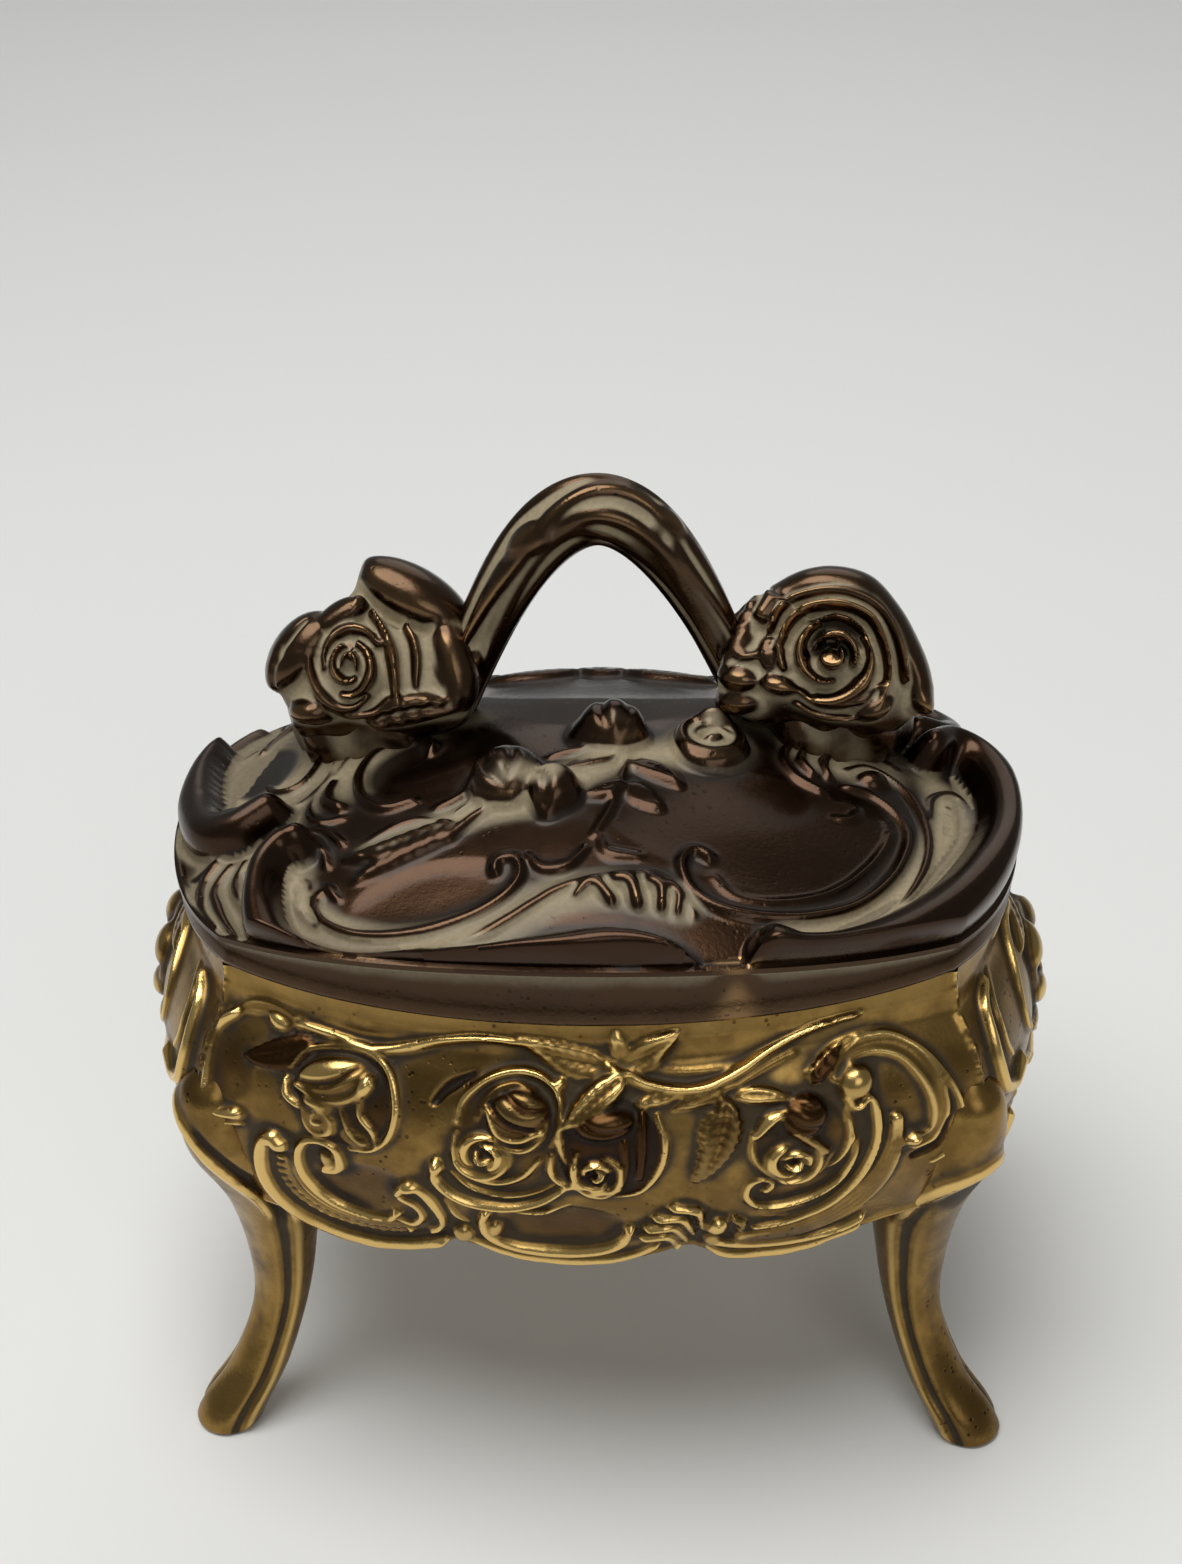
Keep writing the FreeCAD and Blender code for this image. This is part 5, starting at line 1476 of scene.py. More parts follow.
LEFT_KNEE: tuple[Shape, ...] = (
    Stroke(((-6.6, 58.2), (-3.6, 57.2), (-0.6, 54.8), (1.8, 51.0), (3.4, 46.4), (4.4, 41.0), (4.6, 36.4)),
            1.0, 0.9, (0.7, 0.3), ROUND),
    Stroke(((1.4, 54.4), (3.6, 50.0), (5.0, 45.0), (5.8, 40.0), (5.8, 36.0)),
            0.9, 0.8, (0.5, 0.4), GROOVE, dark=0.5),
    Stroke(((7.6, 46.0), (7.8, 41.0), (7.2, 36.0)), 0.8, 0.6, (0.4, 0.5), ROUND),
)
RIGHT_KNEE: tuple[Shape, ...] = (
    Stroke(((-5.8, 38.4), (-5.6, 42.0), (-4.4, 45.8), (-2.0, 48.2), (0.6, 49.0), (2.6, 48.6)),
            1.3, 1.1, (0.4, 0.8), ROUND),
    Lobe((-1.0, 43.0), (3.0, 4.0), -0.25),
    Stroke(((-8.2, 48.0), (-8.0, 43.0), (-7.4, 37.0)), 0.8, 0.7, (0.5, 0.3), GROOVE, dark=0.5),
)


# The lid


LID_FRONT: tuple[Shape, ...] = (
    # Sunk plain fields
    Lobe((20.5, -15.5), (18.5, 10.0), -0.5, -8.0, dark=1.0),
    Lobe((-20.5, -4.5), (10.5, 7.6), -0.45, 12.0, dark=1.0),
    Lobe((-19.0, -26.0), (10.5, 4.0), -0.45, 4.0, dark=0.9),
    Lobe((-45.2, 5.0), (4.9, 8.0), -0.6, dark=0.9),
    Lobe((-1.0, 14.0), (15.0, 11.0), -0.3, dark=1.0),
    # Thick rolled rim at the front
    Stroke(((-36.4, -16.6), (-38.6, -17.2), (-40.4, -20.0), (-40.2, -25.2), (-37.4, -30.2), (-31.0, -34.2),
            (-22.0, -36.2), (-13.0, -36.4), (-5.0, -35.4), (3.0, -34.2), (9.4, -34.6), (14.8, -36.8)),
            3.4, 5.2, (0.6, 0.3), ROUND, dark=0.9),
    Stroke(((22.8, -33.0), (26.0, -33.4), (31.6, -32.0), (38.6, -28.2), (45.4, -22.2), (50.6, -14.6),
            (53.4, -6.6), (53.4, 1.6), (51.0, 8.0), (47.2, 9.6), (44.4, 6.4)),
            3.6, 6.0, (0.85, 0.75), ROUND, dark=0.9),
    Stroke(((43.6, 14.4), (46.6, 15.4), (48.2, 18.4), (46.8, 22.0), (43.4, 24.6)),
            3.0, 4.4, (0.8, 0.7), ROUND, dark=0.9),
    Stroke(((-41.4, -9.8), (-45.6, -11.4), (-49.6, -9.8), (-52.0, -5.0), (-52.8, 0.4), (-52.6, 7.0),
            (-51.4, 13.0)), 3.1, 5.0, (0.8, 0.3), ROUND, dark=0.9),
    Stroke(((-54.4, -1.0), (-54.2, 5.0), (-52.4, 14.0), (-48.8, 23.0)),
            1.8, 2.2, (0.9, 0.7), ROUND, dark=0.5),
    Lobe((-46.6, -10.6), (5.4, 3.4), 4.6, -6.0, dark=0.9),
    Lobe((24.6, -32.8), (3.2, 3.2), 4.4, dark=0.8),
    Lobe((-36.8, -16.6), (2.4, 2.4), 3.4, dark=0.6),
    # Lines of the left cartouche
    Stroke(((-47.6, 14.0), (-51.0, 8.0), (-51.4, 1.0), (-49.4, -4.4), (-46.4, -6.2)),
            0.8, 1.0, (0.4, 0.5)),
    Stroke(((-39.2, 12.0), (-37.4, 6.0), (-37.4, 0.0), (-39.4, -3.8), (-42.2, -3.6), (-43.8, -1.2)),
            0.9, 1.3, (0.4, 0.7)),
    Stroke(((-42.2, -6.6), (-38.6, -7.4), (-35.6, -4.0), (-34.9, 1.2)), 0.5, 0.9, (0.3, 0.3)),
    # Left upper C with its commas
    Stroke(((-22.8, 2.4), (-26.6, 2.2), (-29.6, 0.0), (-30.9, -4.4), (-30.0, -9.2), (-26.8, -12.2),
            (-22.8, -11.6)), 0.85, 1.3, (0.5, 0.6)),
    Stroke(((-24.8, 4.6), (-29.4, 4.4), (-32.8, 1.2), (-34.4, -3.4)), 0.5, 1.0, (0.3, 0.4)),
    Stroke(((-34.2, -4.6), (-34.6, -8.4), (-32.6, -10.6)), 1.2, 1.3, (0.4, 0.8), ROUND),
    Stroke(((-36.2, -5.8), (-37.0, -9.6), (-35.2, -12.2), (-31.8, -12.4)), 0.6, 1.1),
    Stroke(((-24.0, 2.6), (-21.4, 0.4), (-21.8, -1.6)), 0.8, 1.2, (0.8, 0.4), ROUND),
    # Head of the front scroll and the acanthus of the left corner
    Stroke(((-41.6, -14.9), (-38.6, -13.2), (-34.6, -13.8), (-31.4, -17.0)), 0.7, 1.2, (0.5, 0.4)),
    Stroke(((-36.6, -15.4), (-34.0, -17.2), (-33.2, -20.0)), 0.6, 1.3, (0.5, 0.4)),
    Lobe((-42.4, -17.4), (1.5, 1.6), 1.7),
    Stroke(((-44.4, -15.6), (-45.2, -18.8), (-43.6, -22.0), (-41.8, -24.2)), 1.1, 1.5, (0.6, 0.5)),
    Stroke(((-46.4, -15.4), (-48.0, -18.6), (-46.4, -22.6), (-43.6, -26.4)), 1.1, 1.6, (0.6, 0.4)),
    Stroke(((-48.2, -14.6), (-50.0, -16.8), (-49.2, -20.6), (-46.6, -24.2)), 1.0, 1.5, (0.7, 0.4)),
    Stroke(((-46.0, -13.4), (-49.0, -14.2), (-51.2, -15.4)), 0.9, 1.3, (0.4, 0.5)),
    # Ring drops and line scroll inside the front rim
    Stroke(((-37.4, -20.6), (-35.6, -22.4), (-35.4, -24.6), (-33.4, -27.2)),
            1.1, 0.9, (0.8, 0.7), HOLED, count=6),
    Stroke(((-31.4, -24.6), (-32.6, -23.0), (-34.0, -24.6), (-32.4, -27.4), (-27.8, -29.8), (-21.2, -30.7),
            (-14.6, -29.7), (-10.2, -27.6), (-8.2, -25.0), (-9.0, -22.6), (-11.2, -22.8), (-11.4, -24.2)),
            0.7, 1.3, (0.6, 0.8)),
    Stroke(((-34.6, -29.0), (-28.4, -32.0), (-21.0, -32.9), (-13.6, -32.2), (-8.6, -30.0), (-3.6, -27.0),
            (2.0, -25.3), (7.4, -24.7), (11.2, -26.0), (13.6, -29.4)), 0.6, 1.1, (0.3, 0.5)),
    Stroke(((-20.0, -31.7), (-12.0, -30.9), (-6.8, -28.4), (-2.2, -26.4)), 0.4, 0.7, (0.3, 0.3)),
    # Twin long leaves, their stalk and the two round buds
    Leaf((-16.8, -16.6), (-31.6, -19.4), 1.9, 1.5, 1.3, 8, 0.03),
    Leaf((-16.8, -18.4), (-29.8, -23.2), 1.4, 1.4, -0.5, 8, 0.03),
    Stroke(((-29.8, -18.0), (-23.0, -15.2), (-16.4, -16.8)), 0.35, 1.2, (0.3, 0.6)),
    Stroke(((-17.6, -19.0), (-14.6, -16.0), (-11.6, -14.2), (-8.0, -13.4), (-3.8, -8.8), (2.6, -6.4),
            (4.4, -2.2)), 0.8, 1.1, (0.9, 0.6), ROUND),
    Stroke(((-20.0, -13.8), (-16.6, -12.4), (-14.8, -9.4)), 0.9, 1.2, (0.3, 0.8)),
    Stroke(((-17.4, -15.2), (-14.6, -13.6), (-12.4, -14.6), (-9.4, -14.9)), 0.7, 1.3, (0.4, 0.5)),
    Lobe((-10.8, -10.2), (5.2, 4.8), 4.8, 25.0),
    Stroke(((-13.4, -8.0), (-13.0, -11.2), (-10.6, -13.8)), 0.7, 1.0, (0.4, 0.5), GROOVE, dark=0.3),
    Stroke(((-10.0, -7.4), (-9.4, -10.4), (-10.2, -13.4)), 0.5, 0.8, (0.3, 0.5), GROOVE, dark=0.3),
    Lobe((-4.6, -12.8), (3.7, 3.7), 4.2),
    Stroke(((-6.8, -11.6), (-5.4, -13.2), (-5.6, -16.2)), 0.55, 0.9, (0.4, 0.6), GROOVE, dark=0.3),
    Stroke(((-7.6, -14.4), (-5.6, -16.6), (-2.8, -15.6)), 0.7, 1.8, (0.4, 0.5)),
    # Upright bud, open rose and the leaves between them
    Lobe((2.4, -0.6), (5.0, 4.4), 5.4),
    Stroke(((1.4, 2.2), (1.0, -0.8), (2.0, -3.8)), 0.6, 1.2, (0.4, 0.5), GROOVE, dark=0.3),
    Stroke(((4.2, 2.0), (4.6, -0.8), (3.6, -3.8)), 0.5, 1.0, (0.4, 0.5), GROOVE, dark=0.3),
    Stroke(((-2.2, 2.6), (-2.6, -0.8), (-0.8, -3.2), (2.4, -4.0)), 1.0, 2.4, (0.4, 0.6)),
    Stroke(((-5.8, -5.4), (-3.0, -4.6), (0.6, -4.4), (3.0, -3.0)), 0.9, 1.4, (0.3, 0.6)),
    Leaf((3.6, -4.6), (-4.4, -7.6), 1.1, 1.1, 0.3, 5, 0.03),
    Lobe((15.3, -1.0), (4.9, 5.0), 3.4, bowl=True),
    RolledHeart((15.3, -1.6), (4.6, 4.4), 4, 100.0),
    Lobe((15.6, 2.2), (3.0, 1.4), 4.3),
    Lobe((15.2, -2.6), (1.0, 0.9), 3.4),
    Stroke(((11.4, 1.4), (10.9, -2.2), (12.6, -5.6), (16.0, -6.4), (19.4, -4.4)), 0.8, 2.2),
    Stroke(((4.4, -1.8), (4.6, -6.0), (3.8, -10.4), (2.6, -15.4), (0.6, -19.6)),
            0.45, 0.9, (0.7, 0.4), ROUND),
    Leaf((4.8, -6.4), (12.0, -10.4), 1.6, 0.9, 0.5, 6, 0.03),
    Leaf((4.4, -10.6), (-1.4, -13.4), 1.5, 1.2, 0.4, 5, 0.03),
    Leaf((4.6, -10.4), (9.6, -14.6), 1.8, 0.35, -0.4, 5, 0.03),
    Stroke(((-7.6, -22.2), (-5.4, -24.2), (-2.2, -23.8), (0.0, -21.2)), 1.0, 1.0, (0.3, 0.3)),
    Stroke(((1.4, -19.4), (2.6, -22.0), (6.8, -22.4)), 0.9, 0.8, (0.3, 0.4)),
    # Nested commas in the middle of the front
    Stroke(((-1.4, -27.8), (1.0, -26.2), (3.2, -28.2)), 0.9, 1.3, (0.3, 0.8), ROUND),
    Stroke(((3.4, -25.8), (5.4, -26.0), (6.4, -28.4)), 1.2, 1.6, (0.5, 0.7), ROUND),
    Stroke(((7.6, -25.6), (9.2, -26.4), (9.4, -28.8)), 1.0, 1.5, (0.5, 0.6), ROUND),
    Stroke(((10.0, -26.0), (11.4, -27.2), (11.4, -29.2)), 0.8, 1.3, (0.5, 0.5), ROUND),
    # Right field: nested C lines, shell leaves, notched loop
    Stroke(((15.4, -21.6), (13.2, -20.7), (11.7, -22.8), (12.8, -26.0), (16.2, -28.0), (21.6, -28.4),
            (28.0, -27.2), (34.0, -24.2), (38.6, -18.8), (40.9, -12.6), (40.0, -8.6), (37.0, -6.0),
            (33.0, -5.2)), 0.75, 1.4, (0.8, 0.5)),
    Stroke(((15.6, -23.8), (18.6, -26.4), (24.0, -26.2), (30.4, -23.6), (35.4, -18.6), (38.4, -13.0),
            (38.2, -9.6)), 0.45, 0.9, (0.4, 0.3)),
    Stroke(((24.6, -30.2), (31.4, -28.6), (37.8, -24.4), (42.0, -18.0), (43.6, -11.4), (42.6, -5.2),
            (40.0, -1.2), (36.2, 0.6), (33.2, -1.6)), 0.7, 1.3, (0.3, 0.6)),
    Stroke(((30.2, -7.4), (26.8, -5.6), (25.2, -2.0), (26.2, 1.9), (29.6, 4.3), (35.4, 4.4), (40.6, 2.8)),
            0.8, 1.4, (0.5, 0.4)),
    Stroke(((27.6, 0.6), (27.4, -2.4), (28.8, -4.8)), 1.0, 1.5, (0.4, 0.7), ROUND),
    Stroke(((31.4, 1.6), (30.2, -1.6), (31.0, -4.2)), 0.9, 1.4, (0.4, 0.6), ROUND),
    Lobe((36.8, -3.0), (2.4, 2.0), 1.9, 10.0),
    Stroke(((32.2, -8.6), (34.4, -9.0), (33.8, -11.2), (31.6, -11.6)), 0.5, 0.7),
    Stroke(((44.2, -7.0), (44.8, -2.4), (47.4, 0.4), (49.4, -0.8), (49.6, -5.4), (48.0, -11.4),
            (44.8, -17.0), (41.8, -21.2)), 0.7, 1.2, (0.5, 0.4)),
    Stroke(((46.9, -3.4), (46.6, -8.2), (44.8, -13.6)), 1.0, 0.8, (0.6, 0.5), HOLED, count=9),
)

LID_DUST: tuple[Shape, ...] = (
    # where powder has settled: the left third, inside both front rolls, round the sprig and by the roses
    Lobe((-45.0, 2.0), (12.0, 20.0), 1.0),
    Lobe((-33.0, 2.0), (9.0, 13.0), 1.0),
    Lobe((-24.0, 7.0), (13.0, 5.5), 1.0),
    Lobe((-44.0, -19.0), (7.0, 7.5), 1.0),
    Stroke(((-37.6, -19.0), (-35.6, -25.0), (-30.0, -29.6), (-21.0, -32.2), (-12.0, -31.2), (-4.0, -28.0),
            (4.0, -26.8), (12.6, -28.4)), 2.7, 1.0, (0.9, 0.9), BAND),
    Stroke(((24.0, -30.6), (33.0, -27.4), (40.8, -21.0), (45.2, -13.0), (46.8, -5.0), (45.6, 2.0)),
            3.3, 1.0, (0.7, 0.9), BAND),
    Stroke(((-28.0, -19.0), (-16.0, -15.6), (-7.0, -13.0), (2.0, -6.0), (9.0, -4.0), (15.0, -3.6)),
            3.6, 1.0, (0.5, 0.9), BAND),
    Lobe((33.5, 1.0), (9.5, 5.5), 1.0),
    Lobe((30.0, 8.0), (15.0, 6.5), 1.0),
    Lobe((15.3, -1.0), (6.6, 6.8), 1.0),
)

LID_BACK: tuple[Shape, ...] = (
    Lobe((0.0, 22.0), (24.0, 9.0), -0.45),
    *both_sides(Stroke(((-44.8, 27.2), (-38.0, 31.0), (-30.0, 34.2), (-22.0, 36.0), (-16.0, 36.6)),
                        2.9, 0.9, (0.8, 0.5), ROUND, dark=0.9)),
    Stroke(((-24.0, 18.0), (-28.6, 21.0), (-27.4, 26.6), (-20.0, 30.2), (-10.0, 31.4), (0.0, 29.4),
            (10.0, 31.4), (20.0, 30.2), (27.4, 26.6), (28.6, 21.0), (24.0, 18.0)), 0.8, 0.7, (0.6, 0.6)),
    *both_sides(Stroke(((-30.0, 15.6), (-33.0, 21.6), (-31.4, 28.0), (-24.0, 32.4)),
                        0.6, 1.1, (0.3, 0.3))),
    *both_sides(Stroke(((-47.0, 12.0), (-44.0, 18.6), (-38.4, 23.0), (-35.6, 20.4), (-37.4, 17.6)),
                        0.9, 1.4, (0.4, 0.7))),
    Leaf((-3.0, 29.0), (-17.0, 25.4), 2.2, 1.1, 1.0, 9, 0.04),
    Leaf((3.0, 29.0), (17.0, 25.4), 2.2, 1.1, -1.0, 9, 0.04),
    Lobe((0.0, 30.4), (3.6, 3.4), 1.2, bowl=True),
    Whorl((0.0, 30.4), 2.6, 1.4, 1.8, 20.0),
)


@dataclass
class LidDome:
    """The cast lid: a dome with ornament, thick rolls at its rim and a plain skirt."""

    piece: Piece
    columns: int = 330
    rows: int = 236
    front_radius: float = 103.38
    front_centre: float = 63.68
    end_radius: float = 52.33
    end_centre: float = 3.17
    crest: float = 95.0
    arc_long: float = 125.0
    arc_cross: float = 85.0
    arc_back: float = 68.0
    drawn_cross: float = 58.0
    sight: float = 0.65
    dulled: float = 0.42
    browned: float = 0.9
    wall: float = 2.0
    ground: float = -0.9
    shoulder: float = 0.036
    rounded: float = 0.03
    start: Point = CORNER
    rounds: int = 8
    fine_height: float = 2.2
    ridge_reach: int = 4
    dust_spread: int = 4
    # middle, half widths and added shine of the worn place between the two front rolls
    patch: Point = (18.4, -37.0)
    patch_half: Point = (2.4, 4.0)
    patch_shine: float = 1.2
    # distance out, distance down and ridge value of each row under the rolled rim; the low ridge values are
    # painted shade in the crease under the roll
    under: Sequence[Spot] = ((0.6, 0.3, 0.1), (0.6, 1.0, 0.0), (-0.7, 1.7, -0.7), (-0.75, 2.2, -0.3))
    under_low: float = 78.6
    half_depth: float = 37.0
    # inset and height of each row of the skirt
    skirt: Sequence[Point] = (
        (0.45, 78.2), (-0.2, 77.2), (-0.1, 76.5), (0.2, 76.25), (1.7, 76.25), (2.0, 76.6),
    )
    skirt_rub: float = 0.38
    skirt_top: float = 84.4
    skirt_stain: float = 0.25
    skirt_patch: float = 2.2
    skirt_shine: float = 0.6
    inside: Sequence[float] = (0.985, 0.8, 0.55, 0.25, 0.05)

    def plan(self, a: Array, b: Array, inset: float = 0.0) -> tuple[Array, Array]:
        """Plan places of the grid inside the bowed outline.

        Args:
            a: Place across.
            b: Place from front to back.
            inset: Distance inside the lid's edge.

        Returns:
            The two plan coordinates.
        """
        x, y = a * self.start[0], b * self.start[1]
        for _ in range(self.rounds):
            x = a * (self.end_centre + np.sqrt((self.end_radius - inset) ** 2 - y**2))
            y = b * (np.sqrt((self.front_radius - inset) ** 2 - x**2) - self.front_centre)
        pull = 1 - self.rounded * (a * b) ** 6
        return x * pull, y * pull

    def place(self, x: Array, y: Array, lift: Array) -> Array:
        """Points on the dome or off it.

        Args:
            x: Plan coordinate along the box.
            y: Plan coordinate across it.
            lift: Distance off the dome.

        Returns:
            Points.
        """
        ring_x = np.sqrt(self.arc_long**2 - x**2)
        arc = np.where(y > 0, self.arc_back, self.arc_cross)
        cross = ring_x - self.arc_long + arc
        up = np.sqrt(np.maximum(cross**2 - y**2, 1.0))
        slope_x = -cross * x / ring_x / up
        slope_y = -y / up
        norm = np.sqrt(1 + slope_x**2 + slope_y**2)
        z = self.crest - arc + up
        off = lift / norm
        return np.stack([x - off * slope_x, y - off * slope_y, z + off], axis=-1)

    def drawn(self, x: Array, y: Array) -> Array:
        """Where the ornament of a point was drawn: on a steeper dome, as it shows from the front.

        Args:
            x: Plan coordinate along the box.
            y: Plan coordinate across it.

        Returns:
            The drawn coordinate across the box.
        """
        fall = np.sqrt(self.arc_long**2 - x**2) - self.arc_long
        flat = np.sqrt((fall + self.arc_cross) ** 2 - y**2) - self.arc_cross
        steep = np.sqrt(np.maximum((fall + self.drawn_cross) ** 2 - y**2, 1.0))
        front = np.minimum(y, 0.0)
        shift = (flat - steep + self.drawn_cross) / (self.sight - front / steep)
        return y + np.where(y < 0, shift, 0.0)

    def build(self, material: Finish) -> Thing:
        """Casts the lid.

        Args:
            material: Its finish.

        Returns:
            The object.
        """
        bm, a, b = laid_grid(self.columns, self.rows)
        x, y = self.plan(a, b)
        relief = Relief(x, self.drawn(x, y))
        relief.draw(LID_FRONT)
        relief.draw(LID_BACK)
        relief.height = spread_out(relief.height, 1)
        fine = Relief(x, y)
        fine.height = np.minimum(relief.height, self.fine_height)
        powder = Relief(x, self.drawn(x, y))
        powder.draw(LID_DUST)
        dusty = np.clip(spread_out(powder.height, self.dust_spread), 0.0, 1.0)
        stain = np.maximum(relief.stain, self.browned * (1 - dusty))
        ridge = fine.ridges(self.ridge_reach, 1.0) - self.dulled * dusty
        worn = swelling(x, self.patch[0], self.patch_half[0])
        worn = worn * swelling(y, self.patch[1], self.patch_half[1])
        ridge = np.clip(ridge + self.patch_shine * worn, -1.0, 1.0)
        inward = np.clip((1 - np.maximum(np.abs(a), np.abs(b))) / self.shoulder, 0.0, 1.0)
        lift = (relief.height + self.ground) * np.sqrt(1 - (1 - inward) ** 2)
        lay(bm, self.place(x, y, lift), {"lift": lift, "ridge": ridge, "stain": stain})
        edges = open_edges(bm)
        # The rows under the roll carry ridge values that paint shade into the crease below it.
        for *row, row_light_and_shade in self.under:
            edges = ring(bm, edges, lambda a, b, lift, row=row: self._under_roll(a, b, *row), row_light_and_shade)
        for row in self.skirt:
            edges = ring(bm, edges, lambda a, b, lift, row=row: self.level(a, b, *row), self.skirt_rub)
        close_behind(bm, edges, self.inside, self._hollow, BACK_SHADE)
        self._wear_skirt(bm)
        return self.piece.deliver(bm, material)

    def level(self, a: Array, b: Array, inset: float, height: float) -> Array:
        """Places inside the bowed outline at one height."""
        x, y = self.plan(a, b, inset)
        return np.stack([x, y, np.full_like(x, height)], axis=-1)

    def _wear_skirt(self, bm: Mesh) -> None:
        """Paints the skirt brown, worn to bare metal in the gap between the two front rolls.

        Args:
            bm: The lid's mesh.
        """
        layers = marks(bm)
        for vert in bm.verts:
            if vert.co.z < self.skirt_top:
                worn = swelling(vert.co.x, self.patch[0], self.skirt_patch) if vert.co.y < 0 else 0.0
                vert[layers["stain"]] = self.skirt_stain * (1 - worn)
                vert[layers["ridge"]] += self.skirt_shine * worn

    def _under_roll(self, a: Array, b: Array, out: float, drop: float) -> Array:
        """Places round the underside of the rolled rim.

        Args:
            a: Place across.
            b: Place from front to back.
            out: Distance that the row stands out.
            drop: Distance that it lies under the dome's edge.

        Returns:
            Points.
        """
        x, y = self.plan(a, b)
        edge = self.place(x, y, np.zeros_like(x))
        away = np.stack([x / self.end_radius, y / self.half_depth, np.zeros_like(x)], axis=-1)
        away /= np.linalg.norm(away, axis=1)[:, None]
        edge += away * out
        edge[:, 2] = np.maximum(edge[:, 2] - drop, self.under_low)
        return edge

    def _hollow(self, a: Array, b: Array) -> Array:
        """Places on the hollow of the lid."""
        x, y = self.plan(a, b, self.wall)
        return self.place(x, y, np.full_like(x, -self.wall))


# Roses and handle


def joined(parts: Sequence[Mesh]) -> Mesh:
    """One mesh from several.

    Args:
        parts: Meshes, which are freed.

    Returns:
        The joined mesh.
    """
    whole = bmesh.new()
    marks(whole)
    for part in parts:
        carrier = bpy.data.meshes.new("part")
        part.to_mesh(carrier)
        part.free()
        whole.from_mesh(carrier)
        bpy.data.meshes.remove(carrier)
    return whole


@dataclass
class Rose:
    """A rose at a foot of the handle: a cast mass on a mound, with petals in deep relief on its face."""

    piece: Piece
    centre: Spot
    outline: Sequence[Point]
    petals: Sequence[Shape]
    dome: LidDome
    sunk: float = 1.2
    tilt: float = 52.0
    front: float = 5.5
    back: float = 11.0
    inset: float = 0.95
    mound: Spot = (11.6, 14.0, 9.6)
    mound_off: Spot = (0.5, 5.0, -9.6)
    mound_rings: tuple[int, int] = (72, 48)
    columns: int = 220
    rows: int = 150
    per_span: int = 8
    petal_fade: Point = (-0.3, 0.12)
    back_fade: Point = (-0.1, 0.3)
    back_shade: float = 0.5
    flare: Point = (120.0, 90.0)
    ridge_reach: int = 5
    ridge_depth: float = 1.3
    sharp: float = 70.0

    def build(self, material: Finish) -> Thing:
        """Casts the rose.

        Args:
            material: Its finish.

        Returns:
            The object.
        """
        whole = joined([self._face(), self._base()])
        spots = np.array([vert.co for vert in whole.verts])
        ground = self.dome.place(spots[:, 0], spots[:, 1], np.full(len(spots), -self.sunk))
        for vert, height in zip(whole.verts, ground[:, 2]):
            vert.co.z = max(vert.co.z, height)
        return self.piece.deliver(whole, material, self.sharp)

    def _face(self) -> Mesh:
        """The mass with its petals.

        Returns:
            The mesh, closed.
        """
        bm, a, b = laid_grid(self.columns, self.rows)
        phi = math.pi * a
        polar = (b + 1) / 2 * math.pi
        edge = through((*self.outline, self.outline[0]), self.per_span)[:-1]
        bearing = np.arctan2(edge[:, 1], edge[:, 0])
        reach = np.interp(phi, bearing, np.hypot(edge[:, 0], edge[:, 1]), period=2 * math.pi)
        reach = self.inset * reach * np.sin(polar)
        across, up = reach * np.cos(phi), reach * np.sin(phi)
        depth = np.where(polar < math.pi / 2, self.front, self.back)
        relief = Relief(across, up)
        relief.draw(self.petals)
        relief.height *= smooth_share(np.cos(polar), *self.petal_fade)
        relief.height = matched(spread_out(relief.height, 1))
        ridge = matched(relief.ridges(self.ridge_reach, self.ridge_depth))
        ridge = ridge - self.back_shade * smooth_share(-np.cos(polar), *self.back_fade)
        lean = np.stack([across / self.flare[0], up / self.flare[1], np.cos(polar) / depth], axis=-1)
        lean /= np.linalg.norm(lean, axis=-1)[..., None]
        local = np.stack([across, up, depth * np.cos(polar)], axis=-1) + lean * relief.height[..., None]
        lay(bm, self._turned(local), {"ridge": ridge, "stain": relief.stain})
        bmesh.ops.remove_doubles(bm, verts=bm.verts, dist=SEAM)
        bmesh.ops.recalc_face_normals(bm, faces=bm.faces)
        return bm

    def _turned(self, local: Array) -> Array:
        """Points of the face, turned to the front and put in place.

        Args:
            local: Points across, up and out of the face.

        Returns:
            Points on the lid.
        """
        t = math.radians(self.tilt)
        x, up, out = local[..., 0], local[..., 1], local[..., 2]
        y = up * math.cos(t) - out * math.sin(t)
        z = up * math.sin(t) + out * math.cos(t)
        return np.stack([x, y, z], axis=-1) + np.array(self.centre)

    def _base(self) -> Mesh:
        """The mound behind and under the rose.

        Returns:
            The mesh, closed.
        """
        bm = bmesh.new()
        layers = marks(bm)
        around, up = self.mound_rings
        bmesh.ops.create_uvsphere(bm, u_segments=around, v_segments=up, radius=1.0)
        middle = Vector(self.centre) + Vector(self.mound_off)
        for vert in bm.verts:
            turn = math.atan2(vert.co.y, vert.co.x)
            fold = 1 + 0.05 * math.sin(5 * turn + 3 * vert.co.z) + 0.03 * math.sin(11 * turn)
            vert[layers["ridge"]] = 4.0 * (fold - 1) - 0.1
            vert.co = Vector(size * part * fold for size, part in zip(self.mound, vert.co)) + middle
        return bm


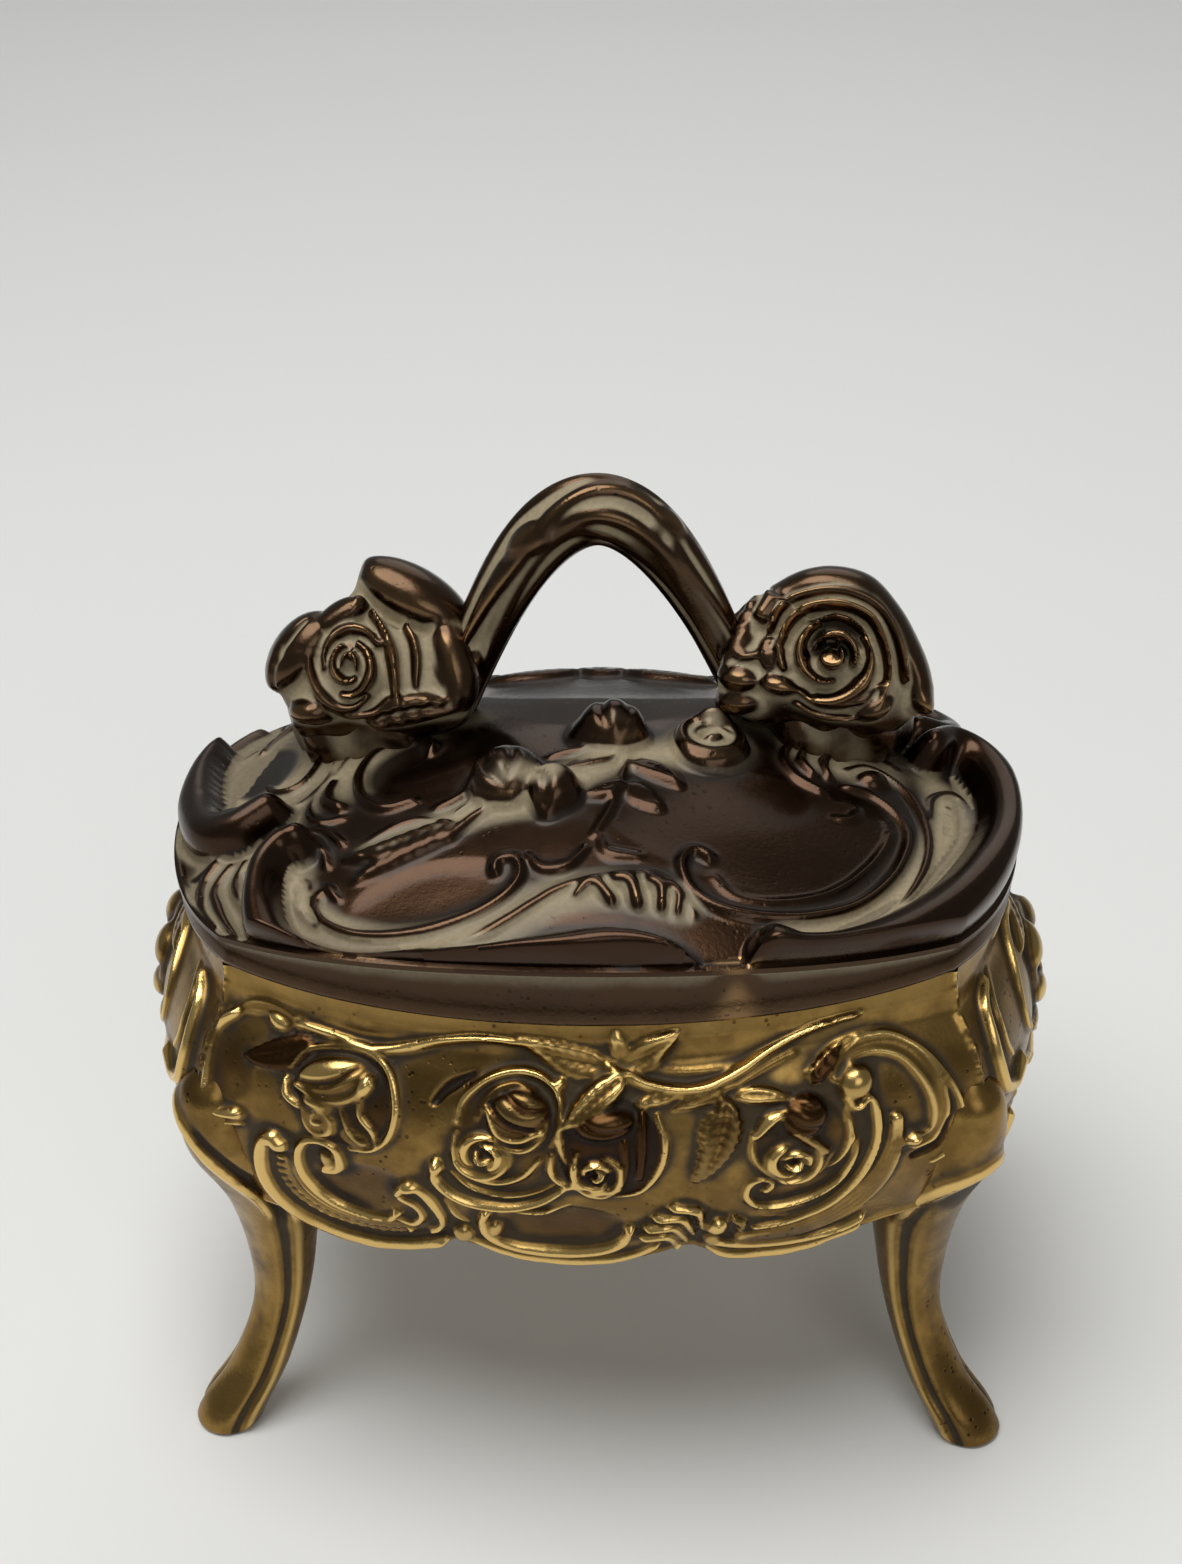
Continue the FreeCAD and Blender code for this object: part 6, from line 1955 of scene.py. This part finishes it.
LEFT_ROSE_CENTRE: Spot = (-31.6, 9.0, 100.3)
LEFT_ROSE_EDGE: tuple[Point, ...] = (
    # the mass's outline on its face, from the leaf at the right round by the top
    (16.2, -2.4), (15.4, 3.0), (13.0, 6.6), (8.2, 10.2), (3.6, 12.6), (0.8, 13.0), (-1.2, 9.6),
    (-4.2, 6.8), (-8.0, 5.2), (-10.2, 1.6), (-11.4, -3.4), (-9.8, -7.4), (-8.0, -10.8), (-2.6, -11.2),
    (1.8, -11.4), (9.0, -11.0), (15.4, -8.4),
)
LEFT_ROSE: tuple[Shape, ...] = (
    # Smooth hood over the top
    Lobe((7.0, 7.8), (8.4, 3.2), 3.6, -30.0),
    Stroke(((0.4, 8.8), (4.0, 5.4), (9.0, 3.4), (13.2, 2.4)), 0.9, 1.2, (0.4, 0.4), GROOVE),
    # Left petal with its fold, short petal over the heart
    Lobe((-7.5, 0.8), (6.2, 3.2), 2.8, 50.0),
    Stroke(((-10.2, -3.6), (-8.8, -0.4), (-5.6, 3.8)), 0.55, 1.0, (0.3, 0.3), GROOVE),
    Stroke(((-5.4, -3.0), (-5.6, 0.4), (-3.6, 3.4)), 0.8, 1.9, (0.3, 0.4)),
    Lobe((-1.9, 4.8), (4.2, 1.9), 2.7, 32.0),
    # Rolled heart
    Lobe((-0.4, -1.6), (5.0, 5.6), 1.2),
    RolledHeart((-0.4, -1.6), (4.7, 5.6), 5, 200.0),
    # Upright blades at the right, the slab of the last petal
    Stroke(((2.2, 5.2), (4.3, 1.4), (5.1, -2.4), (5.4, -6.6)), 1.1, 2.7, (0.5, 0.4)),
    Stroke(((6.6, 4.2), (7.9, 0.4), (8.0, -4.6)), 0.8, 1.5),
    Lobe((12.4, -0.8), (6.4, 2.6), 2.9, -76.0),
    Stroke(((9.4, 3.8), (10.2, -0.4), (11.6, -4.2)), 0.5, 1.0, (0.4, 0.4), GROOVE),
    # Bean petal, ridge under the heart and the leaf
    Lobe((-5.6, -7.2), (3.2, 1.6), 2.4, -12.0),
    Stroke(((-4.8, -4.6), (-1.6, -7.3), (2.2, -7.3), (4.6, -5.6)), 0.9, 2.0, (0.4, 0.5)),
    Leaf((1.4, -8.4), (15.4, -6.2), 2.0, 1.9, 0.6, 7, 0.03),
)
RIGHT_ROSE_CENTRE: Spot = (31.8, 9.0, 102.1)
RIGHT_ROSE_EDGE: tuple[Point, ...] = (
    # the mass's outline on its face, from the right round by the top
    (11.4, -4.4), (10.4, -1.6), (8.6, 1.6), (7.0, 4.3), (4.1, 8.0), (-0.1, 9.4), (-3.6, 9.0), (-7.4, 6.8),
    (-9.8, 7.2), (-12.0, 4.8), (-15.4, -0.2), (-16.0, -6.0), (-11.4, -10.0), (-5.1, -10.6), (-0.5, -12.2),
    (6.2, -12.4), (11.6, -8.4),
)
RIGHT_ROSE: tuple[Shape, ...] = (
    # Nested hoods
    Stroke(((-9.0, 3.4), (-6.4, 6.6), (-0.4, 8.0), (4.6, 6.4), (7.8, 2.2), (10.2, -3.2), (10.6, -7.0)),
            2.3, 2.6, (0.5, 0.5), ROUND),
    Stroke(((-8.4, 1.4), (-5.8, 4.8), (-0.4, 6.0), (4.2, 4.6), (6.9, 0.8), (8.4, -4.4)), 1.2, 3.0),
    Stroke(((-6.6, -3.4), (-6.9, 0.4), (-4.6, 3.6), (-0.4, 4.5), (3.6, 3.2), (5.4, 0.2), (6.2, -3.8),
            (5.2, -7.0)), 1.0, 3.0, (0.5, 0.4)),
    Stroke(((-3.6, 2.6), (-0.2, 3.2), (2.8, 1.8), (4.2, -1.2)), 0.6, 2.5, (0.3, 0.4)),
    # Cup, its dark hollow and the eye
    Lobe((-0.5, 0.6), (4.2, 3.2), -1.2, dark=0.6),
    RolledHeart((-0.7, -1.6), (5.2, 5.0), 4, 60.0),
    Lobe((-0.9, -2.3), (1.7, 1.5), 3.0, 20.0),
    # Spiral lip and the petals under it
    Stroke(((5.4, -5.0), (2.4, -7.2), (-2.0, -7.4), (-5.6, -5.4)), 0.9, 2.2),
    Lobe((4.6, -8.0), (2.8, 1.5), 2.2, 25.0),
    Stroke(((-5.2, -7.4), (-1.6, -8.8), (2.2, -9.2)), 0.8, 1.8, (0.4, 0.5)),
    # Leaves at the handle's foot
    Leaf((-14.0, -2.2), (-9.4, 7.0), 2.1, 2.2, 0.5, 6, 0.03),
    Lobe((-11.8, -0.9), (2.4, 1.3), 2.3, -25.0),
    Lobe((-12.4, -4.0), (2.8, 1.8), 2.4, -25.0),
    Lobe((-12.8, -7.0), (2.8, 1.5), 2.2, -15.0),
    Lobe((-7.4, -5.2), (2.6, 1.4), 2.2, -15.0),
    Lobe((-8.6, -1.6), (1.6, 2.6), 1.6, 10.0),
)


@dataclass
class Branch:
    """The arched branch handle: round, ridged along its length and knotted."""

    piece: Piece
    middle: float = 0.7
    behind: float = 10.0
    span: float = 21.0
    foot: float = 90.0
    rise: float = 32.2
    arch: float = 1.95
    top_radius: float = 4.5
    foot_radius: float = 2.5
    lean: float = 0.1
    ease: float = 0.35
    bark_scale: Point = (4.0, 48.0)
    ridge_reach: int = 4
    ridge_depth: float = 0.6
    columns: int = 90
    rows: int = 190

    def build(self, material: Finish) -> Thing:
        """Shapes the branch.

        Args:
            material: Its finish.

        Returns:
            The object.
        """
        bm, a, b = laid_grid(self.columns, self.rows)
        s = np.sin(b * math.pi / 2) * self.ease + b * (1 - self.ease)
        phi = math.pi * a
        relief = Relief(phi * self.bark_scale[0], s * self.bark_scale[1])
        relief.draw(self._bark())
        ridges = 0.30 * np.cos(5 * phi + 2.2 * s + 0.5) + 0.16 * np.cos(9 * phi - 3.0 * s)
        relief.height += ridges * (1 - 0.5 * np.abs(s) ** 4)
        relief.height = matched(spread_out(relief.height, 1))
        fall = np.abs(s) ** self.arch
        slope = self.arch * self.rise * np.sign(s) * np.abs(s) ** (self.arch - 1) / self.span
        norm = np.hypot(1.0, slope)
        radius = self.foot_radius + (1 - s**2) * (self.top_radius - self.foot_radius)
        radius = radius * (1 - self.lean * s) + relief.height
        x = self.middle + self.span * s + radius * np.cos(phi) * slope / norm
        z = self.foot + self.rise * (1 - fall) + radius * np.cos(phi) / norm
        y = self.behind + radius * np.sin(phi)
        ridge = matched(relief.ridges(self.ridge_reach, self.ridge_depth))
        lay(bm, np.stack([x, y, z], axis=-1), {"ridge": ridge})
        close_tube(bm)
        return self.piece.deliver(bm, material)

    @staticmethod
    def _bark() -> tuple[Shape, ...]:
        """Long ridges, grooves and knots of the bark."""
        return (
            Stroke(((-3.0, -46.0), (-5.0, -20.0), (-2.0, 4.0), (-4.0, 24.0), (-2.0, 46.0)),
            1.3, 0.7), Stroke(((4.0, -44.0), (2.6, -16.0), (5.0, 10.0), (3.0, 44.0)),
            1.2, 0.6), Stroke(((-8.0, -40.0), (-7.0, -10.0), (-9.0, 12.0), (-7.4, 40.0)),
            1.2, 0.55), Stroke(((8.6, -36.0), (7.4, 0.0), (9.0, 36.0)),
            1.2, 0.55), Lobe((-4.0, -17.0), (2.2, 4.6), 0.8, 8.0),
            Lobe((-2.6, 15.0), (2.0, 4.0), 0.7, -6.0),
            Lobe((-6.0, -39.0), (1.8, 2.6), 1.2),
        )


# Lining


@dataclass
class Pads:
    """Padded satin: a floor pad, four wall pads and a lid pad."""

    fill: float = 0.7
    broad: tuple[int, int] = (96, 70)
    narrow: tuple[int, int] = (80, 44)
    floor_inset: float = 1.7
    floor_edge: float = 46.5
    floor_swell: float = 1.7
    floor_crown: float = 0.35
    floor_pucker: float = 0.18
    # inset and height of each row round the floor pad's edge
    floor_rim: Sequence[Point] = ((1.6, 45.6), (1.8, 44.8), (2.4, 44.65))
    floor_behind: Sequence[float] = (0.6, 0.1)
    wall_heights: Point = (44.7, 74.4)
    wall_share: float = 0.985
    wall_behind: Sequence[float] = (0.7, 0.3, 0.05)
    lid_inset: float = 2.5
    lid_behind: Sequence[float] = (0.8, 0.4, 0.05)
    # distances of a pad's back and of its front's edge off the metal, its swell and the depth of its puckers
    wall_pad: tuple[float, ...] = (-2.15, -2.9, 1.4, 0.16)
    lid_pad: tuple[float, ...] = (-2.35, -3.2, 1.5, 0.2)

    def floor(self, material: Finish, lid: LidDome) -> Thing:
        """The crowned pad on the bottom sheet.

        Args:
            material: Its finish.
            lid: Gives the bowed plan.

        Returns:
            The object.
        """
        bm, a, b = laid_grid(*self.broad)
        x, y = lid.plan(a, b, self.floor_inset)
        edge = 1 - np.maximum(np.abs(a), np.abs(b)) ** 8
        pucker = self.floor_pucker * np.sin(x * 1.1 + 0.6 * np.sin(y * 0.5)) * np.abs(b) ** 4
        pucker += self.floor_pucker * np.sin(y * 1.1 + 0.6 * np.sin(x * 0.5)) * np.abs(a) ** 4
        z = self.floor_edge + self.floor_swell * np.sqrt(np.maximum(edge, 0.0))
        z = z + self.floor_crown * (1 - a**2) * (1 - b**2) + pucker * np.sqrt(edge)
        lay(bm, np.stack([x, y, z], axis=-1), {})
        edges = open_edges(bm)
        for row in self.floor_rim:
            edges = ring(bm, edges, lambda a, b, lift, row=row: lid.level(a, b, *row))
        close_behind(bm, edges, self.floor_behind, lambda a, b: lid.level(a, b, *self.floor_rim[-1]))
        return self._declare(Piece("floor_pad", Body.BOX, "satin"), bm, material)

    def wall(self, node: str, side: Side, material: Finish) -> Thing:
        """A pad on the inside of one wall.

        Args:
            node: The pad's node.
            side: Plan of the wall.
            material: Its finish.

        Returns:
            The object.
        """
        low, high = self.wall_heights
        back, front, swell, depth = self.wall_pad
        bm, a, b = laid_grid(*self.narrow)

        def place(a: Array, b: Array, lift: Array) -> Array:
            """Points off the wall's face."""
            return side.place(a * self.wall_share, low + (b + 1) / 2 * (high - low), lift)

        full = np.sqrt(np.maximum(1 - np.maximum(np.abs(a) ** 10, np.abs(b) ** 8), 0.0))
        pucker = depth * np.sin(30 * a + 0.8 * np.sin(4 * b)) * np.abs(b) ** 3
        lay(bm, place(a, b, front - (swell + pucker) * full), {})
        self._close(bm, place, back, self.wall_behind)
        return self._declare(Piece(node, Body.BOX, "satin"), bm, material)

    def lid(self, material: Finish, lid: LidDome) -> Thing:
        """The domed pad inside the lid.

        Args:
            material: Its finish.
            lid: The lid that it sits in.

        Returns:
            The object.
        """
        back, front, swell, depth = self.lid_pad
        bm, a, b = laid_grid(*self.broad)

        def place(a: Array, b: Array, lift: Array) -> Array:
            """Points off the dome."""
            x, y = lid.plan(a, b, self.lid_inset)
            return lid.place(x, y, lift)

        full = np.sqrt(np.maximum(1 - np.maximum(np.abs(a) ** 10, np.abs(b) ** 10), 0.0))
        pucker = depth * np.sin(26 * a) * np.abs(b) ** 4 + depth * np.sin(20 * b) * np.abs(a) ** 4
        lay(bm, place(a, b, front - (swell + pucker) * full), {})
        self._close(bm, place, back, self.lid_behind)
        return self._declare(Piece("lid_lining", Body.LID, "satin"), bm, material)

    @staticmethod
    def _close(bm: Mesh, place: Placer, back: float, scales: Sequence[float]) -> None:
        """Gives a pad its back, at that distance off the metal, in rows drawn in to its middle."""
        edges = ring(bm, open_edges(bm), lambda a, b, lift: place(a, b, np.full_like(a, back)))
        close_behind(bm, edges, scales, lambda a, b: place(a, b, np.full_like(a, back)))

    def _declare(self, piece: Piece, bm: Mesh, material: Finish) -> Thing:
        """Delivers a pad.

        Args:
            piece: Where the pad belongs.
            bm: Its mesh.
            material: Its finish.

        Returns:
            The object.
        """
        made = piece.deliver(bm, material)
        return made


# Studio


@dataclass
class Studio:
    """Pale floor, soft light and the camera."""

    focal: float = 2343.9
    pitch: float = 31.3
    height: float = 249.15
    distance: float = 266.9
    azimuth: float = 2.66
    roll: float = -1.05
    shift: float = 3.44
    sensor: float = 36.0
    floor_half: float = 6.0
    floor_scale: float = 6.0
    floor_pale: Colour = (0.77, 0.77, 0.75)
    floor_worn: Colour = (0.73, 0.73, 0.715)
    floor_rough: float = 0.55
    aim: Spot = (0.0, 0.0, 0.06)
    sky: Colour = (0.60, 0.61, 0.60)
    sky_strength: float = 0.34

    def camera(self) -> Thing:
        """Sets up the camera.

        Returns:
            The camera.
        """
        az, p, r = (math.radians(angle) for angle in (self.azimuth, self.pitch, self.roll))
        ahead = Vector((-math.sin(az) * math.cos(p), math.cos(az) * math.cos(p), -math.sin(p)))
        right = Vector((math.cos(az), math.sin(az), 0.0))
        up = right.cross(ahead)
        turned_right = right * math.cos(r) + up * math.sin(r)
        turned_up = up * math.cos(r) - right * math.sin(r)
        data = bpy.data.cameras.new("camera")
        data.sensor_width = self.sensor
        data.lens = self.focal * self.sensor / PHOTO_HEIGHT
        data.shift_x = -self.shift / PHOTO_HEIGHT
        made = bpy.data.objects.new("camera", data)
        spot = Vector((self.distance * math.sin(az), -self.distance * math.cos(az), self.height)) * MM
        turn = Matrix((turned_right, turned_up, -ahead)).transposed()
        made.matrix_world = Matrix.Translation(spot) @ turn.to_4x4()
        bpy.context.scene.collection.objects.link(made)
        bpy.context.scene.camera = made
        return made

    def floor(self) -> Thing:
        """Lays the pale floor.

        Returns:
            The floor.
        """
        bm = bmesh.new()
        bmesh.ops.create_grid(bm, x_segments=1, y_segments=1, size=self.floor_half)
        mesh = bpy.data.meshes.new("floor")
        bm.to_mesh(mesh)
        bm.free()
        board = Board("floor")
        cloud = board.grain(self.floor_scale, 3.0)
        tone = board.blend(cloud * 0.5, self.floor_pale, self.floor_worn)
        mesh.materials.append(board.close({"Base Color": tone, "Roughness": self.floor_rough}))
        made = bpy.data.objects.new("floor", mesh)
        bpy.context.scene.collection.objects.link(made)
        return made

    def lamps(self) -> None:
        """Hangs the soft lights."""
        for name, spot, size, power in (
            ("overhead", (-0.25, -0.15, 1.3), 1.1, 15.0),
            ("front", (0.5, -1.2, 0.9), 0.9, 3.0),
            ("back", (0.1, 1.1, 1.0), 1.0, 2.5),
        ):
            data = bpy.data.lights.new(name, "AREA")
            data.shape = "DISK"
            data.size = size
            data.energy = power
            made = bpy.data.objects.new(name, data)
            made.location = spot
            ahead = Vector(self.aim) - Vector(spot)
            made.rotation_euler = ahead.to_track_quat("-Z", "Y").to_euler()
            bpy.context.scene.collection.objects.link(made)

    def world(self) -> None:
        """Sets the pale surroundings."""
        world = bpy.data.worlds.new("surroundings")
        world.use_nodes = True
        back = world.node_tree.nodes["Background"]
        back.inputs["Color"].default_value = (*self.sky, 1.0)
        back.inputs["Strength"].default_value = self.sky_strength
        bpy.context.scene.world = world
        bpy.context.scene.view_settings.view_transform = "Standard"


# Assembly


@dataclass
class Casket:
    """The whole casket, piece by piece."""

    lid: LidDome = field(default_factory=lambda: LidDome(Piece("lid_shell", Body.LID, "bronzed_casting")))

    def build_box(self, gilt: Finish) -> None:
        """Walls and legs.

        Args:
            gilt: Their finish.
        """
        for node, side, arc, apron, ornament, columns, rows in (
            ("front_panel", FRONT, LONG_ARC, FRONT_APRON, FRONT_ORNAMENT, 400, 186),
            ("back_panel", BACK, LONG_ARC, FRONT_APRON, FRONT_ORNAMENT, 330, 150),
            ("left_end_panel", LEFT, SHORT_ARC, END_APRON, END_ORNAMENT, 230, 160),
            ("right_end_panel", RIGHT, SHORT_ARC, END_APRON, END_ORNAMENT, 230, 160),
        ):
            piece = Piece(node, Body.BOX, "gilt_casting")
            Wall(piece, side, apron, ornament, columns, rows, side is BACK, arc).build(gilt)
        for node, side_x, side_y, knee in (
            ("front_left_leg", -1, -1, LEFT_KNEE),
            ("front_right_leg", 1, -1, RIGHT_KNEE),
            ("back_left_leg", -1, 1, RIGHT_KNEE),
            ("back_right_leg", 1, 1, LEFT_KNEE),
        ):
            Leg(Piece(node, Body.BOX, "gilt_casting"), side_x, side_y, knee).build(gilt)

    def build_lid(self, bronzed: Finish) -> None:
        """Lid, roses and handle.

        Args:
            bronzed: Their finish.
        """
        self.lid.build(bronzed)
        Branch(Piece("handle_branch", Body.LID, "bronzed_casting")).build(bronzed)
        for node, centre, edge, petals in (
            ("left_rose", LEFT_ROSE_CENTRE, LEFT_ROSE_EDGE, LEFT_ROSE),
            ("right_rose", RIGHT_ROSE_CENTRE, RIGHT_ROSE_EDGE, RIGHT_ROSE),
        ):
            piece = Piece(node, Body.LID, "bronzed_casting")
            Rose(piece, centre, edge, petals, self.lid).build(bronzed)

    def build_lining(self, satin: Finish) -> None:
        """Satin pads.

        Args:
            satin: Their finish.
        """
        pads = Pads()
        pads.floor(satin, self.lid)
        for node, side in (
            ("front_lining", FRONT),
            ("back_lining", BACK),
            ("left_lining", LEFT),
            ("right_lining", RIGHT),
        ):
            pads.wall(node, side, satin)
        pads.lid(satin, self.lid)

    @staticmethod
    def dress(nodes: Sequence[str], material: Finish) -> None:
        """Gives carried-over nodes their finish.

        Args:
            nodes: Names of the nodes.
            material: Their finish.
        """
        for node in nodes:
            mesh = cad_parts[node].data
            mesh.materials.clear()
            mesh.materials.append(material)
            LOG.info("%s: dressed", node)


def main() -> None:
    """Builds the casket and its studio."""
    logging.basicConfig(level=logging.INFO, format="%(name)s %(message)s")
    studio = Studio()
    studio.camera()
    studio.floor()
    studio.lamps()
    studio.world()
    casket = Casket()
    casket.build_box(GILT.material())
    casket.build_lid(BRONZED.material())
    casket.build_lining(SATIN.material())
    casket.dress(("bottom_plate",), BOTTOM_SHEET.material())
    casket.dress(("body_hinge_leaf", "lid_hinge_leaf", "hinge_pin"), HINGE_BRASS.material())


if __name__ == "__main__":
    main()
